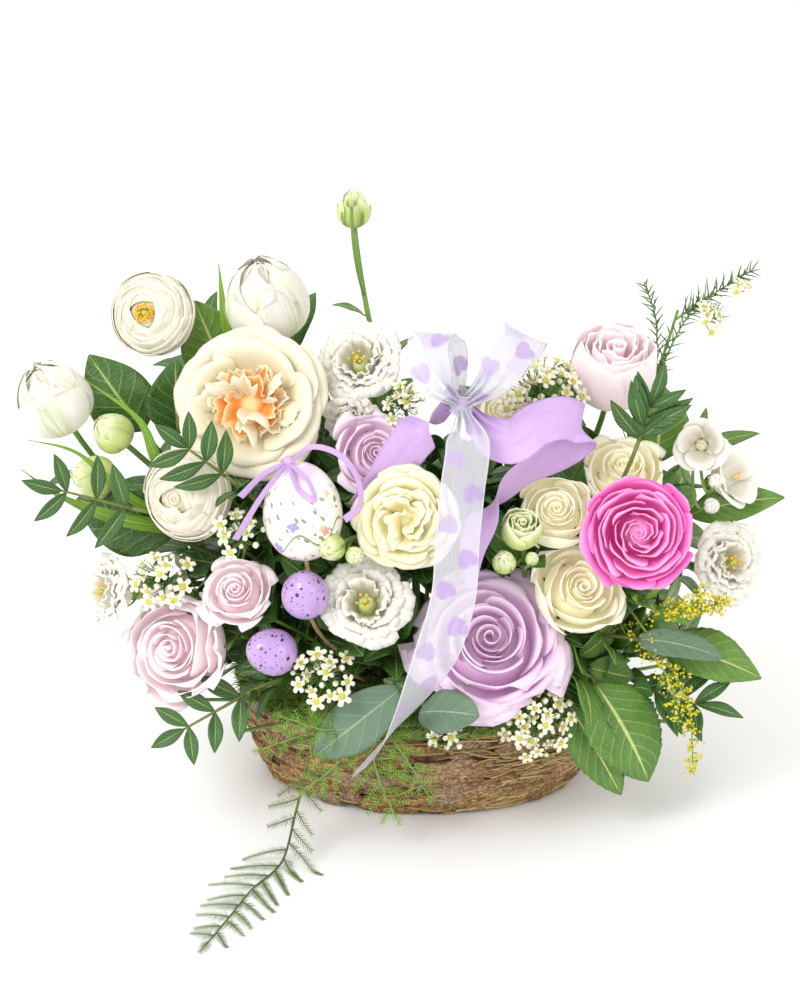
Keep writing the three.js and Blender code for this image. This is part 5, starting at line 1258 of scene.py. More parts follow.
def wax_flowers(pile, root, place, size):
    """Small dished flowers with five lobes, each a closed body whose rings run from its twig to its
    rim and back in to its eye. The rim's radius swells in five lobes."""
    way = unit(place - root)
    side = square_to(way)
    angle = TAU / 20 * np.arange(20)
    lobe = 0.42 + 0.58 * np.abs(np.cos(2.5 * angle)) ** 0.55
    swell = lambda r, w: r * mix(1, lobe, w)
    ring = np.stack([
        np.stack([swell(r, w) * np.cos(angle), swell(r, w) * np.sin(angle), z + 0 * angle], axis=-1)
        for r, z, w in WAX_PETALS + WAX_EYE
    ])
    basis = np.stack([side, np.cross(way, side), way], axis=-1)
    points = place[:, None, None] + np.einsum("rsj,kij->krsi", ring, basis) * np.reshape(size, (-1, 1, 1, 1))
    tone = np.arange(len(root)) * 0.618 % 1
    pile.rings(points[:, : len(WAX_PETALS)], 1, tone, 0.8)
    pile.rings(points[:, len(WAX_PETALS) :], 2, tone, 0.2)


def wax_cluster(pile, rand, at, facing, spread, count, needles):
    """A cluster: flowers, round buds and needles on twigs that leave one stem at different heights."""
    basis, origin = standing(at, facing)
    put = lambda p: origin + p @ basis.T
    stem = lambda t: np.stack([0 * t, 0 * t, mix(-1.1, -0.15, t) * spread], axis=-1)
    pile.tubes(put(stem(np.linspace(0, 1.05, 6))), 0.8, 6)
    k = np.arange(count)
    angle = GOLDEN_ANGLE * k
    r = spread * np.sqrt((k + 0.5) / count)
    height = 0.16 * spread * np.cos(2.1 * k) - 0.35 * r * r / spread + 0.05 * spread * rand.normal(size=count)
    place = np.stack([r * np.cos(angle), r * np.sin(angle), height], axis=-1)
    root = stem(1 - (k + 0.3) / count)
    bloom = (k % 3) < 2
    t = np.linspace(0, 1, 5)[None, :, None]
    lift = np.array([0, 0, 1.0]) * (t * (1 - t)) * (-0.3 * r[:, None, None])
    pile.tubes(put(root[:, None] * (1 - t) + place[:, None] * t + lift), 0.4, 4)
    tilt = unit((unit(place - root) + [0, 0, 0.6])[bloom])
    head = put(place)
    size = 5.4 * (0.8 + 0.35 * rand.random(bloom.sum()))
    wax_flowers(pile, head[bloom] - (tilt @ basis.T) * 2, head[bloom], size)
    scatter_balls(pile, rand, head[~bloom], WAX_BUD, 7, 1.3, 0.9, 3)
    n = needles * 3
    angle = GOLDEN_ANGLE * np.arange(n) + 1
    way = unit(np.stack([np.cos(angle), np.sin(angle), 0.5 + 0.9 * rand.random(n)], axis=-1))
    root = stem(rand.random(n) * 0.95)
    tip = root + way * (spread * 0.35 + 11 * (0.6 + 0.6 * rand.random(n)))[:, None]
    pile.spikes(put(root), put(tip), np.full(n, 0.5), 4, rand.random(n))


def scatter_balls(pile, rand, places, profile, sides, least, more, finish):
    """A small body of revolution at each place, from least to least plus more across its radius."""
    scale = (least + more * rand.random(len(places))).reshape(-1, 1, 1, 1)
    pile.rings(places[:, None, None] + turned(profile, sides) * scale, finish, rand.random(len(places)))


def needled_twig(pile, rand, points, count, length, finish, reach=0.6, start=0.1, thick=0.5):
    """Needles all round a twig, shorter to its end, each leaning along it."""
    path = course(points, 40)
    pile.tubes(path, np.linspace(0.8, 0.4 * 0.8, 40), 6)
    t = mix(start, 0.985, np.linspace(0, 1, count))
    k = (t * 39).astype(int)
    ahead = unit(np.gradient(path, axis=0))[k]
    side = unit(np.cross(ahead, [0, -1, 0.3]))
    angle = GOLDEN_ANGLE * np.arange(count)
    out = side * np.cos(angle)[:, None] + np.cross(ahead, side) * np.sin(angle)[:, None]
    way = unit(ahead * reach + out * (1 - reach * 0.5) + 0.08 * rand.normal(size=(count, 3)))
    tip = path[k] + way * (length * (1 - 0.45 * t) * (0.8 + 0.35 * rand.random(count)))[:, None]
    pile.spikes(path[k], tip, np.full(count, thick), finish, rand.random(count), sag=0.4)
    return path[k], tip


# name, clusters (place on the stalk, middle, facing, spread, flowers), stalk options
WAX_SPRAYS = [
    ("wax_left", [
        (None, [-156, -62, 162], [-20, 40], 18, 19), (0.3, [-106, -76, 195], [-5, 40], 14, 10),
    ], {"sway": (11, 0, 11)}),
    ("wax_mid", [(None, [-14, -26, 256], [-10, 40], 12, 9)], {}),
    ("wax_top", [(None, [66, -24, 266], [0, 50], 26, 38)], {}),
    ("wax_front_left", [(None, [-60, -104, 120], [-6, 40], 18, 19)], {}),
    ("wax_front_right", [
        (None, [66, -100, 84], [6, 20], 22, 30), (0.2, [12, -102, 77], [-10, 30], 10, 7),
    ], {}),
]
# the tall spray's twigs: place on the stalk, the path from there, needles, their length
TALL_TWIGS = [
    (0.02, [(166, 14, 306), (190, 6, 326)], 62, 15), (0.14, [(136, 24, 290), (128, 22, 312)], 40, 13),
    (0.2, [(150, 18, 284), (160, 14, 304)], 34, 12),
]


def wax_finishes():
    return [stems_of(), grains_of("wax_petal"), grains_of("wax_eye"), grains_of("wax_bud"), needles_of("wax")]


def build_wax(name):
    """Wax flowers: clusters of small flowers on a stalk, with needles between them."""
    (_, clusters, stalk), rand = row_of(WAX_SPRAYS, name, 500)
    pile = Pile()
    for place, at, facing, spread, count in clusters:
        basis, origin = standing(at, facing)
        foot, aim = origin - 1.1 * spread * basis[:, 2], basis[:, 2]
        if place is None:
            path = stalk_path(foot, aim, **stalk)
            pile.tubes(path, 1.2, 7)
        else:
            pile.tubes(twig_path(along(path, place), foot, aim, 0.4), 0.9, 6)
        wax_cluster(pile, rand, at, facing, spread, count, 12)
    needled_twig(pile, rand, list(path[::-1][12:23:3]), 60, 14, 4, start=0.05)
    make_piece(name, pile, wax_finishes(), [name])


def build_tall_wax():
    """The tall needled spray at the right: three twigs and two small clusters on a long stalk."""
    rand = np.random.default_rng(560)
    pile = Pile()
    aim = unit(np.array([0.35, 0, 0.94]))
    path = stalk_path((148, 20, 294), aim, sway=(14, 6, -14), hub=(18, 10, 42), count=30)
    pile.tubes(path, np.linspace(0.9, 1.3, 30), 7)
    for place, points, count, length in TALL_TWIGS:
        needled_twig(pile, rand, [along(path, place), *points], count, length, 4)
    needled_twig(pile, rand, list(path[::-1][8:29:4]), 70, 15, 4, start=0.05)
    wax_cluster(pile, rand, [168, 2, 298], [40, 40], 9, 8, 2)
    wax_cluster(pile, rand, [184, 4, 316], [40, 60], 6, 5, 0)
    make_piece("wax_right_tall", pile, wax_finishes(), ["wax_right_tall"])


def build_solidago():
    """Goldenrod: twigs with small leaves and clouds of tiny yellow florets."""
    rand = np.random.default_rng(600)
    pile = Pile()
    path = stalk_path((136, -70, 142), unit(np.array([0.6, -0.4, 0.3])), sway=(0, 27, 27))
    pile.tubes(path, 1.2, 7)
    for place, points, count in (
        (0.02, [(154, -78, 148), (174, -80, 154)], 26), (0.1, [(148, -84, 150), (160, -86, 164)], 18),
        (0.16, [(150, -92, 100), (157, -98, 50)], 30), (0.3, [(140, -92, 110), (146, -100, 84)], 18),
    ):
        twig = [along(path, place), *points]
        roots, tips = needled_twig(pile, rand, twig, count, 9, 1, reach=0.4, start=0.2, thick=0.4)
        spots = mix(roots[:, None], tips[:, None], rand.random((count, 9, 1)) ** 0.7)
        spots = (spots + 1.4 * rand.normal(size=(count, 9, 3))).reshape(-1, 3)
        scatter_balls(pile, rand, spots, FLORET, 6, 0.5, 0.5, 2)
    stalk_leaves(pile, rand, path, 8, 24, 6, 1, span=(0.02, 0.4), grid=(7, 3))
    finishes = [stems_of(), needles_of("solidago"), grains_of("solidago")]
    make_piece("solidago", pile, finishes, ["solidago"])


FROND_LEAN, FROND_FLOOR = 52, 0.6  # degrees between a frond's branches and its stem, and its lowest mm


def frond(pile, rand, path, face, first, last, branches, reach, gap, needle):
    """A frond: side branches left and right in turn along its stem, shorter to its tip, each set on
    both sides with fine needles. Nothing of it goes below the floor."""
    n = len(path)
    ahead = unit(np.gradient(path, axis=0))
    normal = np.array(face, float)
    for k in range(branches):
        t = mix(first, last, k / (branches - 1))
        i = min(int(t * (n - 1)), n - 2)
        way = ahead[i]
        across = unit(np.cross(way, normal))
        lead = k == branches - 1 and last > 0.9
        angle = 0 if lead else math.radians(FROND_LEAN + 6 * rand.normal()) * (1 if k % 2 else -1)
        out = way * math.cos(angle) + across * math.sin(angle)
        out = unit(out + 0.08 * rand.normal(size=3) * unit(normal))
        q = (t - first) / (1.02 - first)
        length = reach * math.sin(math.pi * (0.42 + 0.32 * (1 - q))) * (1 - 0.75 * q)
        length = length * (0.9 + 0.2 * rand.random())
        s = np.linspace(0, 1, 8)[:, None]
        branch = path[i] + out * s * length + unit(normal) * (0.06 * length * s * (1 - s) * 4)
        branch[:, 2] = np.maximum(branch[:, 2], FROND_FLOOR)
        pile.tubes(branch, np.linspace(0.45, 0.2, 8), 4, 0)
        count = max(4, int(length / gap))
        m = np.repeat(np.arange(count), 2)
        side = np.tile([-1.0, 1.0], count)
        q = (m + 0.5) / count
        root = path[i] + out * (q * length)[:, None] + unit(normal) * (0.24 * length * q * (1 - q))[:, None]
        spread = unit(np.cross(out, normal))
        tips = unit(out * 0.75 + spread * side[:, None] + 0.25 * rand.normal(size=(len(m), 1)) * unit(normal))
        tips = root + tips * (needle * (1 - 0.55 * q) * (0.85 + 0.3 * rand.random(len(m))))[:, None]
        for ends in (root, tips):
            ends[:, 2] = np.maximum(ends[:, 2], FROND_FLOOR)
        pile.spikes(root, tips, np.full(len(m), 0.32), 1, rand.random(len(m)))


TRAILING = [
    (-56, -84, 88), (-66, -100, 70), (-76, -108, 30), (-84, -120, 4), (-100, -146, 1.7), (-112, -176, 1.7),
    (-123, -203, 1.7),
]
FRONT_FERN = [(-30, -86, 92), (-32, -100, 72), (-26, -104, 46), (-18, -104, 26)]
FRONT_SPRAYS = [  # path, reach of the branches
    ([(-34, -92, 84), (-52, -108, 62), (-70, -112, 48)], 24),
    ([(-36, -90, 86), (-72, -98, 76), (-96, -104, 70)], 22),
    ([(-28, -92, 84), (-8, -112, 62), (2, -108, 40)], 20),
    ([(-34, -92, 86), (-56, -106, 84), (-84, -104, 92)], 20),
]


def build_ferns():
    """Ferns: a trailing frond that comes down over the rim and lies on the table, and brighter
    feathery ones in front of the basket."""
    rand = np.random.default_rng(700)
    pile = Pile()
    path = course(TRAILING, 90)
    pile.tubes(stalk_path(path[1], unit(path[0] - path[1]) * -1, sway=(8, 0, 0)), 1.1, 7)
    pile.tubes(path, np.linspace(1.0, 0.45, 90), 7)
    frond(pile, rand, path, (-0.3, -0.9, 0.3), 0.22, 0.4, 7, 26, 1.5, 5)
    frond(pile, rand, path, (0, -0.3, 1), 0.44, 0.985, 19, 40, 1.3, 4.6)
    make_piece("fern_trailing", pile, [stems_of("fern"), needles_of("fern")], ["fern_trailing"])
    pile = Pile()
    path = course(FRONT_FERN, 60)
    pile.tubes(stalk_path(path[1], unit(path[1] - path[0]) * -1), 1.1, 7)
    pile.tubes(path, np.linspace(1.0, 0.5, 60), 7)
    frond(pile, rand, path, (0, -1, 0.3), 0.15, 0.985, 13, 36, 1.7, 5)
    for points, reach in FRONT_SPRAYS:
        spray = course(points, 40)
        pile.tubes(spray, np.linspace(0.8, 0.4, 40), 6)
        frond(pile, rand, spray, (0, -1, 0.4), 0.2, 0.985, 10, reach, 1.7, 4.6)
    make_piece("fern_front", pile, [stems_of(), needles_of("fern_bright")], ["fern_front"])


# ---------------------------------------------------------------- ribbons

SATIN_KNOT = (20, -56, 267)
ORGANZA_KNOT = (20, -66, 271)
# each route's points with the way across the ribbon there
SATIN_TAIL = [
    ((17, -57, 268), (0.5, 0, 0.86)), ((2, -66, 260), (0.75, 0, 0.66)),
    ((-12, -68, 243), (0.87, 0.1, 0.5)), ((-24, -68, 222), (0.9, 0.1, 0.42)),
    ((-34, -66, 205), (0.93, 0.1, 0.34)),
]
SATIN_LOOP = [
    ((22, -57, 266), (0.3, 0.2, 0.93)), ((33, -62, 253), (0.35, 0.3, 0.88)),
    ((48, -66, 247), (0.2, 0.5, 0.84)), ((62, -62, 256), (-0.3, 0.35, 0.88)),
    ((78, -54, 257), (-0.25, 0.2, 0.94)), ((89, -46, 248), (0.25, 0.15, 0.95)),
    ((80, -46, 236), (0.5, 0.1, 0.86)), ((60, -56, 227), (0.45, 0.1, 0.88)),
    ((38, -74, 214), (0.45, 0.1, 0.88)), ((27, -90, 196), (0.8, 0.2, 0.55)),
    ((25, -100, 172), (0.98, 0.1, 0.1)),
]
ORGANZA_LEFT = [
    ((18, -69, 272), (0.8, 0.3, 0.5)), ((6, -76, 286), (0.85, -0.2, 0.5)),
    ((0, -72, 301), (0.95, -0.3, 0.1)), ((3, -58, 310), (0.95, -0.3, 0)),
    ((9, -49, 300), (0.95, -0.3, -0.1)), ((15, -56, 285), (0.85, -0.4, -0.2)),
    ((19, -66, 273), (0.8, -0.5, -0.2)),
]
ORGANZA_RIGHT = [
    ((22, -69, 272), (0.6, -0.4, -0.6)), ((35, -76, 286), (0.7, -0.3, -0.6)),
    ((44, -72, 300), (0.8, -0.2, -0.5)), ((54, -58, 309), (0.85, -0.1, -0.4)),
    ((55, -47, 300), (0.9, 0, -0.3)), ((39, -54, 285), (0.85, 0.2, -0.3)),
    ((23, -66, 273), (0.8, 0.2, -0.3)),
]
ORGANZA_TAIL = [
    ((20, -70, 269), (1, 0, -0.1)), ((23, -80, 252), (0.98, 0, -0.2)), ((20, -92, 230), (1, 0, 0.1)),
    ((17, -106, 204), (1, 0, 0.1)), ((15, -120, 178), (1, 0, 0.15)), ((8, -130, 154), (0.95, 0.1, 0.3)),
    ((-3, -133, 128), (0.9, 0.1, 0.4)), ((-16, -131, 102), (0.75, 0.4, 0.4)),
    ((-30, -128, 80), (0.45, 0.7, 0.4)), ((-42, -120, 62), (0.3, 0.8, 0.3)),
]


RIBBON_COLUMNS, PLEATS = 25, 3


def ribbon_strip(route, width, gathered=(0, 0), taper=0.0, rows=90):
    """A ribbon carried along its route, flat across the way given at each point. Where it is
    gathered it narrows, and what it loses in width stands up in pleats, so that its area stays.
    Returns the strip, its length, its chart in ribbon widths and its area."""
    path = course([p for p, _ in route], rows)
    ways = course([w for _, w in route], rows)
    ahead = unit(np.gradient(path, axis=0))
    across = unit(ways - ahead * (ways * ahead).sum(axis=1, keepdims=True))
    face = np.cross(across, ahead)
    t = np.linspace(0, 1, rows)
    narrow = np.ones(rows)
    for part, way in zip(gathered, (t, 1 - t)):
        if part:
            narrow = np.minimum(narrow, 0.3 + 0.7 * rise(way / part, 0, 1))
    point = 1 - taper * np.maximum(0, (t - 0.8) / 0.2)
    u = np.linspace(-1, 1, RIBBON_COLUMNS)[None, :]
    half = (0.5 * width * narrow * point)[:, None]
    height = 2 * half / PLEATS / TAU * np.sqrt(2 * (1 / narrow[:, None] ** 2 - 1))
    lift = height * np.sin(PLEATS * math.pi * u)
    strip = path[:, None] + (u * half)[..., None] * across[:, None] + lift[..., None] * face[:, None]
    run = np.concatenate([[0], np.cumsum(np.linalg.norm(np.diff(path, axis=0), axis=1))])
    chart = np.stack(np.broadcast_arrays(0.5 + 0.5 * u * point[:, None], (run / width)[:, None]), axis=-1)
    area = width * np.sum(0.5 * (point[1:] + point[:-1]) * np.diff(run))
    return strip, run[-1], chart, area


def ribbon_piece(name, route, finish, slot, rests_on, nodes=(), **shape):
    width = sizes().ribbon_width / MM
    strip, length, chart, area = ribbon_strip(route, width, **shape)
    pile = Pile()
    pile.sheets(strip[None], sizes().ribbon_wall / MM, 0, 0.5, 0.5, chart)
    piece = make_piece(name, pile, [finish], nodes)
    part = area / (width * length)
    length * MM
    None if part > 0.999 else float(area * MM * MM)
    return piece


def knot_piece(name, at, finish, wide, tall, turn=0.0):
    """A ribbon's knot: a pleated strip wound once round the bow's middle and lapped over itself."""
    rows, columns = 40, 21
    t = np.linspace(0, 1, rows)[:, None]
    u = np.linspace(-1, 1, columns)[None, :]
    angle = TAU * 1.08 * t + math.pi / 2
    pinch = 1 - 0.18 * np.cos(math.pi * u / 2) + 0.05 * np.sin(9 * u + 1.5 * np.sin(angle)) + 0.06 * t
    x = wide * pinch * np.cos(angle) * 0.9
    y = wide * 0.75 * pinch * np.sin(angle)
    z = tall * u * (1 + 0.12 * np.cos(angle))
    c, s = math.cos(turn), math.sin(turn)
    points = np.stack([c * x + s * z, y, c * z - s * x], axis=-1) + np.array(at, float)
    pile = Pile()
    pile.sheets(points[None], sizes().ribbon_wall / MM, 0)
    piece = make_piece(name, pile, [finish])
    return piece


@made_once
def satin_finish(name, colour):
    """Satin: smooth floats along the ribbon that stretch the highlight, and a woven edge. Its colour is
    painted darker over soft creases, a painted shade, and paler along the floats, a painted sheen.
    """
    f = Finish(name, Sheen_Weight=0.3, Sheen_Roughness=0.35, Anisotropic=0.5)
    u, v = f.chart()
    floats_and_sheen = f.grain(u * 160, v * 5, 0.0, 2)
    weave = (u * 700).math("SINE") * (v * 620).math("SINE")
    crease_and_shade = f.grain(u * 5, v * 0.9, 0.0, 2)
    edge = u.from_middle().rise(0.462, 0.475)
    pale, deep = tinted(colour, "#efe2f7", 0.45), tinted(colour, "#8e63b0", 0.5)
    # Painted shade: the colour is darker where the ribbon creases.
    base = f.mix(colour, deep, crease_and_shade.rise(0.45, 0.75) * 0.4)
    # Painted sheen: the floats are painted paler, as if they caught the light.
    base = f.mix(base, pale, floats_and_sheen.rise(0.45, 0.8) * 0.5)
    f.set("Roughness", floats_and_sheen * 0.14 + 0.25 + edge * 0.2)
    relief = floats_and_sheen * 0.5 + weave * 0.08 + crease_and_shade * 1.5 + edge
    return f.done(f.mix(base, deep, edge * 0.35), relief, 0.0003)


@made_once
def organza_finish(name, colour, heart):
    """Organza: a sheer weave that shimmers lengthwise, with hearts scattered over it. A heart is
    where (x2 + y2 - 1)3 - x2 y3 is below 0, turned a little in each cell."""
    f = Finish(name, Roughness=0.35, Sheen_Weight=0.4, Sheen_Roughness=0.3)
    u, v = f.chart()
    row = (v * 1.35).math("FLOOR")
    luck = f.node("TexWhiteNoise", {"noise_dimensions": "2D"}, Vector=f.vector(row, 3.0))
    lean = (luck - 0.5) * 1.5
    x0 = (u - 0.72 + (row * 0.5).math("FRACT") * 0.9) * 4.9
    y0 = ((v * 1.35).math("FRACT") - 0.5) * 3.7
    x = x0 * lean.math("COSINE") - y0 * lean.math("SINE")
    y = x0 * lean.math("SINE") + y0 * lean.math("COSINE")
    ring = x * x + y * y - 1
    inside = 1 - (ring * ring * ring - x * x * y * y * y).rise(-0.05, 0.05)
    threads = (u * 620).math("SINE") * 0.5 + (v * 620).math("SINE") * 0.5
    shimmer = f.grain(u * 22, v * 0.8, 0.0, 3)
    edge = u.from_middle().rise(0.465, 0.475)
    base = f.mix(colour, tinted(colour, "#cfc8de", 0.7), shimmer.rise(0.4, 0.7) * 0.6)
    alpha = 0.3 + shimmer * 0.3 + edge * 0.4 + inside * 0.22 + threads * 0.05
    f.set("Alpha", alpha.math("MINIMUM", 1.0))
    return f.done(f.mix(base, heart, inside * (luck * 0.55 + 0.3)), threads * 0.3 + shimmer, 0.0003, 0.4)


def build_satin():
    """The satin ribbon's loop with its cut end, the tail behind it, and its knot."""
    finish = satin_finish("satin", tuple(colours().satin))
    ribbon_piece("satin_ribbon", SATIN_LOOP, finish, "satin", ["bow_pick", "rose_cream_mid"],
                 ["satin_ribbon"], gathered=(0.15, 0), taper=0.8)
    ribbon_piece("satin_tail", SATIN_TAIL, finish, "satin", ["bow_pick", "rose_lilac"], gathered=(0.12, 0),
                 rows=50)
    knot_piece("satin_knot", SATIN_KNOT, finish, 7, 6)


def build_organza():
    """The sheer ribbon's front tail, its two loops and its knot."""
    finish = organza_finish("organza", tuple(colours().organza), tuple(colours().hearts))
    ribbon_piece("organza_ribbon", ORGANZA_TAIL, finish, "organza", ["bow_pick", "rose_lavender"],
                 ["organza_ribbon"], gathered=(0.1, 0), taper=0.85, rows=120)
    for name, route in (("organza_loop_left", ORGANZA_LEFT), ("organza_loop_right", ORGANZA_RIGHT)):
        ribbon_piece(name, route, finish, "organza", ["bow_pick"], gathered=(0.3, 0.3))
    knot_piece("organza_knot", ORGANZA_KNOT, finish, 7.5, 6, 0.2)


# ---------------------------------------------------------------- eggs

EGG_BOW = (-77, -92, 246)
EGG_BOW_TAILS = [
    [(-78, -93, 246), (-90, -96, 241), (-104, -97, 227)],
    [(-78, -94, 245), (-90, -101, 232), (-107, -104, 204)],
    [(-76, -93, 246), (-64, -94, 256), (-48, -92, 250), (-38, -90, 233), (-38, -92, 219), (-46, -97, 213)],
    [(-76, -95, 246), (-66, -104, 240), (-62, -112, 232), (-70, -110, 236), (-76, -97, 245)],
]
# name, middle, facing, radius, length
EGGS = [
    ("painted_egg", (-70, -84, 213), (-6, 76), 22.5, 62),
    ("speckled_egg_upper", (-69, -95, 166), (-10, 60), 13.5, 30),
    ("speckled_egg_lower", (-89, -95, 129), (-60, 25), 13.5, 31),
]


def egg_rings(at, facing, radius, length):
    """An egg: a circle of radius times the sine of the way down, fuller at its blunt lower end."""
    basis, origin = standing(at, facing)
    angle = math.pi * mix(0.012, 0.988, np.linspace(0, 1, 44))
    out = radius * np.sin(angle) * (1 + 0.13 * np.cos(angle))
    profile = np.stack([out, -0.5 * length * np.cos(angle)], axis=-1)
    return origin + turned(profile, 64) @ basis.T


@made_once
def painted_egg_finish(name):
    """A white glazed egg: sprigs of small painted flowers and leaves round its middle and a wash of
    lilac at its top. Each cell of a jittered net holds one flower, whose petals are five lobes of an
    angle round its middle."""
    f = Finish(
        name, Roughness=0.12, Coat_Weight=0.6, Coat_Roughness=0.08, Subsurface_Weight=0.05,
        Subsurface_Scale=0.002,
    )
    u, v = f.chart()
    spot = f.vector(u * 15, v * 9.5, 0)
    distance, shade, place = (f.cells(spot, out=out) for out in range(3))
    dx = u * 15 - f.split(place)[0]
    dy = v * 9.5 - f.split(place)[1]
    red, green, blue = f.split(shade)
    angle = dy.math("ARCTAN2", dx) + red * 6
    lobes = 0.2 + 0.13 * (angle * 2.5).math("SINE").math("ABSOLUTE")
    flower = 1 - (distance - lobes * (blue * 0.6 + 0.7)).rise(-0.02, 0.02)
    eye = 1 - distance.rise(0.05, 0.075)
    leaf_gap = f.cells(f.vector(u * 29 + v * 9, v * 16, 3))
    band = v.rise(0.08, 0.2) * (1 - v.rise(0.66, 0.8))
    leaves = (1 - leaf_gap.rise(0.27, 0.33)) * f.grain(u * 9, v * 9, 0.0, 1).rise(0.4, 0.48)
    vine = (v - 0.42 + (u * 31.4).math("SINE") * 0.07 + (u * 12.6).math("SINE") * 0.05).math("ABSOLUTE")
    leaves = leaves.math("MAXIMUM", 1 - vine.rise(0.006, 0.012))
    wash = f.grain(u * 4, v * 3, 0.0, 3)
    colour = f.mix("#f3eee8", "#e9dcc8", wash.rise(0.5, 0.8) * 0.5 * band)
    colour = f.mix(colour, f.mix("#6f8f3f", "#3f6b34", wash), leaves * band * 0.85)
    tint = f.mix(f.mix("#d77ba8", "#8f7fd0", red.rise(0.35, 0.45)), "#e9a13c", green.rise(0.62, 0.7))
    colour = f.mix(colour, tint, flower * band * blue.rise(0.1, 0.2) * 0.9)
    colour = f.mix(colour, "#f5d25a", eye * band * blue.rise(0.1, 0.2))
    colour = f.mix(colour, "#cdb2dc", v.rise(0.8, 0.9) * 0.7)
    return f.done(colour, flower * band * 0.3 + wash * 0.2, 0.0002, 0.4)


@made_once
def speckled_egg_finish(name):
    """A lilac egg with dark specks of many sizes and a faint bloom of tone."""
    f = Finish(
        name, Roughness=0.22, Coat_Weight=0.35, Coat_Roughness=0.2, Subsurface_Weight=0.08,
        Subsurface_Scale=0.002,
    )
    spots = f.cells(f.place(), 330.0)
    size = f.split(f.cells(f.place(), 330.0, out=1))[0]
    fine = f.cells(f.place(), 800.0)
    fine_size = f.split(f.cells(f.place(), 800.0, out=1))[1]
    ragged = (f.noise(f.place(), 900.0, 2) - 0.5) * 0.25
    big = 1 - (spots + ragged - size.rise(0.45, 1.0) * 0.42).rise(-0.03, 0.03)
    small = 1 - (fine + ragged - fine_size.rise(0.6, 1.0) * 0.42).rise(-0.03, 0.03)
    bloom = f.noise(f.place(), 90.0, 3)
    colour = f.mix("#a983c6", "#c7a9dc", bloom)
    colour = f.mix(colour, "#7f5aa0", small * 0.6)
    dark = (big + small * 0.5).math("MINIMUM", 1.0) * 0.92
    return f.done(f.mix(colour, "#2c1638", dark), bloom + big * 0.3, 0.0003, 0.4)


@made_once
def wood_finish(name):
    """A pale wooden pick: long grain with darker lines."""
    f = Finish(name, Roughness=0.7)
    x, y, z = f.split(f.place())
    grain = f.grain(x * 900, y * 900, z * 60, 3)
    return f.done(f.mix("#d3b283", "#9a7748", grain.rise(0.4, 0.7)), grain, 0.0003)


def build_eggs():
    """The painted egg and the two speckled eggs, each on a pick in the foam."""
    for name, at, facing, radius, length in EGGS:
        painted = name == "painted_egg"
        glaze = painted_egg_finish("painted_egg") if painted else speckled_egg_finish("speckled_egg")
        pile = Pile()
        pile.rings(egg_rings(at, facing, radius, length), 0)
        basis, origin = standing(at, facing)
        pile.tubes(stalk_path(origin - 0.46 * length * basis[:, 2], basis[:, 2]), 1.2, 8, 1)
        make_piece(name, pile, [glaze, wood_finish("wood")], [name])


def build_egg_bow():
    """The small bow on the painted egg: two tails and two loops of narrow ribbon, which widen from
    the knot, and the knot itself."""
    satin = satin_finish("satin", tuple(colours().satin))
    pile, knot_pile = Pile(), Pile()
    half, rows = 2.4, 40
    narrow = np.linspace(0.55, 1.0, rows)
    u = np.linspace(-1, 1, 7)[None, :, None]
    lengths, area = [], 0.0
    for points in EGG_BOW_TAILS:
        path = course(points, rows)
        across = unit(np.cross(np.gradient(path, axis=0), [0.6, -0.6, 0.2]))[:, None]
        strip = path[:, None] + half * u * across * narrow[:, None, None]
        pile.sheets(strip[None], 0.3, 0, 0.5, 0.5)
        steps = np.linalg.norm(np.diff(path, axis=0), axis=1)
        lengths.append(steps.sum())
        area += 2 * half * float((steps * (narrow[1:] + narrow[:-1]) / 2).sum())
    knot = turned([[0.3, -1], [0.9, -0.5], [0.8, 0.0], [0.9, 0.5], [0.3, 1]], 16, 0.05) * [3.8, 2.8, 3.4]
    knot_pile.rings(knot + np.array(EGG_BOW), 0)
    bow = make_piece("egg_bow", pile, [satin], ["egg_bow"])
    tie = make_piece("egg_bow_knot", knot_pile, [satin], ["egg_bow"])


# ---------------------------------------------------------------- basket and moss


def basket_point(angle, height, out=0.0):
    """A point of the basket's outside: an oval that widens with the root of the height."""
    t = np.sqrt(np.clip(height, 0, None) / RIM["height"])
    long = mix(RIM["base"][0], RIM["rim"][0], t) + out
    wide = mix(RIM["base"][1], RIM["rim"][1], t) + out
    return np.stack([long * np.cos(angle), wide * np.sin(angle), height + 0 * angle], axis=-1)


@made_once
def bark_finish(name, dark, mid, light, grey):
    """Bark: layered flakes with dark cracks between, weathered grey in patches."""
    f = Finish(name, Roughness=0.92)
    x, y, z = f.split(f.place())
    tone = f.attribute("tone")
    layers = f.noise(f.vector(x * 60, y * 60, z * 420), detail=4, rough=0.65)
    cork = f.noise(f.place(), 210.0, 4, 0.6)
    warp = cork * 0.008
    crack = f.cells(f.vector(x + warp, y + warp * tone, z * 1.3 + layers * 0.006), 250.0, "DISTANCE_TO_EDGE")
    colour = f.mix(mid, light, cork.rise(0.35, 0.7) * 0.8 + (tone - 0.5) * 1.1)
    colour = f.mix(colour, dark, layers.rise(0.5, 0.68) * 0.75)
    colour = f.mix(colour, grey, tone.rise(0.55, 0.8) * 0.55)
    colour = f.mix(shaded(linear(dark), 0.35), colour, crack.rise(0.0, 0.09) * 0.5 + 0.5)
    return f.done(colour, layers * 0.8 + cork * 0.6 + crack.rise(0.0, 0.1) * 0.5, 0.0012, 0.9)


@made_once
def straw_finish(name):
    """Straw: pale and darker stalks with a grain along them."""
    f = Finish(name, Roughness=0.6)
    u, v = f.chart()
    tone = f.attribute("tone")
    grain = f.grain(u * 12, v * 40, tone * 40, 3)
    return f.done(f.mix("#86653a", "#dec48a", tone * 0.8 + (grain - 0.5) * 0.8), grain, 0.0003)


@made_once
def wire_finish(name):
    """Wire: drawn metal with fine scratches."""
    f = Finish(name, Metallic=1.0)
    scratch = f.noise(f.place(), 500.0, 2)
    f.set("Roughness", scratch * 0.25 + 0.3)
    return f.done(f.mix("#8f8f92", "#c9c9cc", scratch), scratch, 0.0001, 0.3)


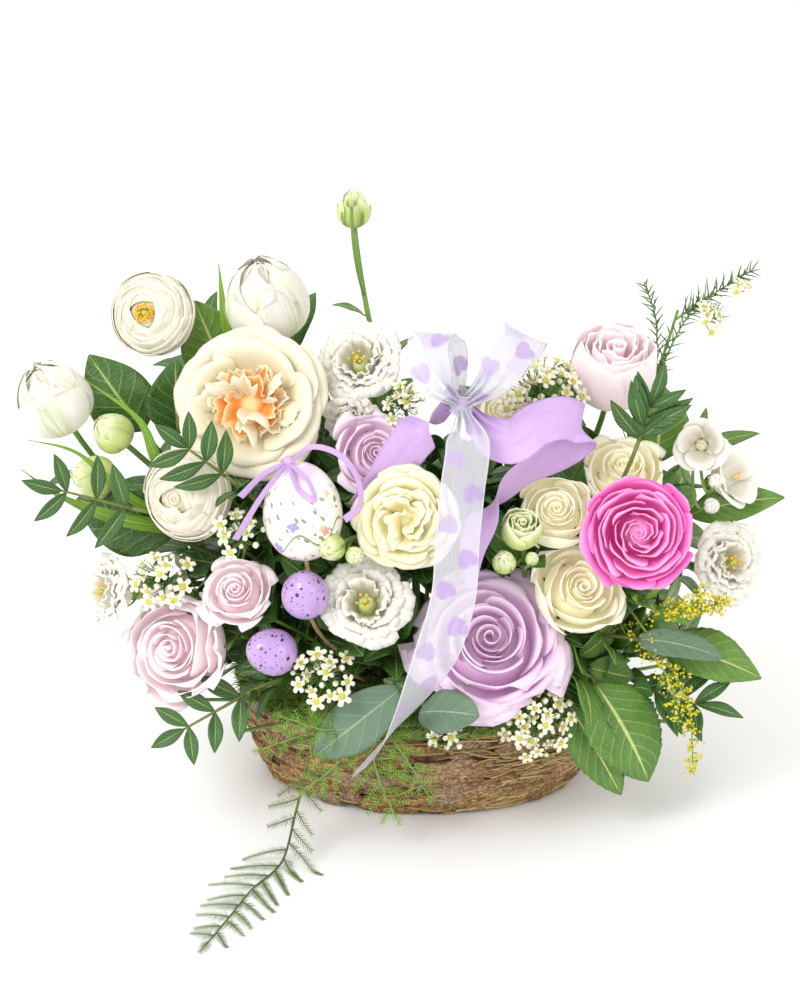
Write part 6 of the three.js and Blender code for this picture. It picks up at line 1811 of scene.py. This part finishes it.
def lay_wall(pile):
    """The wall: an oval shell, its outside rough with three waves."""
    angle = TAU / 180 * np.arange(180)
    rough = lambda z: (
        0.9 * np.sin(7 * angle + 0.21 * z) + 0.8 * np.sin(23 * angle - 0.5 * z)
        + 0.6 * np.sin(61 * angle + 0.9 * z)
    )
    levels = (0.4, 6, 12, 19, 26, 33, 40, 47, 54, 59)
    outside = [basket_point(angle, z, -2.2 + rough(z)) for z in levels]
    inside = [basket_point(angle, z, -6.6) for z in (59, 40, 20, 5)]
    pile.rings(np.stack(outside + inside)[None], 0, 0.4)


def lay_chips(pile, rand):
    """Bark chips: small ragged plates that follow the wall, each standing off it a little and tilted."""
    n = sizes().bark_chips
    draw = lambda: rand.random((n, 1, 1))
    around, level = TAU * draw(), mix(4.0, 57.0, draw())
    wide, tall = mix(7.0, 24.0, draw() ** 1.4), mix(3.0, 9.0, draw() ** 1.6)
    r = np.linspace(-1, 1, 8)[None, :, None]
    c = np.linspace(-1, 1, 12)[None, None, :]
    ragged = 1 + 0.18 * np.sin(5 * c + 9 * draw()) * np.abs(r) + 0.12 * np.sin(7 * r + 9 * draw())
    lean = 0.35 * rand.normal(size=(n, 1, 1))
    x = wide * ragged * c * np.sqrt(1 - 0.35 * r * r)
    y = tall * (r * (1 + 0.15 * np.sin(4 * c + 7 * draw())) + lean * c)
    out = mix(-0.4, 3.0, draw()) + 0.9 * rand.normal(size=(n, 1, 1)) * r * 0.6 + 0.5 * np.sin(3 * c + 5 * r)
    out = out + 0.45 * rand.normal(size=(n, 8, 12))
    chips = basket_point(around + x / 90, np.clip(level + y, 1.2, 61.0), out)
    pile.sheets(chips, 1.5, 0, rand.random(n), 0.5)


def lay_straw(pile, rand):
    """Straw: thin rods along the wall, close on the right end, with some loose ends."""
    n = sizes().straw_strands
    draw = lambda: rand.random((n, 1))
    middle = np.where(draw() < 0.72, mix(-1.25, 0.95, draw()), TAU * draw())
    span = mix(0.3, 1.0, draw())
    t = np.linspace(-0.5, 0.5, 14)[None, :]
    level = mix(3, 60, draw()) + t * (9 * rand.normal(size=(n, 1))) + 1.5 * np.sin(9 * t + 6 * draw())
    loose = (np.abs(t) * 2) ** 4 * (3.5 * draw() ** 3)
    straw = basket_point(middle + span * t, np.clip(level, 1.4, 62), 1.6 + 1.6 * draw() + loose)
    pile.tubes(straw, mix(0.35, 0.8, draw()), 5, 1, rand.random(n))


def wind_wire(pile, rand):
    """Wire: two strands twisted together that climb the wall on the slant, one way and the other."""
    t = np.linspace(0, 1, 40)
    turns = 13
    for k in range(turns):
        first = TAU * k / turns + 0.2 * rand.random()
        slant = 0.5 * (1 if k % 2 else -1)
        path = basket_point(first + slant * t, mix(1.5, 61, t), 2.9 + 0.6 * np.sin(19 * t + k))
        for phase in (0, math.pi):
            turn = 40 * t + phase
            pile.tubes(path + 0.35 * np.stack([0 * t, np.cos(turn), np.sin(turn)], axis=-1), 0.22, 5, 2)


def build_basket():
    """The basket: a rough wall with bark chips laid over it, straw bound along it and fine wire
    wound round it on the slant."""
    rand = np.random.default_rng(900)
    pile = Pile()
    lay_wall(pile)
    lay_chips(pile, rand)
    lay_straw(pile, rand)
    wind_wire(pile, rand)
    bark = bark_finish("bark", "#3f2b1c", "#9c744b", "#d6ac72", "#8c8276")
    make_piece("basket", pile, [bark, straw_finish("straw"), wire_finish("wire")], ["basket"])


# the moss mound's side from its lip to the foam: half length, half width, height
MOSS_SIDE = np.array([
    [116, 78, 61.5], [114, 76, 68], [98, 66, 76], [84, 56, 83], [73, 50, 85.5], [71, 48, 80],
])


def moss_point(angle, s):
    """The moss mound's upper side: s runs from the lip outside the rim, over the crown, to the foam."""
    k = np.clip(s * (len(MOSS_SIDE) - 1), 0, len(MOSS_SIDE) - 1.001)
    i = k.astype(int)
    long, wide, height = (mix(MOSS_SIDE[i, j], MOSS_SIDE[i + 1, j], k - i) for j in range(3))
    lumps = 1.2 * np.sin(9 * angle + 1.9 * 5 * s) + 0.9 * np.sin(17 * angle - 11 * s)
    lumps = lumps + 0.7 * np.sin(31 * angle + 7 * s)
    x, y = (long + lumps) * np.cos(angle), (wide + lumps) * np.sin(angle)
    return np.stack([x, y, height + 0.8 * lumps], axis=-1)


def build_moss():
    """The moss collar: a lumpy mound over the rim, with strands that stand up and curl from it."""
    rand = np.random.default_rng(950)
    pile = Pile()
    sides = 150
    angle = TAU / sides * np.arange(sides)
    rows = [moss_point(angle, np.full(sides, s)) for s in np.linspace(0, 1, 12)]
    for long, wide in ((71, 48), (98, 62), (114, 76)):  # the underside, from the foam to the lip
        rows.append(np.stack([long * np.cos(angle), wide * np.sin(angle), 0 * angle + 60.6], axis=-1))
    index = np.arange(len(rows) * sides).reshape(len(rows), sides)
    after = np.roll(index, -1, axis=1)
    up, up_after = np.roll(index, -1, axis=0), np.roll(after, -1, axis=0)
    faces = np.stack([index, after, up_after, up], axis=-1).reshape(-1, 4)
    pile.add(np.stack(rows), np.zeros((index.size, 2)), 0.3, 0.5, [(faces, 0, True)])
    n = sizes().moss_strands
    a, s = TAU * rand.random(n), rand.random(n) ** 0.8
    root = moss_point(a, s * 0.98)
    out = unit(np.stack([np.cos(a) * 0.9, np.sin(a) * 0.9, mix(0.0, 1.2, s)], axis=-1))
    way = unit(out + 0.75 * rand.normal(size=(n, 3)))
    length = mix(3.0, 9.0, rand.random(n) ** 1.5)
    tip = root + way * length[:, None]
    tip[:, 2] = np.maximum(tip[:, 2], 50)
    brown = rand.random(n) < 0.14 + 0.25 * (np.sin(3 * a + 1) > 0.6)
    for finish, chosen in ((0, ~brown), (1, brown)):
        k = chosen.sum()
        foot = root[chosen] - 0.6 * way[chosen]
        pile.spikes(foot, tip[chosen], np.full(k, 0.42), finish, rand.random(k), sag=0.8)
    make_piece("moss", pile, [needles_of("moss"), needles_of("moss_brown")], ["moss"])


@made_once
def foam_finish(name):
    """Wet floral foam: a dark green crumb with fine open pores, whose insides are painted dark, a painted
    shade.
    """
    f = Finish(name, Roughness=0.9)
    pores_and_shade = f.cells(f.place(), 900.0)
    patch = f.noise(f.place(), 60.0, 3)
    # Painted shade: the colour is darker inside each pore.
    colour = f.mix(f.mix("#2f5a30", "#47783f", patch), "#1c3a1e", 1 - pores_and_shade.rise(0.1, 0.45))
    return f.done(colour, pores_and_shade, 0.0006, 0.8)


@made_once
def liner_finish(name):
    """Thin dark plastic: soft creases and a dull gloss. Its colour follows the creases, lighter on their
    ridges and darker in their hollows, a painted shade.
    """
    f = Finish(name)
    crease_and_shade = f.noise(f.place(), 45.0, 3)
    f.set("Roughness", crease_and_shade * 0.3 + 0.3)
    # Painted shade: the colour is darker in the hollows of the creases.
    return f.done(f.mix("#20281c", "#323c2b", crease_and_shade), crease_and_shade, 0.001, 0.4)


def finish_hidden():
    """The liner, the foam and the bow's pick stay as modelled and get their own finishes."""
    finishes = {"liner": liner_finish("liner"), "foam": foam_finish("foam"), "bow_pick": wood_finish("wood")}
    for node, finish in finishes.items():
        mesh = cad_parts[node].data
        mesh.materials.clear()
        mesh.materials.append(finish)


# ---------------------------------------------------------------- stage

CAMERA = {"target": (-0.015, 0.0, 0.182), "distance": 1.5, "elevation": 24.0, "lens": 90.0}


@made_once
def floor_finish(name):
    """A plain pale floor, a little cloudy."""
    f = Finish(name, Roughness=0.75)
    cloud = f.noise(f.place(), 1.2, 2)
    f.set("Base Color", f.mix((0.93, 0.93, 0.94), (0.95, 0.95, 0.96), cloud))
    return f.material


def area_light(name, place, target, size, power):
    light = bpy.data.lights.new(name, "AREA")
    light.shape, light.size, light.energy = "SQUARE", size, power
    lamp = bpy.data.objects.new(name, light)
    bpy.context.scene.collection.objects.link(lamp)
    lamp.location = place
    way = np.subtract(target, place)
    lamp.rotation_mode = "QUATERNION"
    lamp.rotation_quaternion = Vector(way).to_track_quat("-Z", "Y")


def build_stage():
    """A plain pale floor, a large soft light from the upper left and a camera in front."""
    scene = bpy.context.scene
    mesh = bpy.data.meshes.new("floor")
    s, low = 9.0, -0.0002
    mesh.from_pydata([(-s, -s, low), (s, -s, low), (s, s, low), (-s, s, low)], [], [(0, 1, 2, 3)])
    floor = bpy.data.objects.new("floor", mesh)
    mesh.materials.append(floor_finish("floor"))
    scene.collection.objects.link(floor)
    floor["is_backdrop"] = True
    camera = bpy.data.objects.new("camera", bpy.data.cameras.new("camera"))
    scene.collection.objects.link(camera)
    camera.data.lens, camera.data.sensor_width = CAMERA["lens"], 36.0
    e = math.radians(CAMERA["elevation"])
    target = Vector(CAMERA["target"])
    camera.location = target + CAMERA["distance"] * Vector((0, -math.cos(e), math.sin(e)))
    camera.rotation_euler = (target - camera.location).to_track_quat("-Z", "Y").to_euler()
    camera.data.clip_end = 50
    scene.camera = camera
    world = bpy.data.worlds.new("studio")
    scene.world = world
    world.use_nodes = True
    background = next(n for n in world.node_tree.nodes if n.type == "BACKGROUND")
    background.inputs[0].default_value = (1, 0.985, 0.955, 1)
    background.inputs[1].default_value = 1.02
    area_light("key", (-1.1, -1.3, 1.7), (0, 0, 0.15), 0.9, 27)
    area_light("fill", (1.6, -1.2, 0.9), (0, 0, 0.15), 1.2, 7)
    area_light("back", (-0.3, 1.6, 1.5), (0, 0, 0.2), 1.0, 5)
    scene.view_settings.view_transform = "Standard"
    scene.view_settings.look = "None"


# ---------------------------------------------------------------- operators


def build_each(builder, table, start=""):
    """Builds each row of a table whose name begins with start."""
    for row in table:
        if row[0].startswith(start):
            builder(row[0])


def settle_round_things():
    """Heads, eggs and knots that leaves keep clear of, worked out before any leaf is drawn."""
    ROUND_THINGS.clear()
    rows = [row[2:6] for row in BLOOMS]
    rows += [head[:4] for heads in SIDE_HEADS.values() for head in heads]
    for kind, at, facing, size in rows:
        basis, origin = standing(at, facing)
        if kind in ("tulip", "rosebud", "bud"):
            for depth in (-0.6, 0.4):
                keep_clear(origin + depth * size * basis[:, 2], 0.82 * size)
        else:
            keep_clear(origin - 0.12 * size * basis[:, 2], 0.86 * size)
            keep_clear(origin + 0.9 * size * basis[:, 2], 0.8 * size)
    (_, at, facing, _, _), *small_eggs = EGGS
    basis, origin = standing(at, facing)
    for depth in (-14, 12, 26):
        keep_clear(origin + depth * basis[:, 2], 22)
    for _, at, _, radius, _ in small_eggs:
        keep_clear(at, radius + 2)
    for route in (SATIN_TAIL, SATIN_LOOP, ORGANZA_LEFT, ORGANZA_RIGHT, ORGANZA_TAIL):
        for place, _ in route:
            keep_clear(np.array(place) + [0, -3, 0], 12)


class ARRANGEMENT_OT_stage(bpy.types.Operator):
    """Adds the floor, the lights and the camera"""

    bl_idname = "arrangement.stage"
    bl_label = "Stage"
    bl_options = {"REGISTER", "UNDO"}

    def execute(self, context):
        build_stage()
        return {"FINISHED"}


class ARRANGEMENT_OT_room(bpy.types.Operator):
    """Notes the heads, eggs and ribbons that leaves keep clear of"""

    bl_idname = "arrangement.room"
    bl_label = "Room for heads"
    bl_options = {"REGISTER", "UNDO"}

    def execute(self, context):
        settle_round_things()
        return {"FINISHED"}


class ARRANGEMENT_OT_roses(bpy.types.Operator):
    """Adds the roses with their leaves"""

    bl_idname = "arrangement.roses"
    bl_label = "Roses"
    bl_options = {"REGISTER", "UNDO"}

    def execute(self, context):
        build_each(build_bloom, BLOOMS, "rose")
        return {"FINISHED"}


class ARRANGEMENT_OT_ranunculus(bpy.types.Operator):
    """Adds the ranunculus"""

    bl_idname = "arrangement.ranunculus"
    bl_label = "Ranunculus"
    bl_options = {"REGISTER", "UNDO"}

    def execute(self, context):
        build_each(build_bloom, BLOOMS, "ranunculus")
        return {"FINISHED"}


class ARRANGEMENT_OT_daffodils(bpy.types.Operator):
    """Adds the double daffodils"""

    bl_idname = "arrangement.daffodils"
    bl_label = "Daffodils"
    bl_options = {"REGISTER", "UNDO"}

    def execute(self, context):
        build_each(build_bloom, BLOOMS, "daffodil")
        return {"FINISHED"}


class ARRANGEMENT_OT_lisianthus(bpy.types.Operator):
    """Adds the lisianthus and their buds"""

    bl_idname = "arrangement.lisianthus"
    bl_label = "Lisianthus"
    bl_options = {"REGISTER", "UNDO"}

    def execute(self, context):
        build_each(build_bloom, BLOOMS, "lisianthus")
        return {"FINISHED"}


class ARRANGEMENT_OT_tulips(bpy.types.Operator):
    """Adds the tulips and their buds"""

    bl_idname = "arrangement.tulips"
    bl_label = "Tulips"
    bl_options = {"REGISTER", "UNDO"}

    def execute(self, context):
        build_each(build_bloom, BLOOMS, "tulip")
        return {"FINISHED"}


class ARRANGEMENT_OT_freesia(bpy.types.Operator):
    """Adds the freesia"""

    bl_idname = "arrangement.freesia"
    bl_label = "Freesia"
    bl_options = {"REGISTER", "UNDO"}

    def execute(self, context):
        build_bloom("freesia")
        return {"FINISHED"}


class ARRANGEMENT_OT_broad_leaves(bpy.types.Operator):
    """Adds the salal and eucalyptus leaves"""

    bl_idname = "arrangement.broad_leaves"
    bl_label = "Broad leaves"
    bl_options = {"REGISTER", "UNDO"}

    def execute(self, context):
        build_each(build_salal, SALAL)
        return {"FINISHED"}


class ARRANGEMENT_OT_filler_leaves(bpy.types.Operator):
    """Adds the leafy sprigs between the blooms"""

    bl_idname = "arrangement.filler_leaves"
    bl_label = "Filler leaves"
    bl_options = {"REGISTER", "UNDO"}

    def execute(self, context):
        build_filler()
        return {"FINISHED"}


class ARRANGEMENT_OT_pistachio(bpy.types.Operator):
    """Adds the pistachio sprigs"""

    bl_idname = "arrangement.pistachio"
    bl_label = "Pistachio"
    bl_options = {"REGISTER", "UNDO"}

    def execute(self, context):
        build_each(build_pistachio, PISTACHIO)
        return {"FINISHED"}


class ARRANGEMENT_OT_wax_flowers(bpy.types.Operator):
    """Adds the wax flower sprays"""

    bl_idname = "arrangement.wax_flowers"
    bl_label = "Wax flowers"
    bl_options = {"REGISTER", "UNDO"}

    def execute(self, context):
        build_each(build_wax, WAX_SPRAYS)
        build_tall_wax()
        return {"FINISHED"}


class ARRANGEMENT_OT_solidago(bpy.types.Operator):
    """Adds the goldenrod"""

    bl_idname = "arrangement.solidago"
    bl_label = "Goldenrod"
    bl_options = {"REGISTER", "UNDO"}

    def execute(self, context):
        build_solidago()
        return {"FINISHED"}


class ARRANGEMENT_OT_ferns(bpy.types.Operator):
    """Adds the ferns"""

    bl_idname = "arrangement.ferns"
    bl_label = "Ferns"
    bl_options = {"REGISTER", "UNDO"}

    def execute(self, context):
        build_ferns()
        return {"FINISHED"}


class ARRANGEMENT_OT_satin_ribbon(bpy.types.Operator):
    """Adds the satin ribbon"""

    bl_idname = "arrangement.satin_ribbon"
    bl_label = "Satin ribbon"
    bl_options = {"REGISTER", "UNDO"}

    def execute(self, context):
        build_satin()
        return {"FINISHED"}


class ARRANGEMENT_OT_organza_ribbon(bpy.types.Operator):
    """Adds the sheer ribbon with hearts"""

    bl_idname = "arrangement.organza_ribbon"
    bl_label = "Organza ribbon"
    bl_options = {"REGISTER", "UNDO"}

    def execute(self, context):
        build_organza()
        return {"FINISHED"}


class ARRANGEMENT_OT_eggs(bpy.types.Operator):
    """Adds the eggs on their picks and the small bow"""

    bl_idname = "arrangement.eggs"
    bl_label = "Eggs"
    bl_options = {"REGISTER", "UNDO"}

    def execute(self, context):
        build_eggs()
        build_egg_bow()
        return {"FINISHED"}


class ARRANGEMENT_OT_basket(bpy.types.Operator):
    """Adds the basket of bark, straw and wire"""

    bl_idname = "arrangement.basket"
    bl_label = "Basket"
    bl_options = {"REGISTER", "UNDO"}

    def execute(self, context):
        build_basket()
        return {"FINISHED"}


class ARRANGEMENT_OT_moss(bpy.types.Operator):
    """Adds the collar of moss"""

    bl_idname = "arrangement.moss"
    bl_label = "Moss"
    bl_options = {"REGISTER", "UNDO"}

    def execute(self, context):
        build_moss()
        return {"FINISHED"}


class ARRANGEMENT_OT_hidden_parts(bpy.types.Operator):
    """Finishes the liner, the foam and the bow's pick"""

    bl_idname = "arrangement.hidden_parts"
    bl_label = "Liner, foam and pick"
    bl_options = {"REGISTER", "UNDO"}

    def execute(self, context):
        finish_hidden()
        return {"FINISHED"}


OPERATORS = [
    ARRANGEMENT_OT_stage, ARRANGEMENT_OT_room, ARRANGEMENT_OT_roses, ARRANGEMENT_OT_ranunculus,
    ARRANGEMENT_OT_daffodils, ARRANGEMENT_OT_lisianthus, ARRANGEMENT_OT_tulips, ARRANGEMENT_OT_freesia,
    ARRANGEMENT_OT_broad_leaves, ARRANGEMENT_OT_filler_leaves, ARRANGEMENT_OT_pistachio,
    ARRANGEMENT_OT_wax_flowers, ARRANGEMENT_OT_solidago, ARRANGEMENT_OT_ferns,
    ARRANGEMENT_OT_satin_ribbon, ARRANGEMENT_OT_organza_ribbon, ARRANGEMENT_OT_eggs,
    ARRANGEMENT_OT_basket, ARRANGEMENT_OT_moss, ARRANGEMENT_OT_hidden_parts,
]


class ARRANGEMENT_PT_panel(bpy.types.Panel):
    """The arrangement's pieces and settings."""

    bl_label = "Flower basket"
    bl_idname = "ARRANGEMENT_PT_panel"
    bl_space_type = "VIEW_3D"
    bl_region_type = "UI"
    bl_category = "Flower basket"

    def draw(self, context):
        for group in (context.scene.arrangement_sizes, context.scene.arrangement_colours):
            for name in group.__annotations__:
                self.layout.prop(group, name)
        for kind in OPERATORS:
            self.layout.operator(kind.bl_idname)


CLASSES = [ArrangementSizes, ArrangementColours, *OPERATORS, ARRANGEMENT_PT_panel]


def register():
    for kind in CLASSES:
        bpy.utils.register_class(kind)
    bpy.types.Scene.arrangement_sizes = PointerProperty(type=ArrangementSizes)
    bpy.types.Scene.arrangement_colours = PointerProperty(type=ArrangementColours)


def unregister():
    del bpy.types.Scene.arrangement_sizes, bpy.types.Scene.arrangement_colours
    for kind in reversed(CLASSES):
        bpy.utils.unregister_class(kind)


def main():
    register()
    for kind in OPERATORS:
        section, name = kind.bl_idname.split(".")
        getattr(getattr(bpy.ops, section), name)()
    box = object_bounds()
    plain = lambda corners: [[float(x) for x in corner] for corner in corners]
    {"model": plain(MODEL_BOX), "visual": plain(box)}


if __name__ == "__main__":
    main()
